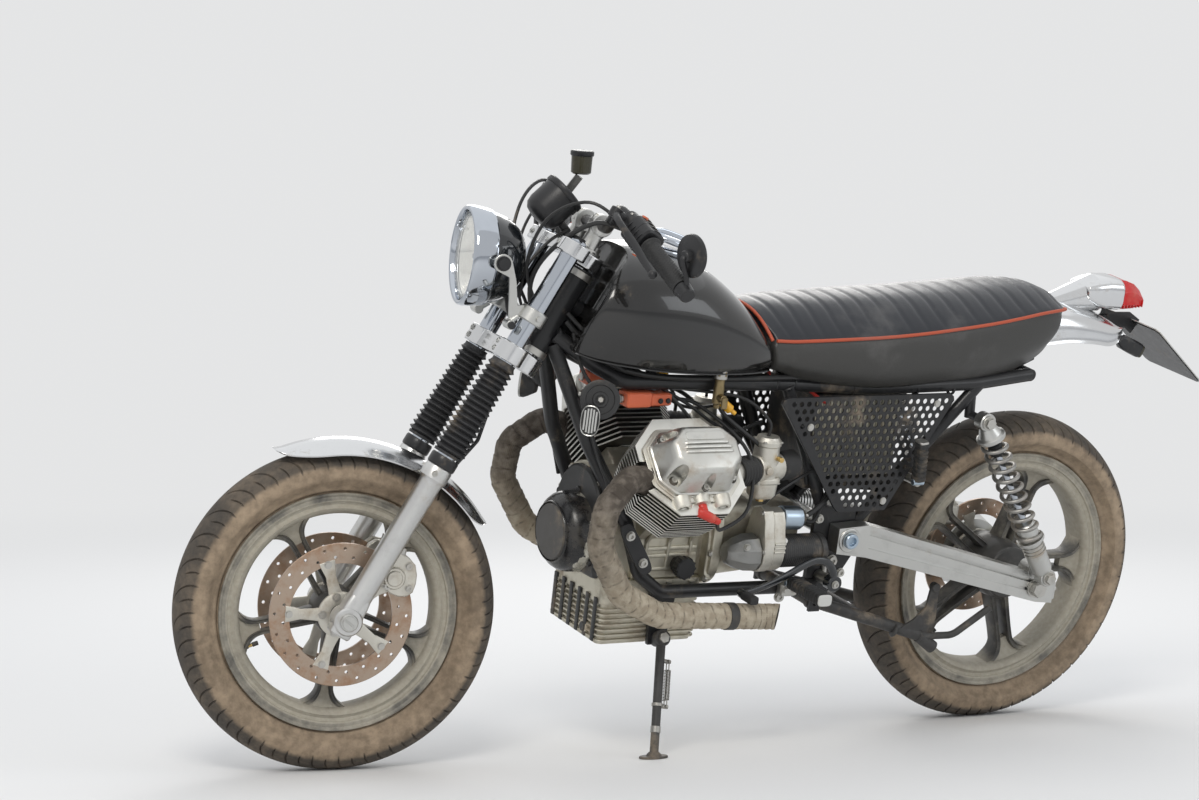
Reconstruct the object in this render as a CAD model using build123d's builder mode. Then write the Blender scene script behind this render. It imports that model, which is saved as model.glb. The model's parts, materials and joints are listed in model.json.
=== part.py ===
from build123d import *
from math import asin, cos, radians, sin, sqrt
import os

# A cafe racer motorcycle with an air-cooled transverse V-twin and shaft drive, parked on its side stand.
# Every piece is drawn on the upright motorcycle with its bars straight: X forward, Y to the left, Z up,
# origin at the middle of the rear axle, in millimetres. The last section turns the bars, leans the
# machine on its stand and sets the origin under the middle of the whole.

# Chassis
wheelbase = 1450
rake = 28.5
fork_offset = 60
steering_turn = -16.0
lean = 14.3

# Wheels
front_tyre_r = 293
front_tyre_w = 100
front_rim_r = 217
front_rim_w = 70
rear_tyre_r = 316
rear_tyre_w = 112
rear_rim_r = 242.5
rear_rim_w = 80
rim_flange = 13
spoke_pairs = 5
spoke_w = 13
spoke_t = 26
front_disc_r = 130
front_disc_y = 52
disc_t = 5
rear_disc_r = 118
rear_disc_y = -62
disc_holes = 20
disc_hole_r = 3
axle_r = 8.5

# Fork
leg_spacing = 196
stanchion_r = 17.5
slider_r = 22
slider_top = 318
collar_top = 338
gaiter_low = 340
gaiter_high = 536
gaiter_ribs = 17
gaiter_r = 30
lower_yoke_z = 538
lower_yoke_t = 34
upper_yoke_z = 756
upper_yoke_t = 26
yoke_eye_r = 29
lamp_clamp_z = 630

# Headlight and bars
headlight_r = 91
headlight_z = 660
headlight_x = 202
headlight_depth = 112
bar_r = 11
bar_half = 392
grip_r = 17
mirror_r = 39

# Frame
tube_r = 14
head_r = 27
rail_z = 411
rail_y = 84
cradle_y = 112
pivot_x = 460
pivot_z = 115
pivot_tube_r = 19
peg_x = 578
peg_z = 40
lever_x = 496
tap_x = 778
tap_y = 110
tap_seat = 446
arm_y = 130
spring_r = 22.5
spring_wire_r = 4.2
spring_turns = 10
coil_start = 43
coil_end = 94

# Engine: the crankshaft lies along X
crank_z = 110
bank_angle = 45
cylinder_x = 858
cylinder_step = 24
fin_w = 206
fin_d = 196
fin_t = 3.2
fin_pitch = 9.0
fin_count = 12
fin_start = 142
bell_t = 20
starter_y = 124
cover_start = 254
cover_end = 322

# Tank and seat
tank_front = 1050
tank_rear = 655
tank_top = 656
tank_half = 148
panel_y = 136
panel_rows = 11
panel_hole_r = 6.6
panel_hole_gap = 21
panel_row_gap = 18.2
panel_margin = 18
seat_front = 694
seat_rear = -44
seat_half = 131

clear = 0.3

front_axle_z = front_tyre_r - rear_tyre_r
steer_up = Vector(-sin(radians(rake)), 0, cos(radians(rake)))
steer_fwd = Vector(cos(radians(rake)), 0, sin(radians(rake)))
front_axle = Vector(wheelbase, 0, front_axle_z)
steer_foot = front_axle - steer_fwd * fork_offset
# The fork's own plane: X across the yokes to the front, Y to the left, Z up the steering axis
fork = Plane(origin=steer_foot, x_dir=steer_fwd, z_dir=steer_up)
leg_y = leg_spacing / 2


def fork_at(x, y, z):
    """A point given in the fork's own plane, in the motorcycle's frame."""
    return steer_foot + steer_fwd * x + Vector(0, y, 0) + steer_up * z


def rod(a, b, r, r2=None):
    """A round bar between two points, straight or tapered."""
    a = Vector(*a)
    b = Vector(*b)
    run = b - a
    with BuildPart() as made:
        with BuildSketch(Plane(origin=a, z_dir=run)):
            Circle(r)
        if r2 is None:
            extrude(amount=run.length)
        else:
            with BuildSketch(Plane(origin=b, z_dir=run)):
                Circle(r2)
            loft()
    return made.part


def tube(points, r, bend):
    """A bent round tube through the points, with arcs of the given radius at its corners."""
    with BuildPart() as made:
        with BuildLine() as path:
            FilletPolyline(*points, radius=bend)
        with BuildSketch(Plane(origin=path.wire() @ 0, z_dir=path.wire() % 0)):
            Circle(r)
        sweep()
    return made.part


def mirrored(points):
    """The same route on the other side of the machine."""
    return [(x, -y, z) for x, y, z in points]


def slab(outline, y_low, y_high):
    """A plate in the plane of the wheels, from its outline in X and Z."""
    with BuildPart() as made:
        with BuildSketch(Plane.XZ.offset(-y_low)):
            Polygon(*outline, align=None)
        extrude(amount=y_low - y_high)
    return made.part


def block(low, high):
    """A box from its lowest to its highest corner."""
    with BuildPart() as made:
        with Locations(tuple((low[n] + high[n]) / 2 for n in range(3))):
            Box(*[high[n] - low[n] for n in range(3)])
    return made.part


def dome(edge_x, edge_r, top_x):
    """A spherical cap's arc, from its edge to the axis that it is turned about."""
    rise = top_x - edge_x
    ball = (edge_r ** 2 + rise ** 2) / (2 * rise)
    half = asin(edge_r / ball) / 2
    ThreePointArc((edge_x, edge_r), (top_x - ball + ball * cos(half), ball * sin(half)), (top_x, 0))


# The ground's plane: it touches both tyres when the machine leans to the left

def turned(p):
    """Where a point of the fork goes when the bars are turned."""
    return steer_foot + (Vector(p) - steer_foot).rotate(Axis((0, 0, 0), steer_up), steering_turn)


def tyre_height(tyre_r, tyre_w, axle, up):
    """Height of a wheel's middle over the ground, for an axle that isn't level."""
    chord = tyre_w / 2 - 3
    crown = (chord ** 2 + 24 ** 2) / (2 * 24)
    return (tyre_r - crown) * sqrt(1 - (up.dot(axle)) ** 2) + crown


front_axle_turned = turned(front_axle)
front_axle_dir = turned(front_axle + Vector(0, 1, 0)) - front_axle_turned
up = Vector(0, -sin(radians(lean)), cos(radians(lean)))
for step in range(8):
    rear_h = tyre_height(rear_tyre_r, rear_tyre_w, Vector(0, 1, 0), up)
    front_h = tyre_height(front_tyre_r, front_tyre_w, front_axle_dir, up)
    miss = front_h - rear_h - up.dot(front_axle_turned)
    up = (up + Vector(miss / front_axle_turned.X, 0, 0)).normalized()


def on_ground(x, y, above=0):
    """The point of the ground, or a height above it, below a place of the upright motorcycle."""
    return Vector(x, y, (above - rear_h - up.X * x - up.Y * y) / up.Z)


stand_pivot = Vector(836, 122, -66)
stand_foot = on_ground(876, 212, 5)
stand_stow = Vector(-1, 0.03, 0.06).normalized()
stand_dir = (stand_foot - stand_pivot).normalized()
stand_axis = stand_dir.cross(stand_stow).normalized()
main_pivot = Vector(486, 0, -24)

pieces = {}


def keep(built, name, body="root"):
    """Names a finished piece and the body that it moves with."""
    built.part.label = name
    pieces[name] = (built.part, body)


# Wheels

def wheel(x, z, rim_r, rim_w, hub_r, hub_half):
    """A cast wheel: the rim, pairs of spokes that part towards it, and the hub."""
    half = rim_w / 2
    bed = rim_r - rim_flange
    section = Plane(origin=(x, 0, z), x_dir=(1, 0, 0), z_dir=(0, 0, 1))
    axle_line = Axis((x, 0, z), (0, 1, 0))
    with BuildPart() as made:
        with BuildSketch(section):
            Polygon((bed - 26, -half + 10), (bed - 16, -half), (rim_r, -half), (rim_r, -half + 5), (bed, -half + 9),
                    (bed - 5, -half + 17), (bed - 14, -11), (bed - 14, 11), (bed - 5, half - 17),
                    (bed, half - 9), (rim_r, half - 5), (rim_r, half), (bed - 16, half), (bed - 26, half - 10),
                    align=None)
        revolve(axis=axle_line)
        with BuildSketch(section):
            Polygon((axle_r + 0.3, -hub_half), (hub_r, -hub_half), (hub_r + 8, -hub_half + 14),
                    (hub_r + 8, hub_half - 14), (hub_r, hub_half), (axle_r + 0.3, hub_half), align=None)
        revolve(axis=axle_line)
        with BuildSketch(Plane(origin=(x, -spoke_t / 2, z), x_dir=(1, 0, 0), z_dir=(0, 1, 0))):
            with PolarLocations(0, spoke_pairs, start_angle=-90):
                for s in (-1, 1):
                    Polygon((hub_r, s * 3), (hub_r, s * (5 + spoke_w)), (bed * 0.62, s * (12 + spoke_w)),
                            (bed - 20, s * (22 + spoke_w * 2)), (bed - 18, s * (22 + spoke_w * 0.8)),
                            (bed * 0.62, s * 11), align=None)
        extrude(amount=spoke_t)
    return made.part


def tyre(x, z, tyre_r, tyre_w, rim_r, rim_w):
    """A tyre: a section of lines and arcs, turned about the axle."""
    half = tyre_w / 2
    seat_r = rim_r - rim_flange + clear
    lip = rim_w / 2 - 9 - clear
    with BuildPart() as made:
        with BuildSketch(Plane(origin=(x, 0, z), x_dir=(1, 0, 0), z_dir=(0, 0, 1))):
            with BuildLine():
                Line((seat_r, lip), (seat_r, -lip))
                Line((seat_r, -lip), (rim_r + 2, -lip))
                Line((rim_r + 2, -lip), (rim_r + 5, -lip - 6))
                ThreePointArc((rim_r + 5, -lip - 6), (tyre_r - 45, -half), (tyre_r - 24, -half + 3))
                ThreePointArc((tyre_r - 24, -half + 3), (tyre_r, 0), (tyre_r - 24, half - 3))
                ThreePointArc((tyre_r - 24, half - 3), (tyre_r - 45, half), (rim_r + 5, lip + 6))
                Line((rim_r + 5, lip + 6), (rim_r + 2, lip))
                Line((rim_r + 2, lip), (seat_r, lip))
            make_face()
        revolve(axis=Axis((x, 0, z), (0, 1, 0)))
    return made.part


def disc(x, z, y, r, t, hub_r):
    """A brake disc with its five-armed carrier."""
    with BuildPart() as made:
        with BuildSketch(Plane(origin=(x, y - t / 2, z), x_dir=(1, 0, 0), z_dir=(0, 1, 0))):
            Circle(r)
            Circle(r * 0.72, mode=Mode.SUBTRACT)
            Circle(hub_r + 8)
            with PolarLocations(r * 0.5 + 4, 5):
                Rectangle(r * 0.8 - hub_r, 20)
            Circle(hub_r, mode=Mode.SUBTRACT)
            # Two staggered rows of holes
            for row_r, first in ((r - 10, 0), (r - 25, 180 / disc_holes)):
                with PolarLocations(row_r, disc_holes, start_angle=first):
                    Circle(disc_hole_r, mode=Mode.SUBTRACT)
        extrude(amount=t)
    return made.part


hub_half = front_disc_y - disc_t / 2
with BuildPart() as front_rim:
    add(wheel(wheelbase, front_axle_z, front_rim_r, front_rim_w, 36, hub_half - clear))
keep(front_rim, "front_rim", "front_wheel")

with BuildPart() as front_tyre:
    add(tyre(wheelbase, front_axle_z, front_tyre_r, front_tyre_w, front_rim_r, front_rim_w))
keep(front_tyre, "front_tyre", "front_wheel")

with BuildPart() as front_discs:
    for y in (-front_disc_y, front_disc_y):
        add(disc(wheelbase, front_axle_z, y, front_disc_r, disc_t, 20))
keep(front_discs, "front_discs", "front_wheel")

with BuildPart() as rear_rim:
    add(wheel(0, 0, rear_rim_r, rear_rim_w, 52, -rear_disc_y - disc_t / 2 - clear))
keep(rear_rim, "rear_rim", "rear_wheel")

with BuildPart() as rear_tyre:
    add(tyre(0, 0, rear_tyre_r, rear_tyre_w, rear_rim_r, rear_rim_w))
keep(rear_tyre, "rear_tyre", "rear_wheel")

with BuildPart() as rear_disc:
    add(disc(0, 0, rear_disc_y, rear_disc_r, disc_t, 20))
keep(rear_disc, "rear_disc", "rear_wheel")


# Fork, in its own plane

with BuildPart() as fork_legs:
    for s in (1, -1):
        add(rod(fork_at(fork_offset, s * leg_y, -24), fork_at(fork_offset, s * leg_y, slider_top), slider_r))
        add(rod(fork_at(fork_offset, s * leg_y, slider_top), fork_at(fork_offset, s * leg_y, collar_top),
                slider_r + 4))
        top = upper_yoke_z + upper_yoke_t + 6
        add(rod(fork_at(fork_offset, s * leg_y, collar_top), fork_at(fork_offset, s * leg_y, top), stanchion_r))
        add(rod((wheelbase, s * (leg_y - 22), front_axle_z), (wheelbase, s * (leg_y + 24), front_axle_z), 26))
        with BuildSketch(Plane(origin=front_axle, x_dir=(1, 0, 0), z_dir=(0, 1, 0))):
            Circle(axle_r + 0.05)
        extrude(amount=leg_spacing, both=True, mode=Mode.SUBTRACT)
keep(fork_legs, "fork_legs", "steering")

with BuildPart() as fork_gaiters:
    pitch = (gaiter_high - gaiter_low) / gaiter_ribs
    bore = stanchion_r + clear
    outline = [(bore, gaiter_low), (gaiter_r - 7, gaiter_low)]
    for n in range(gaiter_ribs):
        outline.append((gaiter_r - n * 0.25, gaiter_low + (n + 0.5) * pitch))
        outline.append((gaiter_r - 7 - n * 0.25, gaiter_low + (n + 1) * pitch))
    outline.append((bore, gaiter_high))
    for s in (1, -1):
        foot = fork_at(fork_offset, s * leg_y, 0)
        with BuildSketch(Plane(origin=foot, x_dir=(0, 1, 0), z_dir=steer_fwd * -1)):
            Polygon(*[(u, -w) for u, w in outline], align=None)
        revolve(axis=Axis(foot, steer_up))
keep(fork_gaiters, "fork_gaiters", "steering")

with BuildPart() as fork_yokes:
    for z, t in ((lower_yoke_z, lower_yoke_t), (upper_yoke_z, upper_yoke_t)):
        with BuildSketch(fork.offset(z)):
            Circle(31)
            with Locations((fork_offset, leg_y), (fork_offset, -leg_y)):
                Circle(yoke_eye_r)
            with Locations((fork_offset - 4, 0)):
                Rectangle(32, leg_spacing)
            with Locations((fork_offset / 2, 0)):
                Rectangle(fork_offset, 60)
            with Locations((fork_offset, leg_y), (fork_offset, -leg_y)):
                Circle(stanchion_r + 0.05, mode=Mode.SUBTRACT)
        extrude(amount=t)
    add(rod(fork_at(0, 0, lower_yoke_z), fork_at(0, 0, upper_yoke_z + upper_yoke_t + 8), 12))
keep(fork_yokes, "fork_yokes", "steering")

with BuildPart() as front_axle_bar:
    add(rod((wheelbase, -leg_y - 30, front_axle_z), (wheelbase, leg_y + 24, front_axle_z), axle_r))
    add(rod((wheelbase, leg_y + 24 + clear, front_axle_z), (wheelbase, leg_y + 34, front_axle_z), 14))
    add(rod((wheelbase, leg_y + 20, front_axle_z), (wheelbase, leg_y + 34, front_axle_z), axle_r))
keep(front_axle_bar, "front_axle", "steering")

fender_r = front_tyre_r + 14
with BuildPart() as front_fender:
    with BuildSketch(Plane(origin=front_axle, x_dir=(1, 0, 0), z_dir=(0, 0, 1)).rotated((0, -66, 0))):
        with BuildLine():
            ThreePointArc((fender_r - 20, -56), (fender_r + 4, 0), (fender_r - 20, 56))
            Line((fender_r - 20, 56), (fender_r - 20, 58.5))
            ThreePointArc((fender_r - 20, 58.5), (fender_r + 6.5, 0), (fender_r - 20, -58.5))
            Line((fender_r - 20, -58.5), (fender_r - 20, -56))
        make_face()
    revolve(axis=Axis(front_axle, (0, 1, 0)), revolution_arc=-82)
    # Two flat stays hold it to the collars of the sliders
    for s in (1, -1):
        add(rod(fork_at(fork_offset + slider_r + 4.1, s * (leg_y - 8), slider_top - 22),
                fork_at(fork_offset + 20, s * 44, slider_top - 22), 5))
keep(front_fender, "front_fender", "steering")

# Headlight in its own plane: X to the left, Z out of the lens
lamp_centre = fork_at(headlight_x, 0, headlight_z)
lamp_axis = Vector(cos(radians(3)), 0, sin(radians(3)))
lamp = Plane(origin=lamp_centre, x_dir=(0, 1, 0), z_dir=lamp_axis)
with BuildPart() as headlight:
    with BuildSketch(Plane(origin=lamp_centre, x_dir=lamp_axis, z_dir=(0, 1, 0))):
        with BuildLine():
            Line((-headlight_depth, 0), (-headlight_depth, 40))
            ThreePointArc((-headlight_depth, 40), (-headlight_depth + 30, 74), (-32, headlight_r - 7))
            Line((-32, headlight_r - 7), (-28, headlight_r - 2))
            ThreePointArc((-28, headlight_r - 2), (-8, headlight_r), (0, headlight_r - 6))
            Line((0, headlight_r - 6), (-5, headlight_r - 13))
            Line((-5, headlight_r - 13), (-14, headlight_r - 13))
            Line((-14, headlight_r - 13), (-14, 0))
            Line((-14, 0), (-headlight_depth, 0))
        make_face()
    revolve(axis=Axis(lamp_centre, lamp_axis))
    # An ear and its clamp on each stanchion
    for s in (1, -1):
        add(rod(lamp_centre + lamp_axis * -50 + Vector(0, s * 60, 0),
                lamp_centre + lamp_axis * -50 + Vector(0, s * 96, 0), 13))
        with BuildSketch(fork.offset(lamp_clamp_z - 12)):
            with Locations((fork_offset, s * leg_y)):
                Circle(stanchion_r + 8)
            with Locations((fork_offset + 38, s * (leg_y + 2))):
                Rectangle(50, 8)
            with Locations((fork_offset, s * leg_y)):
                Circle(stanchion_r + 0.05, mode=Mode.SUBTRACT)
        extrude(amount=24)
        with BuildSketch(Plane(origin=(0, s * (leg_y + 2) - 4, 0), x_dir=(1, 0, 0), z_dir=(0, 1, 0))):
            a = fork_at(fork_offset + 60, 0, lamp_clamp_z)
            b = lamp_centre + lamp_axis * -50
            Polygon((a.X - 12, -(a.Z - 18)), (a.X + 12, -(a.Z - 2)), (b.X + 14, -b.Z), (b.X, -(b.Z + 14)), (b.X - 14, -b.Z),
                    align=None)
        extrude(amount=8)
keep(headlight, "headlight", "steering")

with BuildPart() as headlight_lens:
    with BuildSketch(Plane(origin=lamp_centre, x_dir=lamp_axis, z_dir=(0, 1, 0))):
        with BuildLine():
            Line((-14 + clear, 0), (-14 + clear, headlight_r - 13 - clear))
            Line((-14 + clear, headlight_r - 13 - clear), (-10, headlight_r - 13 - clear))
            dome(-10, headlight_r - 13 - clear, 2)
            Line((2, 0), (-14 + clear, 0))
        make_face()
    revolve(axis=Axis(lamp_centre, lamp_axis))
keep(headlight_lens, "headlight_lens", "steering")

instrument_at = fork_at(fork_offset + 50, 0, upper_yoke_z + 62)
with BuildPart() as instrument:
    tilt = (steer_up * 0.8 + steer_fwd * -0.25).normalized()
    add(rod(instrument_at + tilt * -30, instrument_at + tilt * 36, 38))
    add(rod(instrument_at + tilt * 30, instrument_at + tilt * 40, 41))
    foot = upper_yoke_z + upper_yoke_t
    add(rod(fork_at(fork_offset - 4, 0, foot + clear), fork_at(fork_offset - 4, 0, foot + 14), 12))
    add(rod(fork_at(fork_offset - 4, 0, foot + 12), instrument_at, 9))
keep(instrument, "instrument", "steering")

riser_top = upper_yoke_z + upper_yoke_t + 52
riser_x = fork_offset - 34
bar_points = [(riser_x, 0, riser_top), (riser_x, 95, riser_top), (riser_x + 26, 190, riser_top + 34),
              (riser_x - 78, bar_half, riser_top - 38)]
half_bar = [fork_at(x, y, z) for x, y, z in bar_points]
with BuildPart() as handlebar:
    for s in (1, -1):
        route = [Vector(p.X, s * p.Y, p.Z) for p in half_bar]
        add(tube(route, bar_r, [30, 30]))
        # Riser and its cap
        add(rod(fork_at(riser_x, s * 52, upper_yoke_z + upper_yoke_t + clear), fork_at(riser_x, s * 52, riser_top), 17))
        add(rod(fork_at(riser_x, s * 38, riser_top), fork_at(riser_x, s * 66, riser_top), 19))
keep(handlebar, "handlebar", "steering")

grip_out = half_bar[3]
grip_dir = (half_bar[3] - half_bar[2]).normalized()


def on_bar(s, back):
    """A point on the bar, measured inwards from its end, on either side."""
    p = grip_out - grip_dir * back
    return Vector(p.X, s * p.Y, p.Z)


with BuildPart() as grips:
    for s in (1, -1):
        add(rod(on_bar(s, 118), on_bar(s, 0), grip_r))
        add(rod(on_bar(s, 124), on_bar(s, 118), grip_r + 5))
        with BuildSketch(Plane(origin=on_bar(s, 130), z_dir=on_bar(s, 0) - on_bar(s, 130))):
            Circle(bar_r + 0.05)
        extrude(amount=132, mode=Mode.SUBTRACT)
keep(grips, "grips", "steering")

with BuildPart() as hand_controls:
    for s in (1, -1):
        # Switch housing and lever perch clamped round the bar, and the lever in front of the grip
        add(rod(on_bar(s, 172), on_bar(s, 127), 23))
        add(rod(on_bar(s, 205), on_bar(s, 180), 18))
        pivot = on_bar(s, 196) + steer_fwd * 34
        add(rod(on_bar(s, 196), pivot, 9))
        add(rod(pivot - steer_up * 7, pivot + steer_up * 7, 11))
        knee = on_bar(s, 150) + steer_fwd * 52
        tip = on_bar(s, 22) + steer_fwd * 44 - steer_up * 12
        add(rod(pivot, knee, 6, 6.5))
        add(rod(knee, tip, 6.5, 4.5))
        with Locations(knee, tip):
            Sphere(8)
        with BuildSketch(Plane(origin=on_bar(s, 215), z_dir=on_bar(s, 0) - on_bar(s, 215))):
            Circle(bar_r + 0.05)
        extrude(amount=230, mode=Mode.SUBTRACT)
    # Fluid reservoir of the front brake, on its bracket
    foot = on_bar(-1, 192)
    pot = foot + steer_up * 58 - Vector(0, -24, 0)
    add(rod(foot + (pot - foot).normalized() * (bar_r + 9), pot, 5))
    add(rod(pot, pot + Vector(0, 0, 34), 20))
    add(rod(pot + Vector(0, 0, 34), pot + Vector(0, 0, 44), 22.5))
keep(hand_controls, "hand_controls", "steering")

mirror_up = Vector(0, 0, 62)
with BuildPart() as mirrors:
    for s in (1, -1):
        end = on_bar(s, -10)
        eye = end + mirror_up + Vector(-6, s * 6, 0)
        facing = Vector(-0.94, s * -0.34, 0.05)
        add(rod(on_bar(s, -clear), on_bar(s, -25), grip_r - 1))
        add(rod(on_bar(s, -18), eye - facing * 10, 5))
        add(rod(eye - facing * 14, eye, 24, mirror_r))
        add(rod(eye, eye + facing * 4, mirror_r))
keep(mirrors, "mirrors", "steering")

with BuildPart() as front_calipers:
    for s in (1, -1):
        # Behind the slider, round the disc's rear edge
        middle = Vector(wheelbase - 88, s * front_disc_y, front_axle_z + 72)
        with BuildSketch(Plane(origin=(0, middle.Y - 22, 0), x_dir=(1, 0, 0), z_dir=(0, 1, 0))):
            Polygon(*[(middle.X + u, -(middle.Z + w)) for u, w in
                      ((-42, 6), (-22, 40), (12, 50), (36, 26), (22, -14), (-10, -34), (-36, -26))], align=None)
        extrude(amount=44)
        with BuildSketch(Plane(origin=(wheelbase, s * front_disc_y - disc_t / 2 - 2, front_axle_z),
                               x_dir=(1, 0, 0), z_dir=(0, 1, 0))):
            Circle(front_disc_r + 3)
        extrude(amount=disc_t + 4, mode=Mode.SUBTRACT)
        add(rod((middle.X + 14, s * (front_disc_y + 16), middle.Z + 26),
                (middle.X + 14, s * (leg_y - slider_r + 0.5), middle.Z + 26), 12))
keep(front_calipers, "front_calipers", "steering")

# Brake hose from the left caliper up the leg to the lower yoke
hose_r = 3.5
with BuildPart() as brake_hose:
    add(tube([(wheelbase - 92, front_disc_y + 6, front_axle_z + 119), (wheelbase - 118, 70, 172),
              (wheelbase - 226, 64, 300), (wheelbase - 262, 40, 400), fork_at(16, 10, lower_yoke_z - 2.6)],
             hose_r, 20))
keep(brake_hose, "brake_hose", "steering")


# Frame

head_low = fork_at(0, 0, lower_yoke_z + lower_yoke_t + 4)
head_high = fork_at(0, 0, upper_yoke_z - 4)
top_rail = [(1086, 20, 492), (1010, 52, 440), (960, rail_y - 10, rail_z + 6), (640, rail_y, rail_z)]
down_tube = [(1086, 18, 474), (1016, 68, 300), (940, 97, 168)]
with BuildPart() as main_frame:
    add(rod(head_low, head_high, head_r))
    for route in (top_rail, mirrored(top_rail)):
        add(tube(route, tube_r, 60))
    for route in (down_tube, mirrored(down_tube)):
        add(tube(route, tube_r, 120))
    add(rod((960, -rail_y + 10, rail_z + 6), (960, rail_y - 10, rail_z + 6), 11))
    add(rod(fork_at(-10, 0, 690), (900, 0, 450), 16))
    add(rod((900, 0, 452), (900, 0, rail_z), 12))
    add(rod((900, -rail_y, rail_z + 2), (900, rail_y, rail_z + 2), 11))
    # Rubber blocks under the tank
    for s in (1, -1):
        add(rod((900, s * 64, rail_z), (900, s * 64, 447.4), 10))
        add(rod((700, s * 72, rail_z), (700, s * 72, 436.5), 8))
    with BuildSketch(Plane(origin=head_low, z_dir=steer_up)):
        Circle(12.05)
    extrude(amount=260, both=True, mode=Mode.SUBTRACT)
keep(main_frame, "main_frame")

strut_front = [(640 - tube_r * 2, rail_y + 2, rail_z - tube_r), (500, 104, 176)]
with BuildPart() as rear_subframe:
    loop = [(639, rail_y, rail_z), (420, 96, rail_z - 10), (200, 112, rail_z), (66, 104, 424)]
    for s in (1, -1):
        add(tube([(x, s * y, z) for x, y, z in loop], tube_r - 1, [300, 160]))
    add(rod((66, -110, 424), (66, 110, 424), 12))
    for s in (1, -1):
        add(rod((188, s * 112, rail_z), (430, s * 98, pivot_z + 14), 12))
        add(rod((612, s * 88, rail_z - 6), (486, s * 98, pivot_z + 20), 12))
        # The plate that carries the swingarm's pivot and the footrests
        add(slab([(430, pivot_z + 52), (520, pivot_z + 60), (523.7, 4), (470, 0), (424, pivot_z - 40)],
                 s * 104 - 5, s * 104 + 5))
    add(rod((500, -104, 60), (500, 104, 60), 12))
    for s in (1, -1):
        add(rod((200, s * 112, 350), (200, s * 178, 350), 8))
        add(rod((206, s * 112, rail_z), (200, s * 112, 344), 10))
        # Rubber blocks under the seat, and the stays of the tail
        add(rod((420, s * 96, rail_z - 8), (420, s * 96, 428.8), 9))
        add(rod((200, s * 104, rail_z), (200, s * 104, 432.6), 7))
        add(rod((64, s * 50, 426), (22.8, s * 50, 444), 7))
        # Hanger of the centre stand
        add(block((474, min(s * 93, s * 100), -40), (498, max(s * 93, s * 100), 60)))
    with BuildSketch(Plane(origin=(pivot_x, 0, pivot_z), x_dir=(1, 0, 0), z_dir=(0, 1, 0))):
        Circle(pivot_tube_r + clear)
    extrude(amount=300, both=True, mode=Mode.SUBTRACT)
    with BuildSketch(Plane(origin=(main_pivot.X, 0, main_pivot.Z), x_dir=(1, 0, 0), z_dir=(0, 1, 0))):
        Circle(5)
    extrude(amount=300, both=True, mode=Mode.SUBTRACT)
keep(rear_subframe, "rear_subframe")

with BuildPart() as engine_cradle:
    for s in (1, -1):
        y = s * cradle_y
        route = [(939.85, s * 97.06, 167.7), (932, s * 100, 154), (900, y, 60), (850, y, 22), (524, y, 18)]
        add(tube(route, 13, [30, 40, 40]))
    # The lug that carries the side stand's pivot
    add(rod(stand_pivot - stand_axis * 9.3, stand_pivot - stand_axis * 22, 14))
    add(slab([(818, -84), (854, -84), (862, 18), (806, 18)], 97, 105.5))
keep(engine_cradle, "engine_cradle")

shock_top = Vector(200, 162, 350)
shock_low = Vector(6, 178, 34)
with BuildPart() as swingarm:
    # Box arm on the left, drive shaft's housing on the right
    add(slab([(pivot_x + 28, pivot_z + 26), (pivot_x - 40, pivot_z + 30), (-20, 22), (-46, 12), (-46, -34),
              (-6, -30), (pivot_x - 40, pivot_z - 34), (pivot_x + 28, pivot_z - 24)], arm_y - 17, arm_y + 17))
    add(rod((pivot_x, -arm_y - 10, pivot_z), (pivot_x, arm_y + 20, pivot_z), pivot_tube_r))
    add(rod((pivot_x - 42, -136, pivot_z - 10), (70, -114, 22), 30, 32))
    add(rod((pivot_x, -136, pivot_z), (pivot_x - 60, -134, pivot_z - 14), 24))
    add(rod((0, -148, 0), (0, rear_disc_y - 12, 0), 84, 70))
    add(rod((0, -154, 0), (0, -148, 0), 50, 76))
    add(rod((90, -112, 26), (40, -112, 12), 34, 36))
    # Two long grooves along the outside of the arm
    for low, high in (((-4, -8), (pivot_x - 44, pivot_z - 12)), ((-2, 10), (pivot_x - 44, pivot_z + 14))):
        add(slab([(low[0], low[1] - 3), (low[0], low[1] + 3), (high[0], high[1] + 4), (high[0], high[1] - 4)],
                 arm_y + 13, arm_y + 20), mode=Mode.SUBTRACT)
    # The shocks' lower studs
    add(rod((shock_low.X, arm_y - 17, shock_low.Z), (shock_low.X, arm_y + 19, shock_low.Z), 17))
    for s in (1, -1):
        add(rod((shock_low.X, s * (arm_y + 14), shock_low.Z), (shock_low.X, s * (shock_low.Y + 16), shock_low.Z), 8))
    with BuildSketch(Plane.XZ):
        Circle(axle_r + 0.05)
    extrude(amount=400, both=True, mode=Mode.SUBTRACT)
keep(swingarm, "swingarm")

with BuildPart() as rear_axle:
    add(rod((0, -170, 0), (0, 158, 0), axle_r))
    add(rod((0, arm_y + 17 + clear, 0), (0, 158, 0), 16))
keep(rear_axle, "rear_axle")

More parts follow.
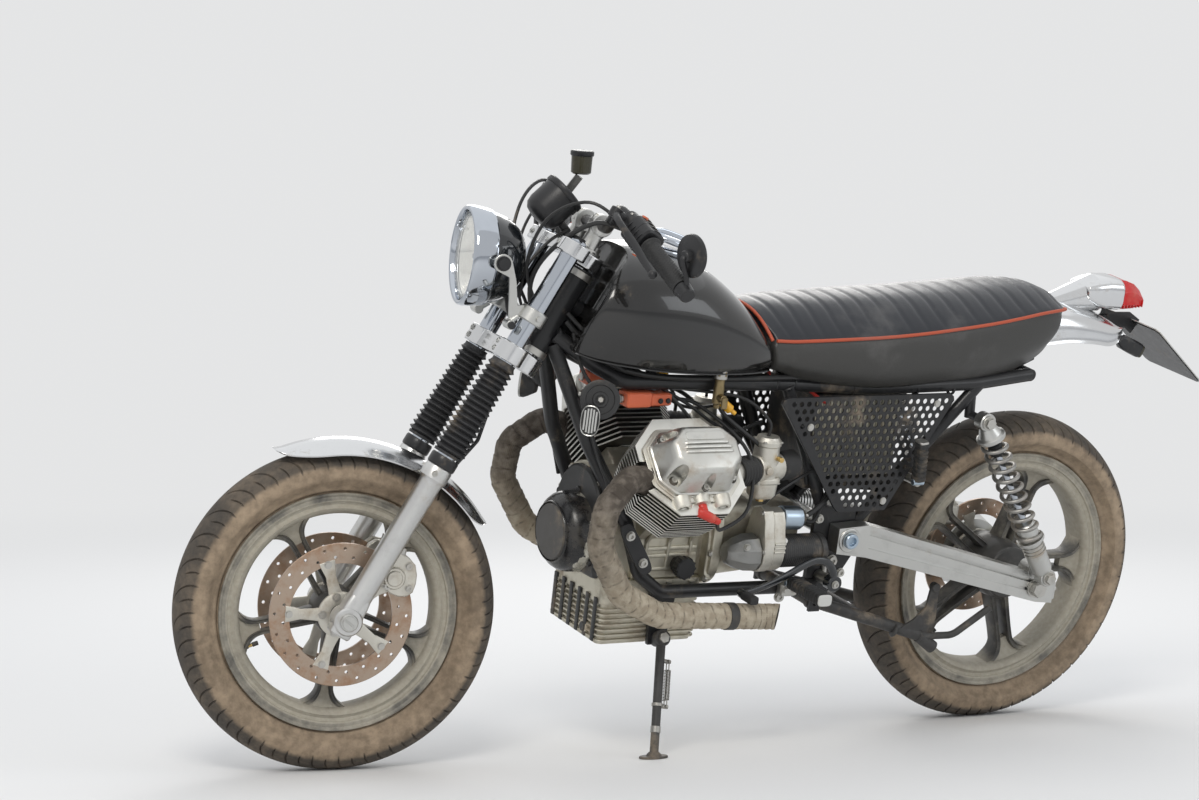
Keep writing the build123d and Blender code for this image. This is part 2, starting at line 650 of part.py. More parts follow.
with BuildPart() as shock_absorbers:
    for s in (1, -1):
        top = Vector(shock_top.X, s * shock_top.Y, shock_top.Z)
        low = Vector(shock_low.X, s * shock_low.Y, shock_low.Z)
        run = (low - top).normalized()
        length = (low - top).length
        add(rod(top - Vector(0, 12, 0), top + Vector(0, 12, 0), 17))
        add(rod(low - Vector(0, 12, 0), low + Vector(0, 12, 0), 17))
        add(rod(top + run * 10, top + run * 46, 16, 23))
        add(rod(top + run * 46, low - run * 92, 13))
        add(rod(low - run * 92, low - run * 12, 21))
        add(rod(low - run * 100, low - run * 90, 28))
        # Coil spring between the two collars
        coil_height = length - coil_start - coil_end
        with BuildPart(mode=Mode.PRIVATE) as coil:
            with BuildLine(Plane(origin=top + run * coil_start, x_dir=(0, 1, 0), z_dir=run)) as turns:
                Helix(pitch=coil_height / spring_turns, height=coil_height, radius=spring_r)
            with BuildSketch(Plane(origin=turns.wire() @ 0, z_dir=turns.wire() % 0)):
                Circle(spring_wire_r)
            sweep(is_frenet=True)
        add(coil.part)
        for eye in (top, low):
            with BuildSketch(Plane(origin=eye - Vector(0, 20, 0), x_dir=(1, 0, 0), z_dir=(0, 1, 0))):
                Circle(8.05)
            extrude(amount=40, mode=Mode.SUBTRACT)
keep(shock_absorbers, "shock_absorbers")


# Engine

with BuildPart() as crankcase:
    # A low-shouldered casting whose two upper faces carry the cylinders
    with BuildSketch(Plane.YZ.offset(742)):
        Polygon((-78, 40), (78, 40), (80, 150), (62, 204), (30, 228), (-30, 228), (-62, 204), (-80, 150), align=None)
    extrude(amount=228)
    with BuildSketch(Plane.YZ.offset(760)):
        Polygon((-88, 40), (88, 40), (86, 118), (142, 168), (58, 252), (0, 214), (-58, 252), (-142, 168), (-86, 118),
                align=None)
    extrude(amount=138)
keep(crankcase, "crankcase")

with BuildPart() as oil_sump:
    with BuildSketch(Plane.XY.offset(39.7)):
        with Locations((851, 0)):
            RectangleRounded(214, 188, 16)
    extrude(amount=-46)
    with BuildSketch(Plane.XY.offset(-6)):
        with Locations((851, 0)):
            RectangleRounded(204, 176, 12)
    extrude(amount=-78)
    for n in range(7):
        with BuildSketch(Plane.XY.offset(-14 - n * 10)):
            with Locations((851, 0)):
                RectangleRounded(214, 188, 14)
        extrude(amount=-3.6)
keep(oil_sump, "oil_sump")

with BuildPart() as alternator_cover:
    with BuildSketch(Plane(origin=(0, 0, crank_z), x_dir=(1, 0, 0), z_dir=(0, -1, 0))):
        with BuildLine():
            Line((970 + clear, 0), (970 + clear, 76))
            Line((970 + clear, 76), (1002, 72))
            Line((1002, 72), (1014, 62))
            dome(1014, 62, 1028)
            Line((1028, 0), (970 + clear, 0))
        make_face()
    revolve(axis=Axis((0, 0, crank_z), (1, 0, 0)))
keep(alternator_cover, "alternator_cover")


port = Vector(926, 162, 256)
port_dir = Vector(64, 24, 13).normalized()


def bank(s, start, end, width, depth, corner):
    """A block along one cylinder's axis, with cut corners, between two distances from the crankshaft."""
    x = cylinder_x - (0 if s > 0 else cylinder_step)
    axis = Vector(0, s * sin(radians(bank_angle)), cos(radians(bank_angle)))
    plane = Plane(origin=Vector(x, 0, crank_z) + axis * start, x_dir=(1, 0, 0), z_dir=axis)
    w = width / 2
    d = depth / 2
    with BuildPart() as made:
        with BuildSketch(plane):
            Polygon((-w + corner, -d), (w - corner, -d), (w, -d + corner), (w, d - corner), (w - corner, d),
                    (-w + corner, d), (-w, d - corner), (-w, -d + corner), align=None)
        extrude(amount=end - start)
    return made.part


with BuildPart() as cylinders:
    for s in (1, -1):
        add(bank(s, fin_start, cover_start - clear, 118, 116, 30))
        for n in range(fin_count):
            low = fin_start + 2 + n * fin_pitch
            shrink = 0 if n > 4 else (4 - n) * 3
            add(bank(s, low, low + fin_t, fin_w - shrink, fin_d - shrink, 52))
        add(bank(s, cover_start - 22, cover_start - clear, 150, 122, 24))
        # The fins stand back round the exhaust port
        step = 0 if s > 0 else cylinder_step
        out = Vector(port_dir.X, s * port_dir.Y, port_dir.Z)
        with BuildSketch(Plane(origin=Vector(port.X - step, s * port.Y, port.Z) - out * clear, z_dir=out)):
            Circle(32)
        extrude(amount=80, mode=Mode.SUBTRACT)
keep(cylinders, "cylinders")

with BuildPart() as rocker_covers:
    for s in (1, -1):
        add(bank(s, cover_start, cover_start + 16, 168, 128, 26))
        add(bank(s, cover_start + 16, cover_end - 8, 148, 112, 22))
        for u in (-36, -12, 12, 36):
            x = cylinder_x - (0 if s > 0 else cylinder_step)
            axis = Vector(0, s * sin(radians(bank_angle)), cos(radians(bank_angle)))
            with BuildSketch(Plane(origin=Vector(x, 0, crank_z) + axis * (cover_end - 10), x_dir=(1, 0, 0), z_dir=axis)):
                with Locations((u, 0)):
                    Rectangle(7, 100)
            extrude(amount=10)
keep(rocker_covers, "rocker_covers")

with BuildPart() as gearbox:
    # Bell housing, then the case that narrows to the output shaft
    with BuildSketch(Plane.YZ.offset(741.7)):
        with Locations((0, 110)):
            RectangleRounded(216, 190, 60)
    extrude(amount=-bell_t)
    with BuildSketch(Plane.YZ.offset(741.7 - bell_t)):
        with Locations((0, 108)):
            RectangleRounded(164, 170, 50)
    with BuildSketch(Plane.YZ.offset(640)):
        with Locations((0, 104)):
            RectangleRounded(160, 146, 44)
    loft()
    with BuildSketch(Plane.YZ.offset(640)):
        with Locations((0, 104)):
            RectangleRounded(150, 136, 40)
    with BuildSketch(Plane.YZ.offset(518)):
        with Locations((-10, 100)):
            RectangleRounded(130, 116, 36)
    loft()
keep(gearbox, "gearbox")

with BuildPart() as starter_motor:
    nose = 741.7 - bell_t - clear
    add(rod((nose, starter_y, 96), (660, starter_y, 96), 29, 33))
    add(rod((660, starter_y, 96), (608, starter_y, 96), 36))
    add(rod((608, starter_y, 96), (526, starter_y, 94), 31))
    add(rod((688, starter_y, 161), (580, starter_y, 159), 23))
    add(block((612, starter_y - 9, 120), (658, starter_y + 9, 150)))
keep(starter_motor, "starter_motor")

with BuildPart() as carburettors:
    for s in (1, -1):
        step = 0 if s > 0 else cylinder_step
        face = cylinder_x - fin_w / 2 - clear - step
        add(tube([(face, s * 156, 262), (face - 24, s * 156, 262), (690 - step, s * 137, 262)], 21, 60))
        add(rod((702 - step, s * 140, 262), (640 - step, s * 122, 260), 27))
        add(rod((668 - step, s * 131, 205), (668 - step, s * 131, 320), 25))
        add(rod((642 - step, s * 122.6, 260), (604 - step, s * 110, 256), 24))
keep(carburettors, "carburettors")

pipe_r = 24
pipe_end = Vector(612, 190, -12)
bend_1 = port + port_dir * 70
left_pipe = [(port.X, port.Y, port.Z), (bend_1.X, bend_1.Y, bend_1.Z), (1044, 206, 222), (1050, 208, 150),
             (990, 204, 56), (900, 196, 8), (pipe_end.X, pipe_end.Y, pipe_end.Z)]
with BuildPart() as exhaust_pipes:
    for s in (1, -1):
        step = 0 if s > 0 else cylinder_step
        add(tube([(x - step, s * y, z) for x, y, z in left_pipe], pipe_r, [30, 34, 44, 70, 70]))
        collar = port + port_dir * 12
        add(rod((port.X - step, s * port.Y, port.Z), (collar.X - step, s * collar.Y, collar.Z), 28))
        run = Vector(pipe_end.X - 900, s * (pipe_end.Y - 196), pipe_end.Z - 8)
        with BuildSketch(Plane(origin=(pipe_end.X - step, s * pipe_end.Y, pipe_end.Z), z_dir=run)):
            Circle(pipe_r - 3)
        extrude(amount=-70, mode=Mode.SUBTRACT)
keep(exhaust_pipes, "exhaust_pipes")


# Bodywork

# Place, half width, lower edge and crown of the tank, from its nose to behind the seam
tank_sections = [(tank_front, 84, 496, 588), (tank_front - 18, 106, 478, 614), (tank_front - 46, 130, 464, 638),
                 (tank_front - 94, 144, 456, 653), (900, tank_half, 449, tank_top), (800, 143, 441, 624),
                 (740, 132, 438, 584), (700, 122, 437, 545), (tank_rear - 20, 98, 437, 474)]
seam = Plane(origin=(676, 0, 496), x_dir=(0, 1, 0), z_dir=(0.972, 0, -0.234))
with BuildPart() as fuel_tank:
    for x, half, low, high in tank_sections:
        with BuildSketch(Plane.YZ.offset(x)):
            with Locations((0, (low + high) / 2)):
                RectangleRounded(half * 2, high - low, min(half, (high - low) / 2) * 0.82)
    loft()
    # Its nose stands back from the yokes on both sides
    with BuildSketch(fork.offset(400)):
        Polygon((-38, -40), (-38, 40), (-24, 115), (-24, 170), (150, 170), (150, -170), (-24, -170), (-24, -115),
                align=None)
    extrude(amount=520, mode=Mode.SUBTRACT)
    with BuildSketch(Plane.XY.offset(400)):
        with Locations((850, 0)):
            Rectangle(460, 62)
    extrude(amount=140, mode=Mode.SUBTRACT)
    with BuildSketch(Plane.XY.offset(400)):
        with Locations((1010, 0)):
            Rectangle(100, 62)
    extrude(amount=168, mode=Mode.SUBTRACT)
    split(bisect_by=seam.offset(clear), keep=Keep.TOP)
    add(rod((868, 0, tank_top - 30), (868, 0, tank_top + 5 - clear), 30))
    for s in (1, -1):
        add(rod((tap_x, s * tap_y, tap_seat), (tap_x, s * tap_y, tap_seat + 30), 13))
keep(fuel_tank, "fuel_tank")

cap_hinge = Vector(901, 0, tank_top + 11)
with BuildPart() as fuel_cap:
    add(rod((868, 0, tank_top + 5), (868, 0, tank_top + 20), 33, 30))
    # Knuckle of its hinge
    add(rod((cap_hinge.X, -11, cap_hinge.Z), (cap_hinge.X, 11, cap_hinge.Z), 5))
keep(fuel_cap, "fuel_cap", "fuel_cap")

with BuildPart() as seat:
    seat_sections = [(seat_front + 10, 104, 446, 532), (600, 118, 436, 532), (380, seat_half, 428, 540),
                     (120, 124, 436, 562), (0, 104, 462, 566), (seat_rear, 66, 490, 540)]
    for x, half, low, high in seat_sections:
        with BuildSketch(Plane.YZ.offset(x)):
            with Locations((0, (low + high) / 2)):
                RectangleRounded(half * 2, high - low, 26 if high - low > 60 else 20)
    loft(ruled=True)
    split(bisect_by=seam, keep=Keep.BOTTOM)
keep(seat, "seat")

with BuildPart() as tail_fender:
    tail_sections = [(20, 88, 436, 454), (-40, 84, 456, 475), (-68, 78, 474, 520), (-120, 60, 500, 556), (-190, 50, 520, 588)]
    for x, half, low, high in tail_sections:
        with BuildSketch(Plane.YZ.offset(x)):
            with Locations((0, (low + high) / 2)):
                RectangleRounded(half * 2, high - low, (high - low) * 0.42)
    loft(ruled=True)
keep(tail_fender, "tail_fender")

with BuildPart() as tail_lamp:
    for x, half, low, high in ((-191, 44, 530, 586), (-222, 34, 540, 582)):
        with BuildSketch(Plane.YZ.offset(x)):
            with Locations((0, (low + high) / 2)):
                RectangleRounded(half * 2, high - low, 16)
    loft()
keep(tail_lamp, "tail_lamp")

with BuildPart() as licence_plate:
    with BuildSketch(Plane(origin=(-318, 0, 448), x_dir=(0, 1, 0), z_dir=(-0.632, 0, 0.775))):
        RectangleRounded(177, 177, 8)
    extrude(amount=2.5)
    add(rod((-178, 0, 513.6), (-178, 0, 498), 9))
    add(rod((-178, 0, 502), (-252, 0, 494), 7))
keep(licence_plate, "licence_plate")

rear_low, rear_high = (386, 172), (262, 386)
front_low, front_high = (502, 182), (650, 386)
panel_outline = [(640, 396), (272, 398), rear_high, rear_low, (492, 172), front_low, front_high]


def side_x(low, high, z):
    """Where one of the panel's sloping sides is at a height."""
    return low[0] + (high[0] - low[0]) * (z - low[1]) / (high[1] - low[1])


with BuildPart() as side_panels:
    for s in (1, -1):
        add(slab(panel_outline, s * panel_y - 2, s * panel_y + 2))
        # Staggered rows of holes that keep clear of the sloping sides
        with BuildSketch(Plane.XZ.offset(-s * panel_y)):
            for row in range(panel_rows):
                z = rear_low[1] + panel_margin + row * panel_row_gap
                rear = side_x(rear_low, rear_high, z) + panel_margin + panel_hole_gap / 2 * (row % 2)
                front = side_x(front_low, front_high, z) - panel_margin
                count = int((front - rear) / panel_hole_gap) + 1
                with Locations(*[(rear + n * panel_hole_gap, z) for n in range(count)]):
                    Circle(panel_hole_r)
        extrude(amount=6, both=True, mode=Mode.SUBTRACT)
        add(rod((582, s * 103, 340), (582, s * (panel_y - 1), 340), 7))
        add(rod((392, s * 113, 184), (392, s * (panel_y - 1), 184), 7))
keep(side_panels, "side_panels")

with BuildPart() as battery_box:
    add(block((330, -81.3, 200), (540, 81.3, 388)))
keep(battery_box, "battery_box")

with BuildPart() as horn:
    for s in (1, -1):
        add(rod((1030, s * 112, 396), (1020, s * 88, 390), 34))
        # Stem to the down tube
        add(rod((1024, s * 82, 390), (1041.9, s * 57.6, 391.9), 6))
        add(rod((1044, s * 128, 372), (1032, s * 110, 366), 22))
keep(horn, "horn")

with BuildPart() as ignition_coils:
    for s in (1, -1):
        add(block((860, min(s * 52, s * 92), 369), (960, max(s * 52, s * 92), 400.8)))
keep(ignition_coils, "ignition_coils")

with BuildPart() as fuel_taps:
    for s in (1, -1):
        add(rod((tap_x, s * tap_y, tap_seat - clear), (tap_x, s * tap_y, 374), 9))
        add(rod((tap_x, s * tap_y, 396), (tap_x, s * (tap_y + 22), 396), 7))
keep(fuel_taps, "fuel_taps")

with BuildPart() as footpegs:
    for s in (1, -1):
        # Rider's peg on its bracket beside the lower rail
        add(block((peg_x - 18, min(s * 125.3, s * 142), 10), (peg_x + 18, max(s * 125.3, s * 142), 34)))
        add(rod((peg_x, s * 130, peg_z - 4), (peg_x, s * 152, peg_z), 12))
        add(rod((peg_x, s * 150, peg_z), (peg_x + 2, s * 260, peg_z + 2), 15))
        # Passenger's peg, folded up
        add(rod((334, s * 116.1, 232), (334, s * 160, 232), 9))
        add(rod((334, s * 160, 232), (344, s * 168, 312), 13))
keep(footpegs, "footpegs")

with BuildPart() as foot_controls:
    for s in (1, -1):
        # The lever arches over the peg and ends in a toe piece ahead of it
        add(rod((lever_x, s * 109.3, peg_z - 2), (lever_x, s * 168, peg_z - 2), 11))
        add(tube([(lever_x, s * 160, peg_z - 2), (lever_x + 26, s * 163, peg_z + 44), (peg_x - 18, s * 165, peg_z + 42),
                  (709, s * 182, peg_z - 6)], 6.5, [20, 30]))
        add(rod((709, s * 172, peg_z - 6), (709, s * 222, peg_z - 6), 9))
keep(foot_controls, "foot_controls")

with BuildPart() as rear_caliper:
    add(block((70, -84, 70), (130, -40, 112)))
    # Its bracket on the drive shaft's housing
    add(rod((100, -78, 87), (100, -97.6, 57.1), 8))
    with BuildSketch(Plane(origin=(0, rear_disc_y - 5, 0), x_dir=(1, 0, 0), z_dir=(0, 1, 0))):
        Circle(rear_disc_r + 4)
    extrude(amount=10, mode=Mode.SUBTRACT)
keep(rear_caliper, "rear_caliper")


# Stands


with BuildPart() as side_stand:
    add(rod(stand_pivot - stand_axis * 9, stand_pivot + stand_axis * 9, 15))
    add(rod(stand_pivot, stand_foot + up * 1, 8.5))
    with BuildSketch(Plane(origin=on_ground(876, 212), x_dir=(1, 0, 0), z_dir=up)):
        Ellipse(29, 19)
    extrude(amount=5)
    # Two return springs along the leg, and the tang that the foot pushes
    for n in (-1, 1):
        shift = Vector(17, 0, 0) + stand_axis * (n * 4)
        add(rod(stand_pivot + stand_dir * 40 + shift, stand_pivot + stand_dir * 128 + shift, 4.2))
    add(rod(stand_pivot + stand_dir * 126, stand_pivot + stand_dir * 126 + Vector(22, 0, 0), 4))
    add(rod(stand_pivot + stand_dir * 42, stand_pivot + stand_dir * 42 + Vector(22, 0, 0), 4))
keep(side_stand, "side_stand", "side_stand")

with BuildPart() as centre_stand:
    add(rod(main_pivot + Vector(0, -92, 0), main_pivot + Vector(0, 92, 0), 12))
    for s in (1, -1):
        add(rod(main_pivot + Vector(0, s * 76, 0), (222, s * 116, -102), 12))
        add(rod((240, s * 114, -98), (206, s * 118, -122), 13))
    add(rod((360, -98, -62), (360, 98, -62), 10))
    add(tube([(238, 118, -98), (174, 134, -93), (100, 142, -38)], 7, 40))
keep(centre_stand, "centre_stand", "centre_stand")


# Placing: bars turned, machine leaning, origin on the ground under the middle of its box

level_x = (Vector(1, 0, 0) - up * up.X).normalized()
ground = Plane(origin=on_ground(0, 0), x_dir=level_x, z_dir=up)
steered = {"steering", "front_wheel"}
placed = {}
for name, (shape, body) in pieces.items():
    if body in steered:
        shape = shape.rotate(Axis(steer_foot, steer_up), steering_turn)
    placed[name] = ground.to_local_coords(shape)

boxes = [shape.bounding_box() for shape in placed.values()]
middle = Vector((min(b.min.X for b in boxes) + max(b.max.X for b in boxes)) / 2,
                (min(b.min.Y for b in boxes) + max(b.max.Y for b in boxes)) / 2,
                min(b.min.Z for b in boxes))

os.makedirs("parts", exist_ok=True)
for name, shape in placed.items():
    shape = shape.moved(Location(middle * -1))
    shape.label = name
    export_step(shape, f"parts/{name}.step")


def report(name, point, direction):
    """Prints a joint's or mount's place and direction in the finished frame."""
    p = ground.to_local_coords(Vector(point)) - middle
    q = ground.to_local_coords(Vector(point) + Vector(direction)) - middle
    d = (q - p).normalized()
    print("place", name, *(round(v / 1000, 6) for v in (p.X, p.Y, p.Z)), *(round(v, 6) for v in (d.X, d.Y, d.Z)))


report("steering", steer_foot + steer_up * lower_yoke_z, steer_up)
report("front_wheel_spin", front_axle_turned, front_axle_dir)
report("rear_wheel_spin", (0, 0, 0), (0, 1, 0))
report("side_stand", stand_pivot, stand_axis)
report("centre_stand", main_pivot, (0, 1, 0))
report("fuel_cap", cap_hinge, (0, 1, 0))
report("side_stand_foot", on_ground(876, 212), up * -1)
for name, s, step in (("left_silencer_seat", 1, 0), ("right_silencer_seat", -1, cylinder_step)):
    report(name, (pipe_end.X - step, s * pipe_end.Y, pipe_end.Z),
           (pipe_end.X - 900, s * (pipe_end.Y - 196), pipe_end.Z - 8))
report("rider_seat", (520, 0, 528), (0, 0, 1))
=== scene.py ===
import json
from math import asin, cos, pi, radians, sin, sqrt

import bmesh
import bpy
from mathutils import Matrix, Quaternion, Vector, noise


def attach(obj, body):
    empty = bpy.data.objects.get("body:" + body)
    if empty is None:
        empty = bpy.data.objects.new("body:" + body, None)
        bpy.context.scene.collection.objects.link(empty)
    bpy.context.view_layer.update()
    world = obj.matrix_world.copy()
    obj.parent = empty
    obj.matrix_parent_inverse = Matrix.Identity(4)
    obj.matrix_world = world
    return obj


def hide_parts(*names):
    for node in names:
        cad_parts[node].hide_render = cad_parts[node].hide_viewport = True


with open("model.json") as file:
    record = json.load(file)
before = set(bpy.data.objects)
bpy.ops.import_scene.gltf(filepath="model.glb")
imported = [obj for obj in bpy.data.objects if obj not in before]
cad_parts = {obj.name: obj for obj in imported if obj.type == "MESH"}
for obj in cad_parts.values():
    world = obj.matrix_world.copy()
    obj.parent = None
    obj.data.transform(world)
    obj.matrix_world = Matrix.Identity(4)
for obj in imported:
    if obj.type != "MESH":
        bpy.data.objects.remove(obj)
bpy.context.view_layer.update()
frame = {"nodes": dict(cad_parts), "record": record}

bl_info = {"name": "Cafe racer motorcycle", "version": (1, 0, 0), "blender": (4, 5, 0),
    "location": "View3D > Sidebar > Motorcycle",
    "description": "Dresses the packed frame of an unfaired V-twin cafe racer with finished pieces",
    "category": "Add Mesh"}

def vec(x, y, z):
    return Vector((x, y, z))


def unit(run):
    """The direction of a run, one long."""
    return Vector(run).normalized()


# The motorcycle's own sizes, in millimetres: X forward from the rear axle, Y to the left, Z up
WHEELBASE = 1450
FRONT_AXLE_Z = -23
RAKE = 28.5
FORK_OFFSET = 60
STEERING_TURN = -16.0
LEG_Y = 98
LOWER_YOKE_Z = 538
UPPER_YOKE_Z = 756
YOKE_T = 26
CRANK_Z = 110
BANK_ANGLE = 45
CYLINDER_X = 858
CYLINDER_STEP = 24
MM = 0.001
# Points nearer to each other than this are one point
WELD = 0.005
# Edges that turn by more than this are eased, and shaded sharp unless a piece says otherwise
SHARP = 32

record = frame["record"]
joints = {j["name"]: j for j in record["behaviour"]["joints"]}
mounts = {m["name"]: m for m in record["mounts"]}
left = Vector(joints["rear_wheel_spin"]["axis"]).normalized()
up = Vector(mounts["rider_seat"]["axis"]).normalized()
ahead = left.cross(up).normalized()
up = ahead.cross(left).normalized()
turn = Matrix((ahead, left, up)).transposed().to_4x4()
# Takes a point of the upright motorcycle, in millimetres, to the leaning one, in metres
BIKE = Matrix.Translation(joints["rear_wheel_spin"]["pos_m"]) @ turn @ Matrix.Scale(MM, 4)
steer_at = Vector(joints["steering_turn"]["pos_m"])
steer_turn = Matrix.Rotation(radians(STEERING_TURN), 4, Vector(joints["steering_turn"]["axis"]))
# The same for what turns with the bars, drawn with the bars straight
TURNED = Matrix.Translation(steer_at) @ steer_turn @ Matrix.Translation(-steer_at) @ BIKE
STEERED = {"steering", "front_wheel"}

steer_up = vec(-sin(radians(RAKE)), 0, cos(radians(RAKE)))
steer_fwd = vec(cos(radians(RAKE)), 0, sin(radians(RAKE)))
FRONT_AXLE = vec(WHEELBASE, 0, FRONT_AXLE_Z)
FORK_FOOT = FRONT_AXLE - steer_fwd * FORK_OFFSET
SIDE = vec(0, 1, 0)
FORWARD = vec(1, 0, 0)
UPWARD = vec(0, 0, 1)
# The planes of plates that are seen from the side and from the front
SIDE_ON = (FORWARD, UPWARD)
END_ON = (SIDE, UPWARD)


def fork_at(x, y, z):
    """A point given in the fork's own plane: forward, to the left and up along the steering axis."""
    return FORK_FOOT + steer_fwd * x + SIDE * y + steer_up * z


def lerp(a, b, t):
    """The value a share t of the way from a to b."""
    return a + (b - a) * t


def ease(t):
    """A smooth step from 0 to 1."""
    t = min(max(t, 0), 1)
    return t * t * (3 - 2 * t)


def along_curve(points, steps):
    """A smooth curve through the points, with so many steps from each to the next."""
    pts = [Vector(p) for p in points]
    ends = [pts[0] * 2 - pts[1], *pts, pts[-1] * 2 - pts[-2]]
    made = []
    for n in range(1, len(ends) - 2):
        a, b, c, d = ends[n - 1:n + 3]
        for k in range(steps):
            t = k / steps
            bend, twist = a * 2 - b * 5 + c * 4 - d, b * 3 - a - c * 3 + d
            made.append((b * 2 + (c - a) * t + bend * t ** 2 + twist * t ** 3) / 2)
    return made + [pts[-1]]


def filleted(points, radii, step=4.0):
    """Straight runs joined by arcs, divided about every step."""
    pts = [Vector(p) for p in points]
    made = [pts[0]]
    for n in range(1, len(pts) - 1):
        a, b, c = pts[n - 1], pts[n], pts[n + 1]
        u = unit(a - b)
        v = unit(c - b)
        half = u.angle(v) / 2
        r = radii[n - 1]
        cut = r / (sin(half) / cos(half))
        centre = b + unit(u + v) * (r / sin(half))
        start = b + u * cut - centre
        end = b + v * cut - centre
        sweep = start.angle(end)
        axis = start.cross(end).normalized()
        count = max(3, int(sweep * r / step))
        made += [centre + Quaternion(axis, sweep * k / count) @ start for k in range(count + 1)]
    made.append(pts[-1])
    filled = [made[0]]
    for a, b in zip(made, made[1:]):
        count = max(1, int((b - a).length / step))
        filled += [a.lerp(b, (k + 1) / count) for k in range(count)]
    return filled


def oval(width, height, points=16, power=1.0):
    """A closed outline in two dimensions, an ellipse or, with a power under 1, a rounded box."""
    made = []
    for n in range(points):
        a = 2 * pi * (n + 0.5) / points
        c, s = cos(a), sin(a)
        x, y = abs(c) ** power * (width / 2), abs(s) ** power * (height / 2)
        made.append((x if c > 0 else -x, y if s > 0 else -y))
    return made


def collar(half, bore, radius, flat=None, crown=0.0):
    """The profile of a ring: plain, or bevelled up to a wider crown on its flat middle."""
    raised = [(-flat, crown), (flat, crown)] if flat else []
    return [(-half, bore), (-half, radius), *raised, (half, radius), (half, bore)]


class Shape:
    """Points and faces on the upright motorcycle, with a finish and a mark for each."""

    def __init__(self):
        self.points = []
        self.marks = []
        self.faces = []
        self.finish = []
        self.uv = []

    def skin(self, rings, closed=False, caps=True, finish=0, marks=None, lengths=None):
        """Joins rings of equally many points, each to the next, and closes both ends."""
        base = len(self.points)
        n = len(rings[0])
        for i, ring in enumerate(rings):
            self.points += [Vector(p) for p in ring]
            self.marks += marks[i] if marks else [0.0] * n
        last = len(rings) if closed else len(rings) - 1
        for i in range(last):
            j = (i + 1) % len(rings)
            s = lengths[i] if lengths else 0
            e = lengths[i + 1] if lengths and i + 1 < len(rings) else s + 1
            for k in range(n):
                m = (k + 1) % n
                self.faces.append([base + i * n + k, base + i * n + m, base + j * n + m, base + j * n + k])
                self.uv.append([(s, k / n), (s, (k + 1) / n), (e, (k + 1) / n), (e, k / n)])
                self.finish.append(finish)
        if caps and not closed:
            for i in (0, len(rings) - 1):
                self.faces.append([base + i * n + k for k in range(n)])
                self.uv.append([(0, 0)] * n)
                self.finish.append(finish)
        return self

    def turned(self, origin, axis, profile, steps=48, finish=0, marks=None):
        """A closed profile of (along the axis, radius) turned about the axis."""
        origin = Vector(origin)
        axis = Vector(axis).normalized()
        out = axis.orthogonal().normalized()
        rings = []
        for k in range(steps):
            spoke = Quaternion(axis, 2 * pi * k / steps) @ out
            rings.append([origin + axis * h + spoke * r for h, r in profile])
        return self.skin(rings, closed=True, finish=finish, marks=[marks] * steps if marks else None)

    def sweep(self, path, section, finish=0, hint=None, scale=None, marks=None):
        """A section carried along a path, kept upright by a hint or else turned as little as it can."""
        path = [Vector(p) for p in path]
        rings = []
        lengths = [0.0]
        side = None
        for n, p in enumerate(path):
            run = (path[min(n + 1, len(path) - 1)] - path[max(n - 1, 0)]).normalized()
            if n:
                lengths.append(lengths[-1] + (p - path[n - 1]).length)
            if hint is not None:
                side = Vector(hint).cross(run).normalized()
            elif side is None:
                side = run.orthogonal().normalized()
            else:
                side = (side - run * side.dot(run)).normalized()
            top = run.cross(side)
            w, h = scale[n] if scale else (1, 1)
            rings.append([p + side * (a * w) + top * (b * h) for a, b in section])
        return self.skin(rings, finish=finish, marks=marks, lengths=lengths)

    def rod(self, a, b, r, r2=None, finish=0, steps=24, edge=0.0):
        """A round bar between two points, straight or tapered, with eased edges."""
        a, b = Vector(a), Vector(b)
        r2 = r if r2 is None else r2
        length = (b - a).length
        profile = [(0, 0), (0, r - edge), (edge, r), (length - edge, r2), (length, r2 - edge), (length, 0)]
        return self.turned(a, b - a, profile, steps, finish)

    def rods(self, *bars):
        """Several round bars."""
        for bar in bars:
            self.rod(*bar)

    def tube(self, path, r, finish=0, steps=12):
        """A round cable or tube along a path."""
        return self.sweep(path, oval(2 * r, 2 * r, steps), finish)

    def slab(self, outline, origin, across, upward, thick, finish=0, edge=0.8):
        """A plate from its outline, with eased edges, growing both ways from its own plane."""
        origin, across, upward = Vector(origin), Vector(across).normalized(), Vector(upward).normalized()
        out = across.cross(upward)
        middle = Vector((sum(p[0] for p in outline), sum(p[1] for p in outline))) / len(outline)
        rings = []
        for depth, inset in ((-0.5, edge), (-0.5, 0), (0.5, 0), (0.5, edge)):
            shift = depth * (thick - (2 * edge if not inset else 0))
            ring = []
            for p in outline:
                q = Vector(p)
                toward = middle - q
                q = q + toward * (inset / max(toward.length, 1))
                ring.append(origin + across * q.x + upward * q.y + out * shift)
            rings.append(ring)
        return self.skin(rings, finish=finish)

    def box(self, low, high, finish=0, edge=1.5):
        """A block with eased edges, along the motorcycle's own axes."""
        (x0, y0, z0), (x1, y1, z1) = low, high
        mx, my = (x0 + x1) / 2, (y0 + y1) / 2
        w, d = (x1 - x0) / 2, (y1 - y0) / 2
        rings = []
        for z, inset in ((z0, edge), (z0 + edge, 0), (z1 - edge, 0), (z1, edge)):
            a, b = w - inset, d - inset
            c = edge
            rings.append([vec(mx + u, my + v, z) for u, v in ((a, b - c), (a - c, b), (c - a, b), (-a, b - c),
                (-a, c - b), (c - a, -b), (a - c, -b), (a, c - b))])
        return self.skin(rings, finish=finish)


def place(mesh, body):
    """Carries a mesh drawn on the upright motorcycle to where its body stands."""
    mesh.transform(TURNED if body in STEERED else BIKE)


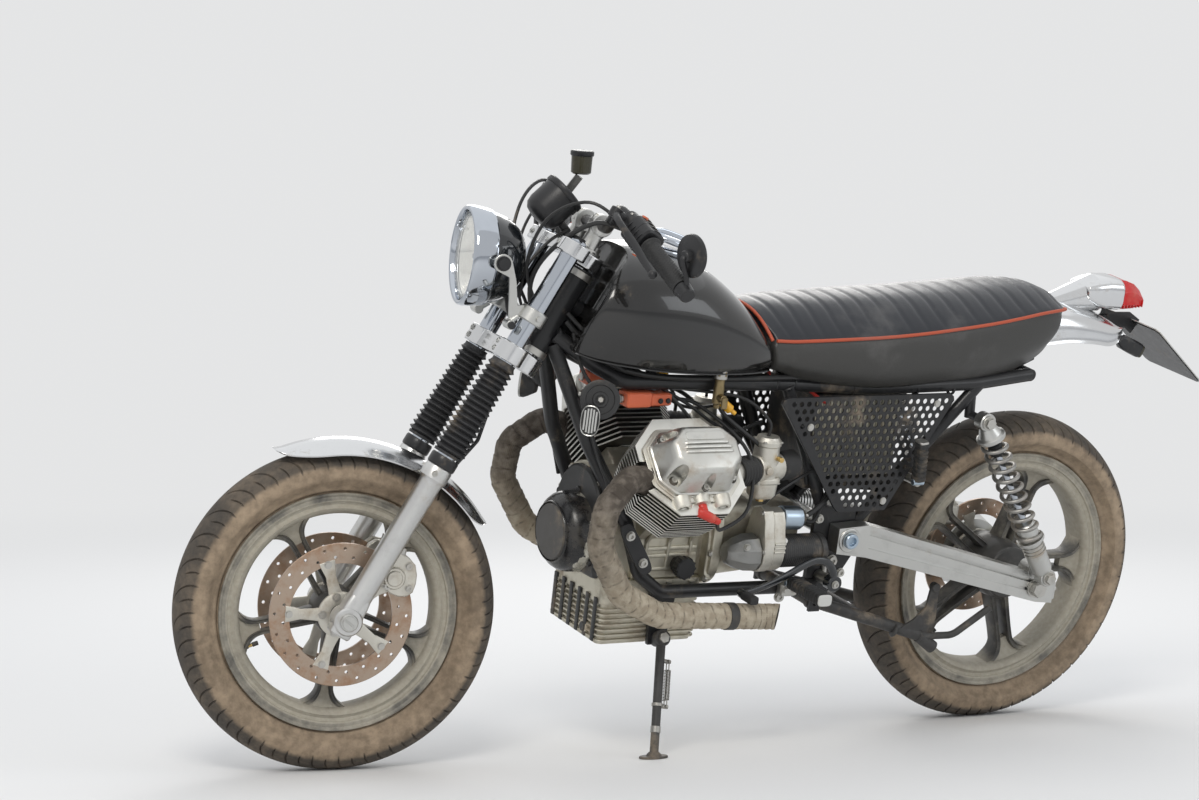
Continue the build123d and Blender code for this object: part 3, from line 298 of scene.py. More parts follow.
def into_scene(name, mesh, finishes, body, node=None, angle=SHARP):
    """Links a finished mesh, gives it its materials and says what it rides on and stands for."""
    made = bpy.data.objects.new(name, mesh)
    bpy.context.scene.collection.objects.link(made)
    index = [face.material_index for face in mesh.polygons]
    mesh.materials.clear()
    for finish in finishes.split():
        mesh.materials.append(FINISH[finish])
    mesh.polygons.foreach_set("material_index", index)
    mesh.shade_smooth()
    mesh.set_sharp_from_angle(angle=radians(angle))
    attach(made, body)
    if node:
        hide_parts(node)
    return made


def welded(mesh, distance=WELD):
    """Joins the points of a mesh that lie together and turns its faces outward."""
    work = bmesh.new()
    work.from_mesh(mesh)
    if distance:
        bmesh.ops.remove_doubles(work, verts=work.verts, dist=distance)
    bmesh.ops.recalc_face_normals(work, faces=work.faces)
    work.to_mesh(mesh)
    work.free()


def build(name, shape, finishes, node=None, body="root", angle=SHARP, bevel=0):
    """Turns a shape into a finished piece."""
    mesh = bpy.data.meshes.new(name)
    mesh.from_pydata(shape.points, [], shape.faces)
    mesh.polygons.foreach_set("material_index", shape.finish)
    uv = mesh.uv_layers.new(name="length")
    uv.data.foreach_set("uv", [c for face in shape.uv for pair in face for c in pair])
    mark = mesh.attributes.new("mark", "FLOAT", "POINT")
    mark.data.foreach_set("value", shape.marks)
    welded(mesh)
    place(mesh, body)
    made = into_scene(name, mesh, finishes, body, node, angle)
    if bevel:
        round_edges(made, bevel)
    return made


def round_edges(made, width):
    """Eases the sharp edges of a piece with a live bevel."""
    edge = made.modifiers.new("Eased edges", "BEVEL")
    edge.width = width * MM
    edge.segments = 2
    edge.limit_method = "ANGLE"
    edge.angle_limit = radians(SHARP)
    edge.harden_normals = False


def dressed(name, node, finishes, width, body="root", pick=None):
    """A copy of a node's own form with its edges eased, which then stands for it."""
    mesh = frame["nodes"][node].data.copy()
    work = bmesh.new()
    work.from_mesh(mesh)
    bmesh.ops.remove_doubles(work, verts=work.verts, dist=2e-5)
    bmesh.ops.dissolve_limit(work, angle_limit=radians(1.2), verts=work.verts, edges=work.edges)
    for face in work.faces:
        face.material_index = pick(BIKE.inverted() @ face.calc_center_median(), face) if pick else 0
    work.to_mesh(mesh)
    work.free()
    round_edges(into_scene(name, mesh, finishes, body, node), width)


def refinish(finish, *nodes):
    """Gives nodes that keep their own form a material."""
    for node in nodes:
        slots = frame["nodes"][node].data.materials
        slots.clear()
        slots.append(FINISH[finish])


# Finishes

FINISH = {}
TREES = {}


class Socket:
    """A node's output, used in Python expressions that add the Math nodes they need."""

    def __init__(self, owner, output):
        self.owner = owner
        self.output = output

    def math(self, operation, *values):
        return self.owner.node("ShaderNodeMath", {"operation": operation}, dict(enumerate(values)))

    def __add__(self, other):
        return self.math("ADD", self, other)

    def __sub__(self, other):
        return self.math("SUBTRACT", self, other)

    def __mul__(self, other):
        return self.math("MULTIPLY", self, other)

    def __truediv__(self, other):
        return self.math("DIVIDE", self, other)

    def __rsub__(self, other):
        return self.math("SUBTRACT", other, self)

    def __rtruediv__(self, other):
        return self.math("DIVIDE", other, self)

    __radd__ = __add__
    __rmul__ = __mul__

    def between(self, low, high):
        """0 under low, 1 over high and a smooth step between them."""
        return self.owner.node("ShaderNodeMapRange", {"interpolation_type": "SMOOTHSTEP", "clamp": True},
            {"Value": self, "From Min": low, "From Max": high})


class Tree:
    """A node tree in the making."""

    def __init__(self, tree):
        self.tree = tree

    def feed(self, node, name, value):
        """Links a socket to a node's input, or sets the input to a value."""
        if isinstance(value, Socket):
            self.tree.links.new(value.output, node.inputs[name])
        else:
            node.inputs[name].default_value = value

    def add(self, kind, settings=None, values=None):
        """Any node: its settings first, then the values or links of its inputs."""
        made = self.tree.nodes.new(kind)
        for setting, value in (settings or {}).items():
            setattr(made, setting, value)
        for name, value in (values or {}).items():
            self.feed(made, name, value)
        return made

    def node(self, kind, settings=None, values=None, output=0):
        """One output of a new node."""
        return Socket(self, self.add(kind, settings, values).outputs[output])


class Finish(Tree):
    """A material whose colour, roughness and bump are written as expressions."""

    def __init__(self, name, **constants):
        self.material = bpy.data.materials.new(name)
        self.material.use_nodes = True
        super().__init__(self.material.node_tree)
        self.tree.nodes.clear()
        self.shader = self.add("ShaderNodeBsdfPrincipled")
        self.sheet = self.add("ShaderNodeOutputMaterial", None, {"Surface": Socket(self, self.shader.outputs[0])})
        for name, value in constants.items():
            self.feed(self.shader, name.replace("_", " "), value)
        self.where = self.node("ShaderNodeTexCoord", output="Object")

    def noise(self, scale, detail=4, rough=0.55, stretch=None):
        """Cloudy noise between 0 and 1, in repeats per metre."""
        place = self.where
        if stretch:
            place = self.node("ShaderNodeVectorMath", {"operation": "MULTIPLY"}, {0: place, 1: stretch})
        return self.node("ShaderNodeTexNoise", None, {"Vector": place, "Scale": scale, "Detail": detail,
            "Roughness": rough})

    def cells(self, scale):
        """Distance to the nearest of scattered points."""
        return self.node("ShaderNodeTexVoronoi", None, {"Vector": self.where, "Scale": scale}, "Distance")

    def mark(self):
        """The value that the piece's own mesh holds for each point."""
        return self.node("ShaderNodeAttribute", {"attribute_name": "mark"}, None, "Fac")

    def mix(self, share, first, second):
        """One colour over another."""
        return self.node("ShaderNodeMix", {"data_type": "RGBA"}, {0: share, 6: first, 7: second}, 2)

    def surface(self, colour=None, rough=None, metal=None, bump=None, depth=0.0004, alpha=None, coat=None):
        """Feeds the shader and gives the material back."""
        for name, value in (("Base Color", colour), ("Roughness", rough), ("Metallic", metal), ("Alpha", alpha),
                ("Coat Weight", coat)):
            if value is not None:
                self.feed(self.shader, name, value)
        if bump is not None:
            relief = self.node("ShaderNodeBump", None, {"Distance": depth, "Height": bump, "Strength": 1.0}, "Normal")
            self.feed(self.shader, "Normal", relief)
        return self.material


def rgb(red, green, blue):
    return (red, green, blue, 1.0)


DUST = rgb(0.36, 0.285, 0.2)


def dusty(finish, colour, amount, scale=14.0):
    """A colour with road dust lying on it in clouds, and the share of dust."""
    cloud = finish.noise(scale, 6, 0.65).between(0.62 - amount * 0.4, 0.95 - amount * 0.35)
    return finish.mix(cloud, colour, DUST), cloud


def painted(name, colour, rough, dust=0.25, coat=0.0, flake=0.1):
    """Paint with fine scratches, dust and uneven gloss."""
    f = Finish(name, Coat_Roughness=0.04, IOR=1.5, Specular_IOR_Level=0.3)
    tint, cloud = dusty(f, f.mix(f.noise(60, 3) * flake, colour, rgb(0.12, 0.12, 0.12)), dust)
    scratch = f.noise(420, 2, 0.5, stretch=(1.0, 6.0, 0.7))
    return f.surface(tint, cloud * 0.35 + f.noise(35, 5) * 0.12 + (rough - 0.06) + scratch * 0.04, 0.0, scratch,
        0.00002, coat=coat - cloud * coat)


def metal(name, colour, rough, dust=0.15, worn=0.1, grain=0.0, cast=0.0):
    """Bare metal: polished, machined or cast, by how rough and grainy it is."""
    f = Finish(name)
    stain = f.noise(22, 6, 0.62).between(0.5, 0.85)
    dull = f.mix(stain * worn * 4.0, colour, rgb(*(c * 0.55 for c in colour[:3])))
    tint, cloud = dusty(f, dull, dust, 18.0)
    fine = f.noise(900 if cast else 300, 3, 0.6, stretch=(1, 1, 8) if grain else None)
    bump = fine * (1.0 if cast else 0.25) + f.noise(40, 3) * 0.3
    return f.surface(tint, stain * worn + cloud * 0.4 + fine * 0.08 + (rough - 0.03), 1.0 - cloud * 0.8, bump,
        0.00025 * cast + 0.00003)


def moulded(name, colour, rough, grain=700, depth=0.0001, dust=0.2):
    """Plastic or rubber with a fine moulded grain and some dust."""
    f = Finish(name, IOR=1.45)
    tint, cloud = dusty(f, f.mix(f.noise(30, 4) * 0.25, colour, rgb(*(min(1, c * 2.2 + 0.012) for c in colour[:3]))),
        dust)
    return f.surface(tint, cloud * 0.2 + f.noise(50, 4) * 0.15 + (rough - 0.08), 0.0, f.noise(grain, 3, 0.6), depth)


def tyre_rubber():
    """Dark tread with clouds of dust, and sidewalls brown with road dust."""
    f = Finish("Tyre rubber", IOR=1.4)
    wall = 1.0 - f.mark()
    cloud = f.noise(9, 6, 0.65)
    streak = f.noise(60, 5, 0.6)
    share = (wall * 0.75 + cloud * 0.5 + streak * 0.25 - 0.12).between(0.06, 0.9)
    base = f.mix(f.noise(180, 4), rgb(0.032, 0.029, 0.027), rgb(0.09, 0.08, 0.068))
    soil = f.mix((cloud * 0.6 + streak * 0.5).between(0.35, 0.8), rgb(0.19, 0.142, 0.096), rgb(0.46, 0.35, 0.24))
    return f.surface(f.mix(share * 0.85, base, soil), 0.72 + f.noise(90, 3) * 0.2, 0.0, f.noise(700, 4, 0.7) * 0.6
        + streak * 0.4, 0.0003)


def cast_wheel():
    """Grey cast spokes under a film of dust that thickens in the corners."""
    f = Finish("Cast wheel paint", IOR=1.45)
    cloud = f.noise(16, 6, 0.65)
    share = (cloud + f.mark() * 0.6 - 0.2).between(0.3, 0.85)
    paint = f.mix(f.noise(45, 4), rgb(0.03, 0.03, 0.031), rgb(0.085, 0.082, 0.075))
    soil = f.mix(f.noise(110, 4), rgb(0.3, 0.27, 0.21), rgb(0.47, 0.44, 0.37))
    return f.surface(f.mix(share, paint, soil), share * 0.3 + 0.42, 0.15, f.noise(600, 3), 0.0001)


def disc_steel():
    """Brake steel with a brown film, darker spots and a faint grain."""
    f = Finish("Brake disc steel")
    rust = f.noise(26, 6, 0.7).between(0.42, 0.75)
    tint = f.mix(rust, rgb(0.42, 0.33, 0.26), rgb(0.33, 0.19, 0.11))
    spots = f.noise(240, 4, 0.7).between(0.6, 0.8)
    return f.surface(f.mix(spots * 0.5, tint, rgb(0.2, 0.1, 0.05)), rust * 0.25 + 0.33, 0.85 - rust * 0.4,
        f.noise(500, 3), 0.00008)


def wrap_tape():
    """Woven heat tape: threads along and across, scorched near the port and dusty at its end, with painted shade along
    the edge of each turn.
    """
    f = Finish("Heat wrap", IOR=1.4)
    uv = f.node("ShaderNodeUVMap", {"uv_map": "length"})
    run = f.node("ShaderNodeSeparateXYZ", None, {0: uv}, "X")
    round_about = f.node("ShaderNodeSeparateXYZ", None, {0: uv}, "Y")
    warp = run.math("SINE", run * 3.6) * 0.5 + 0.5
    weft = run.math("SINE", round_about * 2 * pi * 44) * 0.5 + 0.5
    weave = warp * weft
    fuzz = f.noise(420, 5, 0.7)
    turns = f.noise(60, 3, 0.5)
    scorch = (1.0 - (run / 520.0)) + f.noise(18, 5, 0.6) * 0.5
    pale = f.mix(turns.between(0.35, 0.7), rgb(0.37, 0.31, 0.23), tuple(chosen().wrap_colour))
    dark = f.mix(turns.between(0.35, 0.7), rgb(0.075, 0.062, 0.05), rgb(0.17, 0.145, 0.12))
    tint = f.mix(scorch.between(0.45, 1.15), pale, dark)
    tint = f.mix(fuzz.between(0.55, 0.8) * 0.5, tint, rgb(0.06, 0.045, 0.03))
    # Painted shade: the mark darkens the tape along the edge of each turn, where it steps over the next, and also
    # darkens the lip at the cut end
    tint = f.mix(f.mark() * 0.7, tint, rgb(0.04, 0.03, 0.025))
    return f.surface(tint, 0.9, 0.0, weave * 0.7 + fuzz * 0.5, 0.0009)


def leather(name, colour, creases=1.0, rough=0.42):
    """Black leather: pebbled grain, creases, and dull, dusty wear whose lighter patches are partly painted sheen."""
    f = Finish(name, IOR=1.48)
    grain = f.cells(520) * 0.7 + f.noise(1300, 3) * 0.3
    crease = f.noise(34, 5, 0.6, stretch=(1.0, 1.0, 2.4))
    wear_and_sheen = f.noise(11, 6, 0.62).between(0.5, 0.8)
    # The lighter tone is worn, dusty leather and partly painted sheen
    tint = f.mix(wear_and_sheen * 0.35, colour, rgb(0.16, 0.155, 0.15))
    return f.surface(tint, wear_and_sheen * 0.18 + f.noise(140, 3) * 0.1 + (rough - 0.05), 0.0, grain * 0.5 + crease * creases,
        0.0005)


def lens_glass(name, colour, alpha):
    """Thin clear cover: mostly see-through, with a film of dust."""
    f = Finish(name, IOR=1.5, Roughness=0.05)
    film = f.noise(30, 5, 0.6).between(0.45, 0.9)
    return f.surface(f.mix(film * 0.4, colour, DUST), film * 0.2 + 0.04, 0.0, alpha=film * 0.15 + alpha)


def worn_cover():
    """Black cover whose paint has flaked to the pale alloy on one side of its rim."""
    f = Finish("Worn black cover", IOR=1.5)
    flake = (f.noise(9, 5, 0.6) + f.noise(60, 4) * 0.2 + f.mark() * 0.5).between(0.98, 1.01)
    soot = f.noise(24, 6, 0.65).between(0.4, 0.8)
    paint = f.mix(soot * 0.6, rgb(0.013, 0.013, 0.014), rgb(0.12, 0.105, 0.08))
    return f.surface(f.mix(flake, paint, rgb(0.52, 0.5, 0.43)), soot * 0.3 + 0.22, flake * 0.6,
        f.noise(500, 3) * 0.3 - flake * 0.6, 0.0002)


def make_finishes():
    """Every finish of the motorcycle, by a plain name."""
    FINISH.update(
        tyre=tyre_rubber(),
        wheel=cast_wheel(),
        disc=disc_steel(),
        wrap=wrap_tape(),
        cast=metal("Cast alloy", rgb(0.62, 0.6, 0.54), 0.46, dust=0.34, worn=0.16, cast=1.0),
        block=metal("Engine casting", rgb(0.6, 0.57, 0.48), 0.5, dust=0.42, worn=0.2, cast=1.0),
        slider=metal("Fork slider alloy", rgb(0.6, 0.6, 0.59), 0.34, dust=0.16, worn=0.12, grain=1.0),
        machined=metal("Machined alloy", rgb(0.54, 0.54, 0.52), 0.34, dust=0.12, worn=0.12, grain=1.0),
        polished=metal("Polished alloy", rgb(0.66, 0.665, 0.67), 0.15, dust=0.1, worn=0.06),
        # The blue tint of the chrome is a painted reflection of the sky
        chrome=metal("Chrome plate", rgb(0.47, 0.5, 0.545), 0.07, dust=0.06, worn=0.05),
        steel=metal("Bare steel", rgb(0.5, 0.49, 0.46), 0.36, dust=0.25, worn=0.2),
        spring=metal("Spring steel", rgb(0.34, 0.33, 0.31), 0.4, dust=0.3, worn=0.2),
        zinc=metal("Zinc plate", rgb(0.42, 0.5, 0.58), 0.3, dust=0.2, worn=0.2),
        brass=metal("Brass", rgb(0.6, 0.42, 0.16), 0.32, dust=0.2, worn=0.2),
        tank=painted("Tank enamel", tuple(chosen().tank_colour), 0.2, dust=0.05, coat=0.85, flake=0.03),
        black=painted("Satin black paint", tuple(chosen().frame_colour), 0.36, dust=0.16, coat=0.15),
        stand=painted("Worn black paint", rgb(0.03, 0.028, 0.026), 0.5, dust=0.36, coat=0.0, flake=0.5),
        bucket=painted("Lamp enamel", rgb(0.008, 0.01, 0.012), 0.14, dust=0.04, coat=1.0, flake=0.02),
        rubber=moulded("Matt rubber", rgb(0.018, 0.018, 0.018), 0.6, 500, 0.0002, dust=0.18),
        boot=moulded("Gaiter rubber", rgb(0.02, 0.02, 0.021), 0.5, 300, 0.0001, dust=0.2),
        plastic=moulded("Black plastic", rgb(0.014, 0.014, 0.015), 0.38, dust=0.12),
        cover=moulded("Sooty cover", rgb(0.022, 0.022, 0.022), 0.42, dust=0.34),
        orange=moulded("Orange plastic", rgb(0.62, 0.13, 0.06), 0.38, dust=0.14),
        red_cap=moulded("Red cap rubber", rgb(0.5, 0.03, 0.02), 0.35, dust=0.1),
        cable=moulded("Cable sheath", rgb(0.014, 0.014, 0.014), 0.42, dust=0.1),
        plate=painted("Blank plate", rgb(0.6, 0.6, 0.57), 0.4, dust=0.3),
        seat_top=leather("Pleated leather", tuple(chosen().seat_colour), 0.35, 0.34),
        # The side leather is lighter than the top as painted sheen on the sides
        seat_side=leather("Side leather", rgb(0.04, 0.039, 0.036), 0.8, 0.42),
        piping=leather("Red piping", tuple(chosen().piping_colour), 0.3, 0.5),
        glass=lens_glass("Lamp glass", rgb(0.9, 0.9, 0.86), 0.2),
        red_lens=lens_glass("Red lens", rgb(0.62, 0.012, 0.012), 0.86),
        filter=moulded("Filter paper", rgb(0.5, 0.47, 0.38), 0.85, dust=0.3),
        steel_dark=metal("Dark casting", rgb(0.3, 0.3, 0.29), 0.42, dust=0.3, worn=0.2, cast=1.0),
        worn_cover=worn_cover(),
        soot=moulded("Soot", rgb(0.012, 0.011, 0.01), 0.85, dust=0.05),
        dusty_face=painted("Dusty dark face", rgb(0.06, 0.055, 0.048), 0.45, dust=0.3, coat=0.1, flake=0.4),
        lid=metal("Rocker lid alloy", rgb(0.6, 0.595, 0.56), 0.36, dust=0.26, worn=0.14, cast=0.5),
        # Lit and shaded copies of the cylinders' casting: painted shade in the fin gaps and the rocker lids' screw
        # pockets, painted highlight on the fin edges
        fin_gap=metal("Sooty fin gaps", rgb(0.1, 0.095, 0.085), 0.6, dust=0.25, worn=0.2, cast=1.0),
        fin_edge=metal("Bright fin edges", rgb(0.78, 0.77, 0.72), 0.34, dust=0.22, worn=0.12, cast=0.5),
        brass_dull=metal("Dull brass", rgb(0.28, 0.22, 0.12), 0.45, dust=0.35, worn=0.3),
        amber=moulded("Amber filter", rgb(0.75, 0.36, 0.03), 0.2, dust=0.05),
        smoke=moulded("Smoked plastic", rgb(0.035, 0.032, 0.018), 0.16, dust=0.03),
        dial=moulded("Dial face", rgb(0.03, 0.03, 0.03), 0.6, dust=0.02),
        reflector=metal("Lamp reflector", rgb(0.93, 0.92, 0.88), 0.1, dust=0.02, worn=0.02),
        mirror_glass=metal("Mirror glass", rgb(0.8, 0.82, 0.84), 0.04, dust=0.02, worn=0.01))


# Wheels

FRONT_WHEEL = {"name": "front", "body": "front_wheel", "centre": FRONT_AXLE, "tyre_r": 293, "tyre_w": 100,
    "rim_r": 217, "rim_w": 70, "hub_r": 36, "hub_half": 49, "spoke": 1.0}
REAR_WHEEL = {"name": "rear", "body": "rear_wheel", "centre": vec(0, 0, 0), "tyre_r": 316, "tyre_w": 112,
    "rim_r": 242.5, "rim_w": 80, "hub_r": 52, "hub_half": 59, "spoke": 1.35}
FLANGE = 13


def wheel_point(wheel, radius, angle, across=0.0, beside=0.0):
    """A point of a wheel by its radius, angle, place across it and shift beside the radius."""
    out = vec(cos(angle), 0, sin(angle))
    round_about = vec(-sin(angle), 0, cos(angle))
    return wheel["centre"] + out * radius + round_about * beside + SIDE * across


def tyre_section(wheel):
    """The outside of a tyre from bead to bead: (across, radius, share of the tread from its middle)."""
    r, half = wheel["tyre_r"], wheel["tyre_w"] / 2
    lip = wheel["rim_w"] / 2 - 9
    chord = half - 3
    crown = (chord ** 2 + 24 ** 2) / 48
    reach = asin(chord / crown)
    tread = [(crown * sin(reach * a), r - crown + crown * cos(reach * a), a) for a in (0, 0.07, 0.14, 0.21, 0.28,
        0.36, 0.44, 0.52, 0.6, 0.68, 0.76, 0.84, 0.91, 0.97, 1.0)]
    wall = along_curve([(half - 3, 0, r - 24), (half - 0.2, 0, r - 38), (half - 1, 0, r - 50),
        (lip + 9, 0, wheel["rim_r"] + 12), (lip + 5, 0, wheel["rim_r"] + 5), (lip, 0, wheel["rim_r"] + 1)], 3)[1:]
    side = tread + [(p.x, p.z, 1 + (n + 1) / len(wall)) for n, p in enumerate(wall)]
    return [(-y, radius, a) for y, radius, a in reversed(side[1:])] + side


TREAD_PITCHES = 35
SPOKE_PAIRS = 5


def make_tyre(wheel):
    """A tyre with a pair of curved grooves in each pitch of its tread."""
    section = tyre_section(wheel)
    depth = chosen().tread_depth / MM
    seat = wheel["rim_r"] - FLANGE + 0.5
    lip = wheel["rim_w"] / 2 - 9
    bead = [(lip, seat), (-lip, seat)]
    # Where the columns of one pitch stand, and the groove they lie in: 0 none, 1 long, 2 short
    columns = [(0.06, 0), (0.085, 1), (0.125, 1), (0.15, 0), (0.3, 0), (0.45, 0), (0.56, 0), (0.582, 2), (0.618, 2),
        (0.64, 0), (0.8, 0), (0.94, 0)]
    shape = Shape()
    rings, marks = [], []
    for n in range(TREAD_PITCHES):
        for phase, groove in columns:
            ring, ring_marks = [], []
            for y, radius, a in section:
                share = abs(a)
                skew = 0.15 * (1 - (1 - min(share, 1)) ** 2) + 0.012 * max(0, share - 1)
                angle = 2 * pi * (n + phase) / TREAD_PITCHES + skew
                start, end = ((0.1, 1.12), (0.5, 1.04))[groove == 2]
                cut = depth * ease((share - start) / 0.1) * ease((end - share) / 0.08) if groove else 0
                rib = 0.5 * (1 if 1.45 < share < 1.52 or 1.72 < share < 1.8 else 0)
                ring.append(wheel_point(wheel, radius - cut + rib, angle, y))
                ring_marks.append(min(1, max(0, 1.15 - share)) * 6 if share > 0.97 else 1.0)
            for y, radius in bead:
                ring.append(wheel_point(wheel, radius, 2 * pi * (n + phase) / TREAD_PITCHES, y))
                ring_marks.append(0.0)
            rings.append(ring)
            marks.append([min(1.0, m) for m in ring_marks])
    shape.skin(rings, closed=True, marks=marks)
    build(wheel["name"] + "_tread", shape, "tyre", wheel["name"] + "_tyre", wheel["body"], 28)


def rim_section(wheel):
    """Half of a rim's section, from its middle out to the lip, as (across, radius)."""
    half, r = wheel["rim_w"] / 2, wheel["rim_r"]
    return [(0, r - 40.5), (half - 14, r - 39), (half - 9, r - 36), (half - 6, r - 32), (half - 4.5, r - 28.5),
        (half - 6.5, r - 26), (half - 8.5, r - 22), (half - 7, r - 17), (half - 3.5, r - 15.5), (half - 2.5, r - 12),
        (half - 3, r - 7), (half - 1.2, r - 4.5), (half, r - 2.6), (half, r - 0.8), (half - 1.2, r), (half - 4, r),
        (half - 5, r - 1.5), (half - 9, r - 13), (half - 17, r - 18), (11, r - 27), (0, r - 27)]


SPOKE_SECTION = [(-0.5, -0.32), (-0.5, 0.32), (-0.34, 0.5), (-0.12, 0.42), (0.12, 0.42), (0.34, 0.5), (0.5, 0.32),
    (0.5, -0.32), (0.34, -0.5), (0.12, -0.42), (-0.12, -0.42), (-0.34, -0.5)]


def make_rim(wheel, first):
    """A cast wheel: rim, hub and pairs of spokes that part into horns at the rim."""
    shape = Shape()
    side = rim_section(wheel)
    profile = side + [(-y, r) for y, r in reversed(side[1:-1])]
    marks = [0.9 if r < wheel["rim_r"] - 14 else 0.5 for y, r in profile]
    shape.turned(wheel["centre"], SIDE, profile, 128, 0, marks)
    hub, half = wheel["hub_r"], wheel["hub_half"]
    shape.turned(wheel["centre"], SIDE, [(-half, 9), (-half, hub - 3), (-half + 3, hub), (-half + 12, hub),
        (-half + 18, hub + 5), (-12, hub + 8), (12, hub + 8), (half - 18, hub + 5), (half - 12, hub), (half - 3, hub),
        (half, hub - 3), (half, 9)], 64, 0)
    bed = wheel["rim_r"] - 40
    k = wheel["spoke"]
    for n in range(SPOKE_PAIRS):
        angle = radians(first + 360 * n / SPOKE_PAIRS)
        for s in (1, -1):
            stations = [(hub + 2, 11, 11, 30), (hub + 22, 11, 10, 27), (lerp(hub, bed, 0.45), 10.5, 9, 25),
                (bed - 42, 10.5, 8.5, 25), (bed - 28, 12, 9, 26), (bed - 16, 17, 10.5, 29), (bed - 7, 26, 10, 32),
                (bed - 2.5, 36, 7, 32), (bed + 1, 45, 3, 28)]
            path = along_curve([wheel_point(wheel, r, angle, 0, s * t * k) for r, t, w, h in stations], 4)
            sizes = along_curve([(w * k, h * k, 0) for r, t, w, h in stations], 4)
            marks = [[0.15 + 0.6 * ease((i / len(path) - 0.55) / 0.4)] * len(SPOKE_SECTION) for i in range(len(path))]
            shape.sweep(path, SPOKE_SECTION, 0, hint=SIDE, scale=[(q.x, q.y) for q in sizes], marks=marks)
        # The web between the two where they part
        rings = []
        for r, t, h in ((bed - 38, 7, 6), (bed - 24, 9, 8), (bed - 12, 16, 10), (bed - 4, 28, 13), (bed + 2, 40, 16)):
            rings.append([wheel_point(wheel, r, angle, y * h * k, b * t * k) for y, b in ((-1, -1), (-1, 1), (1, 1),
                (1, -1))])
        shape.skin(rings, marks=[[0.8] * 4] * 5)
    build(wheel["name"] + "_cast_wheel", shape, "wheel", wheel["name"] + "_rim", wheel["body"], 40)
    # Tyre valve
    valve = Shape()
    angle = radians(first + 62)
    a = wheel_point(wheel, bed + 2, angle, 6)
    b = wheel_point(wheel, bed - 26, angle, 12)
    valve.rods(
        (a, a.lerp(b, 0.35), 5.5, 4.5, 0, 16, 0.5),
        (a.lerp(b, 0.3), a.lerp(b, 0.8), 3.2, 3.2, 1, 12, 0.3),
        (a.lerp(b, 0.62), b, 4.2, 4.0, 0, 12, 0.5))
    build(wheel["name"] + "_valve", valve, "rubber brass", body=wheel["body"])


class Field(Tree):
    """A Geometry Nodes tree in the making, with inputs of given kinds and a material."""

    def __init__(self, name, **inputs):
        super().__init__(bpy.data.node_groups.new(name, "GeometryNodeTree"))
        for way in ("INPUT", "OUTPUT"):
            self.tree.interface.new_socket("Geometry", in_out=way, socket_type="NodeSocketGeometry")
        for title, kind in {**inputs, "Material": "Material"}.items():
            self.tree.interface.new_socket(title.replace("_", " "), in_out="INPUT", socket_type="NodeSocket" + kind)
        self.inputs = self.add("NodeGroupInput")

    def given(self, name):
        """One of the tree's own inputs."""
        return Socket(self, self.inputs.outputs[name])

    def cylinder(self, sides, radius, depth):
        return self.node("GeometryNodeMeshCylinder", None, {"Vertices": sides, "Radius": radius, "Depth": depth})

    def held(self, name, kind):
        """What each point holds under a name."""
        return self.node("GeometryNodeInputNamedAttribute", {"data_type": kind}, {"Name": name})

    def scatter(self, points, piece, scale=(1, 1, 1)):
        """The piece on every point of a mesh, turned to the point's direction."""
        aim = self.node("FunctionNodeAlignRotationToVector", {"axis": "Z"},
            {"Vector": self.held("facing", "FLOAT_VECTOR")})
        cloud = self.node("GeometryNodeMeshToPoints", None, {"Mesh": points})
        return self.node("GeometryNodeInstanceOnPoints", None, {"Points": cloud, "Instance": piece, "Rotation": aim,
            "Scale": scale})

    def ended(self, geometry):
        """Makes the instances real, sets their material and gives the tree."""
        real = self.node("GeometryNodeRealizeInstances", None, {"Geometry": geometry})
        coat = self.node("GeometryNodeSetMaterial", None, {"Geometry": real, "Material": self.given("Material")})
        self.add("NodeGroupOutput", None, {0: coat})
        return self.tree


def run_field(name, tree, mesh, finish, values):
    """Runs a tree on a mesh with its inputs set by name, and gives the plain mesh that it makes."""
    host = bpy.data.objects.new(name + "_source", mesh)
    bpy.context.scene.collection.objects.link(host)
    modifier = host.modifiers.new("Nodes", "NODES")
    modifier.node_group = tree
    wanted = {"Material": FINISH[finish], **values}
    for item in tree.interface.items_tree:
        if item.item_type == "SOCKET" and item.in_out == "INPUT" and item.name in wanted:
            modifier[item.identifier] = wanted.pop(item.name)
    if wanted:
        raise ValueError(f"{tree.name} has no input named {sorted(wanted)}")
    evaluated = host.evaluated_get(bpy.context.evaluated_depsgraph_get())
    made = bpy.data.meshes.new_from_object(evaluated)
    host.modifiers.remove(modifier)
    bpy.data.objects.remove(host)
    made.name = name
    return made


def points_mesh(name, spots):
    """A mesh of loose points that hold their direction and size, for the trees that set pieces on them."""
    mesh = bpy.data.meshes.new(name)
    mesh.from_pydata([p for p, d, s in spots], [], [])
    facing = mesh.attributes.new("facing", "FLOAT_VECTOR", "POINT")
    facing.data.foreach_set("vector", [c for p, d, s in spots for c in Vector(d).normalized()])
    size = mesh.attributes.new("size", "FLOAT", "POINT")
    size.data.foreach_set("value", [float(s) for p, d, s in spots])
    return mesh


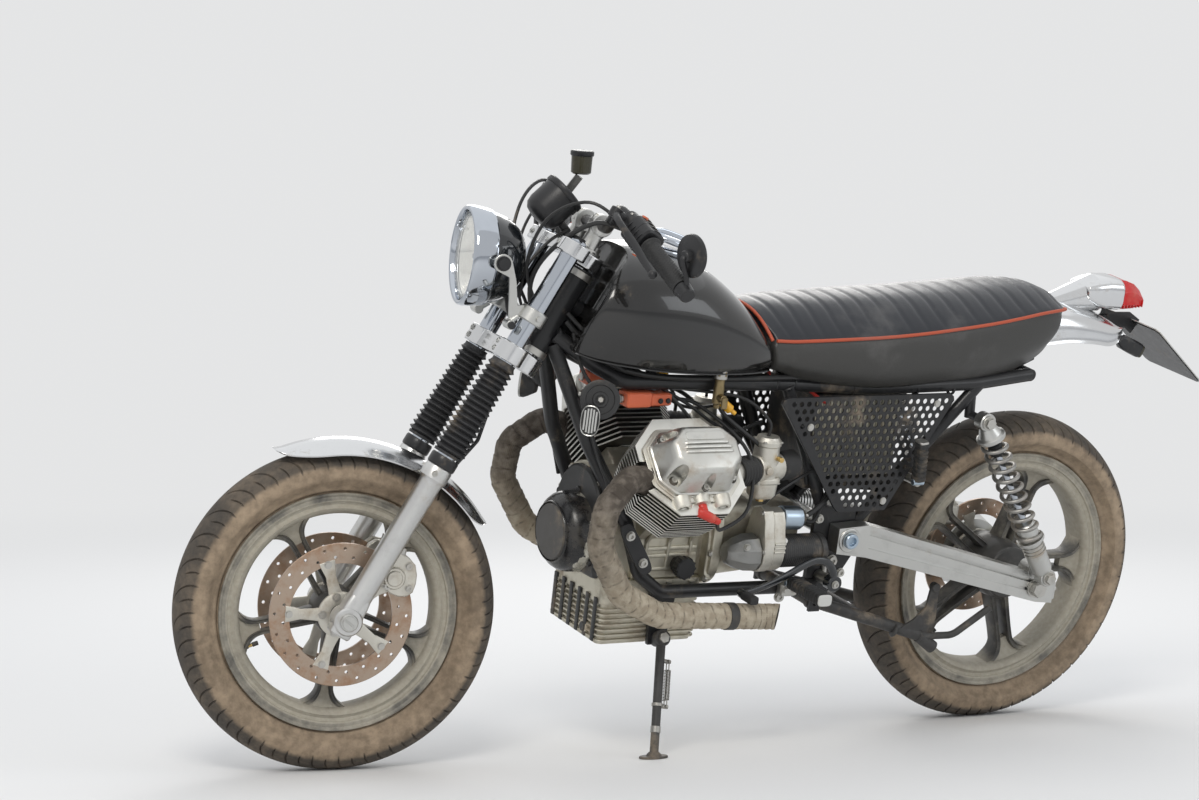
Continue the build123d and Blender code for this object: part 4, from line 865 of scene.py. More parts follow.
def fastener_tree(kind):
    """Sets a screw head on every point: a hexagon with a washer, a socket head or a dome."""
    field = Field(kind + " heads", Head_radius="Float", Head_height="Float", Washer_radius="Float")
    height = field.given("Head height")
    lift = field.node("ShaderNodeCombineXYZ", None, {"Z": height})

    def raised(piece, share):
        up_by = field.node("ShaderNodeVectorMath", {"operation": "SCALE"}, {0: lift, "Scale": share})
        return field.node("GeometryNodeTransform", None, {"Geometry": piece, "Translation": up_by})

    sides = {"hex": 6, "cap": 20, "dome": 16}[kind]
    head = raised(field.cylinder(sides, field.given("Head radius"), height), 0.5)
    washer = field.cylinder(20, field.given("Washer radius"), 0.36)
    if kind == "cap":
        # The socket of the screw, seen as a ring round a sunk floor
        drill = raised(field.cylinder(6, 0.52, 1.0), 1.15)
        head = field.node("GeometryNodeMeshBoolean", {"operation": "DIFFERENCE"}, {"Mesh 1": head, "Mesh 2": drill})
    joined = field.add("GeometryNodeJoinGeometry")
    for part in (head, washer):
        field.feed(joined, 0, part)
    return field.ended(field.scatter(field.given("Geometry"), Socket(field, joined.outputs[0]), field.held("size",
        "FLOAT")))


def fasteners(name, kind, spots, finish="steel", body="root", height=0.8, washer=1.3):
    """Screw heads at (place, outward direction, radius), each standing a little in its seat."""
    if kind not in TREES:
        TREES[kind] = fastener_tree(kind)
    mesh = run_field(name, TREES[kind], points_mesh(name, spots), finish, {"Head radius": 1.0, "Head height": height,
        "Washer radius": washer})
    place(mesh, body)
    into_scene(name, mesh, finish, body, angle=25)


def drill_tree():
    """Drills a round hole through a plate at every point."""
    field = Field("Drilled plate", Hole_radius="Float", Depth="Float", Sides="Int", Places="Object")
    places = field.node("GeometryNodeObjectInfo", None, {"Object": field.given("Places")}, "Geometry")
    size = field.held("size", "FLOAT")
    wide = field.node("ShaderNodeCombineXYZ", None, {"X": size, "Y": size, "Z": 1.0})
    drill = field.cylinder(field.given("Sides"), field.given("Hole radius"), field.given("Depth"))
    return field.ended(field.node("GeometryNodeMeshBoolean", {"operation": "DIFFERENCE", "solver": "EXACT"},
        {"Mesh 1": field.given("Geometry"), "Mesh 2": field.scatter(places, drill, wide)}))


def drilled(name, shape, spots, radius, depth, finish, node=None, body="root", sides=14, edge=0.0):
    """A plate with a hole at each (place, direction, relative size)."""
    if "drill" not in TREES:
        TREES["drill"] = drill_tree()
    mesh = bpy.data.meshes.new(name)
    mesh.from_pydata(shape.points, [], shape.faces)
    welded(mesh)
    marks = bpy.data.objects.new(name + "_places", points_mesh(name + "_places", spots))
    bpy.context.scene.collection.objects.link(marks)
    made = run_field(name, TREES["drill"], mesh, finish, {"Hole radius": radius, "Depth": depth, "Sides": sides,
        "Places": marks})
    bpy.data.objects.remove(marks)
    place(made, body)
    piece = into_scene(name, made, finish, body, node)
    if edge:
        round_edges(piece, edge)


def coil_tree():
    """A coil spring at every point, along the point's direction."""
    field = Field("Coil springs", Coil_radius="Float", Wire_radius="Float", Height="Float", Turns="Float")
    radius = field.given("Coil radius")
    helix = field.node("GeometryNodeCurveSpiral", None, {"Resolution": 26, "Rotations": field.given("Turns"),
        "Start Radius": radius, "End Radius": radius, "Height": field.given("Height")})
    wire = field.node("GeometryNodeCurvePrimitiveCircle", None, {"Resolution": 10,
        "Radius": field.given("Wire radius")})
    coil = field.node("GeometryNodeCurveToMesh", None, {"Curve": helix, "Profile Curve": wire, "Fill Caps": True})
    return field.ended(field.scatter(field.given("Geometry"), coil))


def springs(name, starts, runs, length, radius, wire, turns, body="root", node=None):
    """Equal coil springs, each from its starting point along its direction."""
    if "coil" not in TREES:
        TREES["coil"] = coil_tree()
    spots = [(p, d, 1.0) for p, d in zip(starts, runs)]
    mesh = run_field(name, TREES["coil"], points_mesh(name, spots), "spring", {"Coil radius": radius,
        "Wire radius": wire, "Height": length, "Turns": turns})
    place(mesh, body)
    into_scene(name, mesh, "spring", body, node, 60)


def make_disc(wheel, name, y, r, arm_r, node=None):
    """A drilled brake disc on a five-armed alloy carrier with its bolts."""
    centre = wheel["centre"] + SIDE * y
    inner = r * 0.72
    plate = Shape().turned(centre, SIDE, [(-2.5, inner), (-2.5, r - 0.8), (-1.8, r), (1.8, r), (2.5, r - 0.8),
        (2.5, inner)], 120)
    spots = []
    # Rows of holes: radius, how many, and the first one's angle in steps
    for row_r, count, shift in ((r - 10, 20, 0.0), (r - 25, 20, 0.5)):
        for n in range(count):
            a = 2 * pi * (n + shift) / count
            spots.append((centre + vec(cos(a), 0, sin(a)) * row_r, SIDE, 1.0))
    drilled(name, plate, spots, 3.0, 16, "disc", node, wheel["body"])
    carrier = Shape()
    carrier.turned(centre, SIDE, [(-2, 20), (-2, arm_r), (3.4, arm_r), (4, arm_r - 1), (4, 20)], 60, 0)
    bolts = []
    for n in range(5):
        a = 2 * pi * n / 5
        out = vec(cos(a), 0, sin(a))
        beside = vec(-sin(a), 0, cos(a))
        rings = []
        for d, w in ((arm_r - 6, 13), (arm_r + 6, 11), (lerp(arm_r, inner, 0.6), 9), (inner - 4, 13),
                (inner + 7, 15)):
            rings.append([centre + out * d + beside * (u * w) + SIDE * v for u, v in ((-1, -1.8), (-1, 2.6),
                (-0.85, 3.4), (0.85, 3.4), (1, 2.6), (1, -1.8))])
        carrier.skin(rings)
        outward = 1 if y > 0 else -1
        bolts.append((centre + out * (inner + 1) + SIDE * (3.2 if y > 0 else -2.4), SIDE * outward, 5.5))
        bolts.append((centre + out * (arm_r - 8) + SIDE * (4 if y > 0 else -2.2), SIDE * outward, 6.0))
    build(name + "_carrier", carrier, "cast", body=wheel["body"], bevel=0.5)
    fasteners(name + "_bolts", "hex", bolts, body=wheel["body"])


def make_wheels():
    for wheel, first in ((FRONT_WHEEL, -86.0), (REAR_WHEEL, -108.0)):
        make_tyre(wheel)
        make_rim(wheel, first)
    make_disc(FRONT_WHEEL, "left_front_disc", 52, 130, 42, "front_discs")
    make_disc(FRONT_WHEEL, "right_front_disc", -52, 130, 42)
    make_disc(REAR_WHEEL, "rear_brake_disc", -62, 118, 54, "rear_disc")


# Fork, headlight, bars and what they carry

FORK = "steering"
SLIDER_R = 21.5
STANCHION_R = 17.5
BAR_R = 11
GRIP_R = 17
RISER_X = FORK_OFFSET - 34
RISER_TOP = UPPER_YOKE_Z + YOKE_T + 52
LAMP_AT = fork_at(202, 0, 660)
LAMP_AXIS = vec(cos(radians(3)), 0, sin(radians(3)))
BAR_POINTS = [fork_at(RISER_X, 0, RISER_TOP), fork_at(RISER_X, 95, RISER_TOP), fork_at(RISER_X + 26, 190,
    RISER_TOP + 34), fork_at(RISER_X - 78, 392, RISER_TOP - 38)]
GRIP_RUN = unit(BAR_POINTS[3] - BAR_POINTS[2])


def other(p, s):
    """The point itself, or its twin on the right."""
    return vec(p.x, s * p.y, p.z)


def on_bar(s, back, forward=0.0, upward=0.0):
    """A point by the bar, measured inwards from its end."""
    return other(BAR_POINTS[3] - GRIP_RUN * back, s) + steer_fwd * forward + steer_up * upward


def make_fork():
    shape = Shape()
    tops = []
    for s in (1, -1):
        foot = fork_at(FORK_OFFSET, s * LEG_Y, 0)
        shape.turned(foot, steer_up, [(-30, 0), (-30, 15), (-27, 18), (20, 21.5), (60, SLIDER_R), (286, SLIDER_R),
            (289, 23), (293, 25.6), (314, 25.6), (317, 24), (317, 0)], 48, 0)
        # The ring that closes the slider over the fender's clamp
        shape.turned(foot, steer_up, [(317, 18), (317, 25.4), (320, 26.6), (335, 26.6), (338, 25), (338, 18)], 48, 1)
        # Square foot round the axle
        section = oval(44, 42, 20, 0.45)
        path = [foot + steer_up * z for z in (-31, -28, -10, 16, 34, 46)]
        shape.sweep(path, section, 0, hint=SIDE, scale=[(0.84, 0.84), (0.95, 0.95), (1, 1), (1, 1), (0.98, 0.98),
            (0.9, 0.9)])
        lug = FRONT_AXLE + SIDE * (s * 98)
        shape.turned(lug, SIDE * s, [(-22, 9), (-22, 23), (-19, 26), (20, 26), (24, 23), (24, 9)], 40, 0)
        # Stanchion and its cap
        shape.turned(foot, steer_up, [(338, 0), (338, STANCHION_R), (UPPER_YOKE_Z + YOKE_T + 3, STANCHION_R),
            (UPPER_YOKE_Z + YOKE_T + 6, 15.5), (UPPER_YOKE_Z + YOKE_T + 6, 0)], 40, 2)
        tops.append((foot + steer_up * (UPPER_YOKE_Z + YOKE_T + 5), steer_up, 12.5))
    build("fork_tubes", shape, "slider black chrome", "fork_legs", FORK)
    fasteners("fork_top_caps", "hex", tops, "black", FORK, height=0.5, washer=1.15)


def make_front_axle():
    """The spindle with its slotted ends."""
    axle = Shape()
    for s in (1, -1):
        end = FRONT_AXLE + SIDE * (s * 122)
        axle.turned(end, SIDE * s, [(-8, 0), (-8, 16), (5, 16), (7, 14.5), (7, 0)], 32)
        for k in (1, -1):
            arc = [(12.5 * cos(radians(a)), k * (1.8 + 10.4 * sin(radians(a)))) for a in range(0, 181, 20)]
            axle.slab(arc, end + SIDE * (s * 8.4), (0.8, 0, 0.6), (-0.6, 0, 0.8), 3.6, 0, 0.4)
    axle.rod(FRONT_AXLE - SIDE * 120, FRONT_AXLE + SIDE * 120, 8.4)
    build("front_axle_screws", axle, "machined", "front_axle", FORK)


def make_fork_screws():
    """Screws of the fender's clamp and of the axle's."""
    clamp = []
    for s in (1, -1):
        foot = fork_at(FORK_OFFSET, s * LEG_Y, 0)
        clamp.append((foot + steer_up * 303 + SIDE * (s * 24) + steer_fwd * 8, SIDE * s, 4.6))
        clamp.append((foot + steer_up * 8 + steer_fwd * -22, steer_fwd * -1, 4.8))
        clamp.append((foot + steer_up * -12 + steer_fwd * 20, steer_fwd, 4.8))
    fasteners("fork_screws", "cap", clamp, body=FORK)


def make_gaiters():
    boots = Shape()
    ribs, low, high = 17, 341, 536
    for s in (1, -1):
        foot = fork_at(FORK_OFFSET, s * LEG_Y, 0)
        profile = [(low, 18), (low, 26.5), (low + 5, 27)]
        for n in range(ribs):
            z = low + 6 + (high - low - 12) * n / ribs
            pitch = (high - low - 12) / ribs
            wide = 30.2 - 0.25 * n
            profile += [(z + pitch * 0.02, wide - 6.4), (z + pitch * 0.3, wide - 1.6), (z + pitch * 0.42, wide),
                (z + pitch * 0.58, wide), (z + pitch * 0.7, wide - 1.6)]
        profile += [(high - 5, 22.5), (high, 22.5), (high, 18)]
        boots.turned(foot, steer_up, profile, 36)
    build("gaiters", boots, "boot", "fork_gaiters", FORK, 50)


def make_yokes():
    dressed("yokes", "fork_yokes", "polished", 2.4, body=FORK)
    pinch = []
    for s in (1, -1):
        for z in (LOWER_YOKE_Z + 10, LOWER_YOKE_Z + 25, UPPER_YOKE_Z + 13):
            pinch.append((fork_at(FORK_OFFSET + 27, s * (LEG_Y - 6), z), steer_fwd, 5.2))
    pinch.append((fork_at(0, 0, UPPER_YOKE_Z + YOKE_T + 5), steer_up, 15))
    fasteners("yoke_screws", "cap", pinch, "machined", FORK)


def make_headlight():
    def around(profile, finish, shape, steps=72):
        shape.turned(LAMP_AT, LAMP_AXIS, profile, steps, finish)

    lamp = Shape()
    around([(-112, 0), (-112, 18), (-110.5, 32), (-105, 47), (-96, 59), (-84, 69.5), (-68, 77.5), (-52, 81.5),
        (-44, 82.5), (-44, 40), (-40, 0)], 0, lamp)
    # Deep rim with a rolled front edge
    around([(-46, 78), (-46, 84.5), (-44, 86.5), (-40, 87.5), (-20, 90.4), (-8, 91), (-3, 90), (0, 87.6), (1, 84.5),
        (-0.5, 81.5), (-4, 79.6), (-14, 78.6), (-14, 76)], 1, lamp)
    around([(-13, 77.5), (-20, 74), (-36, 61), (-52, 40), (-60, 18), (-62, 0), (-66, 0), (-63, 24), (-54, 46),
        (-38, 66), (-22, 78.2)], 2, lamp)
    around([(-60, 0), (-60, 12), (-42, 12), (-40, 9), (-24, 8), (-20, 5), (-19, 0)], 1, lamp, 24)
    build("headlight_shell", lamp, "bucket chrome reflector", "headlight", FORK)


LENS_R = 77.6
LENS_RINGS = 16
LENS_SIDES = 120
FLUTE = 9.0


def make_lens():
    """Clear glass, domed, with upright flutes and a plain ring."""
    lens = Shape()
    upward = LAMP_AXIS.cross(SIDE).normalized() * -1
    rings = []
    for thick, back in ((0.0, False), (3.0, True)):
        ring_set = []
        for n in range(LENS_RINGS + 1):
            r = LENS_R * n / LENS_RINGS
            dome = 3.4 - 13.5 * (r / LENS_R) ** 2
            ring = []
            for k in range(LENS_SIDES):
                a = 2 * pi * k / LENS_SIDES
                y, z = r * cos(a), r * sin(a)
                step = 0.8 * ease((8 - abs(r - 66)) / 8)
                flute = 0.0 if back else 0.9 * abs(sin(pi * y / FLUTE)) * ease((74 - r) / 6) + step
                ring.append(LAMP_AT + LAMP_AXIS * (dome - thick + flute) + SIDE * y + upward * z)
            ring_set.append(ring)
        rings += ring_set if not back else list(reversed(ring_set))
    lens.skin(rings, caps=False)
    build("ribbed_lens", lens, "glass", "headlight_lens", FORK, 60)


def make_lamp_ears():
    ears = Shape()
    bolts = []
    for s in (1, -1):
        pivot = LAMP_AT + LAMP_AXIS * -50 + SIDE * (s * 97)
        ring = fork_at(FORK_OFFSET, s * LEG_Y, 630)
        ears.turned(ring, steer_up, collar(13, 17.6, 23.5, 11, 25.5), 40)
        a = fork_at(FORK_OFFSET + 20, 0, 630)
        outline = [(a.x + steer_up.x * -12, a.z + steer_up.z * -12), (a.x + 26, a.z - 20),
            (pivot.x - 13, pivot.z - 24)]
        outline += [(pivot.x + 17 * cos(radians(t)), pivot.z + 17 * sin(radians(t))) for t in range(-50, 181, 21)]
        outline += [(pivot.x - 26, pivot.z - 30), (a.x + 12, a.z + 8), (a.x + steer_up.x * 12, a.z + steer_up.z * 12)]
        ears.slab(outline, (0, s * 101, 0), *SIDE_ON, 6)
        ears.rod(pivot - SIDE * (s * 16), pivot + SIDE * (s * 2), 11, 11, 0)
        bolts.append((pivot + SIDE * (s * 7), SIDE * s, 10.0))
        ears.rod(ring + SIDE * (s * 22) - steer_fwd * 6, ring + SIDE * (s * 32) - steer_fwd * 6, 5, 5, 0, 12)
        # Stub of the removed indicator
        stub = fork_at(FORK_OFFSET + 34, s * 104, 596)
        ears.rods(
            (stub - SIDE * (s * 6), stub + SIDE * (s * 26), 8.5, 8.5, 0, 24, 1),
            (stub + SIDE * (s * 26), stub + SIDE * (s * 33), 7, 7, 1, 24, 1),
            (stub, fork_at(FORK_OFFSET + 24, s * 101, 616), 5, 5, 0, 12))
    build("lamp_ears", ears, "machined plastic", body=FORK, bevel=0.8)
    fasteners("lamp_ear_bolts", "dome", bolts, "black", FORK, height=0.55, washer=1.35)


def make_bars():
    bar = Shape()
    route = [other(p, -1) for p in reversed(BAR_POINTS[1:])] + BAR_POINTS[1:]
    bar.tube(filleted(route, [30, 30, 30, 30], 5), BAR_R, 0, 20)
    caps = []
    for s in (1, -1):
        base = fork_at(RISER_X, s * 52, UPPER_YOKE_Z + YOKE_T)
        bar.turned(base, steer_up, [(0.3, 0), (0.3, 19), (4, 19.5), (7, 16), (32, 15), (40, 18), (52, 19), (52, 0)],
            32, 1)
        mid = fork_at(RISER_X, s * 52, RISER_TOP)
        bar.turned(mid, SIDE, collar(16, 11, 19, 14, 20.5), 36, 1)
        for u in (-15, 15):
            bar.rod(mid + steer_fwd * u - steer_up * 10, mid + steer_fwd * u + steer_up * 12, 6.4, 6.4, 1, 16, 0.8)
            caps.append((mid + steer_fwd * u + steer_up * 11.5, steer_up, 4.3))
    build("handlebar_tube", bar, "black machined", "handlebar", FORK)
    fasteners("riser_screws", "cap", caps, body=FORK)


def make_grips():
    grips = Shape()
    for s in (1, -1):
        inner, outer = on_bar(s, 122), on_bar(s, 0)
        axis = unit(outer - inner)
        top = steer_up - axis * steer_up.dot(axis)
        top.normalize()
        side = axis.cross(top)
        rings = []
        length = 122.0
        for n in range(76):
            x = length * n / 75
            ring = []
            for k in range(60):
                a = 2 * pi * k / 60
                band = ease((x - 9) / 4) * ease((length - 5 - x) / 4)
                diamond = abs(sin(a * 6 + x * 0.52)) * abs(sin(a * 6 - x * 0.52))
                r = GRIP_R - 1.2 + band * (1.6 * diamond - 0.2) + 4.6 * ease((5 - x) / 3)
                r += 1.2 * ease((x - length + 5) / 3)
                ring.append(inner + axis * x + top * (r * cos(a)) + side * (r * sin(a)))
            rings.append(ring)
        grips.skin(rings)
    build("patterned_grips", grips, "rubber", "grips", FORK, 70)


def make_hand_controls():
    parts = Shape()
    screws = []
    for s in (1, -1):
        run = (on_bar(s, 0) - on_bar(s, 100)).normalized()
        # Switch box in two halves
        path = [on_bar(s, b) for b in (176, 174, 150.6, 149.8, 149, 130, 127)]
        parts.sweep(path, oval(54, 52, 24, 0.5), 0, hint=steer_up, scale=[(0.88, 0.88), (1, 1), (1, 1), (0.97, 0.97),
            (1, 1), (1, 1), (0.88, 0.88)])
        # Lever perch and clamp
        path = [on_bar(s, b) for b in (207, 205, 183, 181)]
        parts.sweep(path, oval(36, 36, 24, 0.8), 0, hint=steer_up, scale=[(0.9, 0.9), (1, 1), (1, 1), (0.9, 0.9)])
        hinge = on_bar(s, 196, 34)
        parts.sweep([on_bar(s, 196, 10), on_bar(s, 196, 22), hinge], oval(20, 17, 16, 0.7), 0, hint=steer_up)
        parts.rod(hinge - steer_up * 9, hinge + steer_up * 9, 11.5, 11.5, 0, 24, 1)
        screws.append((hinge + steer_up * 9, steer_up, 5.0))
        screws.append((on_bar(s, 188, 12, 15), steer_up, 3.4))
        screws.append((on_bar(s, 160, 18, 18), steer_up, 3.0))
        # Blade of the lever, a curve that ends in a ball
        curve = along_curve([hinge + run * 4, on_bar(s, 172, 46, 1), on_bar(s, 140, 53, 1), on_bar(s, 90, 50, -3),
            on_bar(s, 50, 46, -9), on_bar(s, 20, 44, -12)], 6)
        sizes = along_curve([(14, 13, 0), (13, 11, 0), (12, 9, 0), (14, 8, 0), (13, 8, 0), (9, 7.5, 0)], 6)
        parts.sweep(curve, oval(1, 1, 16, 0.8), 0, hint=steer_up, scale=[(v.y, v.x) for v in sizes])
        ball = on_bar(s, 19, 44, -12)
        parts.turned(ball, run, [(8 * -cos(t * pi / 8), max(0.0, 8 * sin(t * pi / 8))) for t in range(9)], 20, 0)
        # Coloured switches on the face towards the rider
        for back, up_by, finish in ((162, 10, 1), (141, -6, 1), (150, 14, 2)):
            knob = on_bar(s, back, -25, up_by)
            parts.rod(knob, knob - steer_fwd * 6 + steer_up * 1, 5, 4.2, finish, 16, 0.8)
        # Switches on the outer face, and the pale one below
        face = on_bar(s, 164, 6, 26)
        parts.sweep([face, face + steer_up * 4], oval(11, 15, 16, 0.5), 1, hint=SIDE)
        low = on_bar(s, 141, 4, -25)
        parts.sweep([low, low - steer_up * 5], oval(14, 10, 16, 0.5), 5, hint=SIDE)
        parts.sweep([low - steer_up * 4, low - steer_up * 7], oval(7, 8, 16, 0.5), 1, hint=SIDE)
        for back in (133, 145, 157, 169):
            rim = on_bar(s, back)
            parts.turned(rim, run, collar(1.2, 24, 28.6), 40, 0)
    # Brake reservoir on its bracket
    foot = on_bar(-1, 192)
    pot = foot + steer_up * 58 + SIDE * 24
    parts.slab([(-8, 0), (8, 0), (8, 46), (-8, 46)], foot + unit(pot - foot) * 12, steer_fwd, unit(pot - foot), 4, 3)
    parts.turned(pot, UPWARD, [(0, 0), (0, 15), (3, 19), (34, 20), (34, 0)], 32, 4)
    parts.turned(pot + vec(0, 0, 34), UPWARD, [(0, 0), (0, 21), (2, 22.2), (8, 22.2), (10, 20.5), (10, 0)], 40, 0)
    build("hand_levers_and_switches", parts, "plastic orange red_cap machined smoke plate",
        "hand_controls", FORK)
    fasteners("control_screws", "cap", screws, body=FORK)


def make_mirrors():
    mirrors = Shape()
    for s in (1, -1):
        end = on_bar(s, -10)
        eye = end + vec(-6, s * 6, 62)
        facing = unit((-0.94, s * -0.34, 0.05))
        mirrors.rod(on_bar(s, -0.4), on_bar(s, -25), 16, 14, 0, 32, 2)
        mirrors.tube(along_curve([on_bar(s, -14), end + vec(0, s * 6, 22), eye - facing * 18 - vec(0, 0, 8),
            eye - facing * 10], 6), 5, 0, 16)
        mirrors.turned(eye, facing, [(-7, 0), (-7, 20), (-5.5, 33), (-3.5, 36.6), (0, 38), (3, 38), (4.5, 37),
            (4.5, 35), (2.5, 34.6), (2.5, 0)], 56, 0)
        mirrors.turned(eye, facing, [(2.5, 0), (2.5, 34.4), (3.1, 34.4), (3.1, 0)], 48, 1)
        mirrors.rod(eye - facing * 17, eye - facing * 5, 10.5, 12, 0, 28, 2)
    build("bar_end_mirrors", mirrors, "plastic mirror_glass", "mirrors", FORK)


def make_instrument():
    clock = Shape()
    at = fork_at(FORK_OFFSET + 50, 0, UPPER_YOKE_Z + 62)
    tilt = unit(steer_up * 0.8 - steer_fwd * 0.25)
    clock.turned(at, tilt, [(-34, 0), (-34, 16), (-31, 27), (-24, 34), (-12, 37.4), (30, 38), (30, 0)], 56, 0)
    clock.turned(at, tilt, [(29, 30), (29, 40), (31, 41.2), (38, 41.2), (40.5, 39), (40, 36.5), (36, 35.6), (36, 30)],
        56, 0)
    clock.turned(at, tilt, [(30, 0), (30, 35), (32, 35), (32, 0)], 56, 2)
    clock.turned(at, tilt, [(34.5, 0), (34.5, 36), (36.5, 35), (38, 20), (38.4, 0)], 56, 3)
    base = fork_at(FORK_OFFSET - 4, 0, UPPER_YOKE_Z + YOKE_T)
    clock.rods((base, base + steer_up * 14, 12, 11, 1, 32, 1), (base + steer_up * 12, at, 8, 8, 1, 24))
    # Three lamps in a row below the face
    for k in (-1, 0, 1):
        spot = at + tilt * 8 + SIDE * (k * 16) + steer_fwd * -34
        clock.rod(spot, spot + tilt * 10, 4.5, 4.5, 1, 16, 0.6)
    build("instrument_pod", clock, "plastic black dial glass", "instrument", FORK)


def make_front_fender():
    radius, half = 307, 57
    fender = Shape()
    rings = []
    steps = 64
    for n in range(steps + 1):
        share = n / steps
        angle = radians(66 + 82 * share)
        near, far = share * 82, (1 - share) * 82
        # Both ends narrow to a rounded point
        w = half * min(1.0, 0.3 + 0.7 * sqrt(max(0.0, 1 - (1 - min(near / 17, 1)) ** 2)),
            0.42 + 0.58 * sqrt(max(0.0, 1 - (1 - min(far / 9, 1)) ** 2)))
        roll = 2.2 * ease((2.2 - near) / 1.6) + 1.4 * ease((2.0 - far) / 1.6)
        outer, inner = [], []
        for k in range(19):
            u = -1 + 2 * k / 18
            y = w * u
            r = radius + 6.5 - 26.5 * (abs(y) / 58.0) ** 2.1
            lip = 1.6 * ease((abs(u) - 0.9) / 0.08)
            outer.append(wheel_point(FRONT_WHEEL, r + lip + roll, angle, y))
            inner.append(wheel_point(FRONT_WHEEL, r + lip + roll - 2.4, angle, y * 0.985))
        rings.append(outer + list(reversed(inner)))
    fender.skin(rings)
    build("front_fender_blade", fender, "polished", "front_fender", FORK, 50)
    stays = Shape()
    bolts = []
    for s in (1, -1):
        clamp = fork_at(FORK_OFFSET + 8, s * (LEG_Y - 24), 303)
        tip = fork_at(FORK_OFFSET + 10, s * 46, 300)
        stays.sweep([clamp, clamp.lerp(tip, 0.5), tip], oval(26, 5, 12, 0.4), 0, hint=steer_fwd)
        bolts.append((fork_at(FORK_OFFSET + 12, s * 52, 305), steer_up, 5.0))
    build("fender_stays", stays, "machined", body=FORK, bevel=0.6)
    fasteners("fender_screws", "cap", bolts, body=FORK)


def make_front_calipers():
    cal = Shape()
    bolts = []
    for s in (1, -1):
        mid = vec(WHEELBASE - 88, s * 52, FRONT_AXLE_Z + 72)
        outline = [(-42, 6), (-38, 24), (-26, 37), (-8, 46), (12, 50), (24, 42), (36, 26), (32, 4), (22, -14),
            (6, -28), (-10, -34), (-26, -33), (-36, -26), (-41, -10)]
        for y, t in ((14, 15), (-14, 15)):
            cal.slab(outline, mid + SIDE * y, *SIDE_ON, t, 0, 2.2)
        bridge = [(-42, 6), (-38, 24), (-26, 37), (-22, 30), (-33, 18), (-36, 4), (-34, -12), (-30, -26), (-36, -26),
            (-41, -10)]
        cal.slab(bridge, mid, *SIDE_ON, 16, 0, 0.5)
        cal.rods(
            (mid + SIDE * (s * 20), mid + SIDE * (s * 27), 21, 19.5, 0, 40, 1.5),
            (mid + SIDE * (s * 26), mid + SIDE * (s * 29.5), 15, 14, 0, 40, 1.2))
        lug = vec(mid.x + 14, s * 68, mid.z + 26)
        cal.rod(lug, vec(lug.x, s * 76, lug.z), 12, 12, 0, 32, 1)
        for u, v in ((-26, 22), (-28, -18), (14, 38), (12, -14)):
            bolts.append((mid + vec(u, s * 22, v), SIDE * s, 5.4))
        # Hose union on top
        top = mid + vec(-12, s * 14, 42)
        cal.rod(top, top + vec(-3, 0, 12), 7.5, 7.5, 1, 20, 0.8)
    build("caliper_castings", cal, "cast steel", "front_calipers", FORK, bevel=1.0)
    fasteners("caliper_screws", "cap", bolts, body=FORK)
    refinish("cable", "brake_hose")


def make_cables():
    """Cables and wires that loop from the bars down to the steering head."""
    cables = Shape()
    # Points in the fork's own plane, from the bar to the head
    for route, r in (([(16, 168, 850), (92, 140, 852), (128, 92, 790), (104, 58, 700), (30, 42, 640)], 3.2),
            ([(24, -176, 852), (104, -140, 862), (136, -84, 800), (108, -50, 706), (28, -42, 640)], 3.2),
            ([(20, -150, 846), (84, -128, 840), (110, -74, 770), (90, -44, 690), (26, -38, 620)], 2.8),
            ([(8, 140, 846), (60, 124, 826), (88, 82, 752), (80, 50, 680), (24, 40, 610)], 4.4),
            ([(96, 18, 640), (74, 30, 612), (40, 40, 600), (20, 36, 588)], 5.5),
            ([(60, 8, 800), (84, 22, 760), (96, 30, 700), (80, 34, 650)], 3.0)):
        cables.tube(along_curve([fork_at(*p) for p in route], 8), r, 0, 10)
    build("control_cables", cables, "cable", body=FORK)


# Tank, seat, tail and side panels

# Tank from rear to front: place along the bike, half width, height of the lower edge, of the widest line and of the top
TANK = [(652, 102, 440, 462, 478), (672, 112, 437, 474, 508), (700, 122, 437, 484, 543), (740, 132, 438, 496, 582),
    (800, 143, 441, 510, 622), (860, 149, 445, 520, 646), (920, 150, 450, 527, 657), (975, 143, 456, 534, 654),
    (1020, 127, 461, 542, 641), (1052, 106, 466, 548, 620), (1074, 76, 474, 550, 596), (1087, 44, 492, 548, 574),
    (1093, 14, 520, 546, 558)]
SEAM_X, SEAM_Z, SEAM_LEAN = 676, 496, 0.2407
# Seat from front to rear: place, half width at the piping, heights of the piping, the crown and the lower edge
SEAT = [(690, 112, 500, 546, 440), (650, 118, 500, 553, 432), (600, 123, 502, 557, 422), (520, 129, 506, 562, 411),
    (440, 132, 510, 566, 404), (360, 133, 516, 569, 405), (280, 132, 524, 573, 411), (200, 130, 533, 578, 416),
    (130, 124, 542, 583, 424), (80, 116, 548, 585, 438), (35, 104, 550, 583, 458), (5, 88, 548, 576, 480),
    (-16, 68, 545, 566, 496), (-28, 46, 542, 556, 506), (-34, 20, 540, 546, 514)]


def table_curve(rows, steps):
    """A table's rows joined smoothly, as rows again."""
    first = along_curve([r[0:3] for r in rows], steps)
    second = along_curve([(r[3], r[4], 0) for r in rows], steps)
    return [(a.x, a.y, a.z, b.x, b.y) for a, b in zip(first, second)]


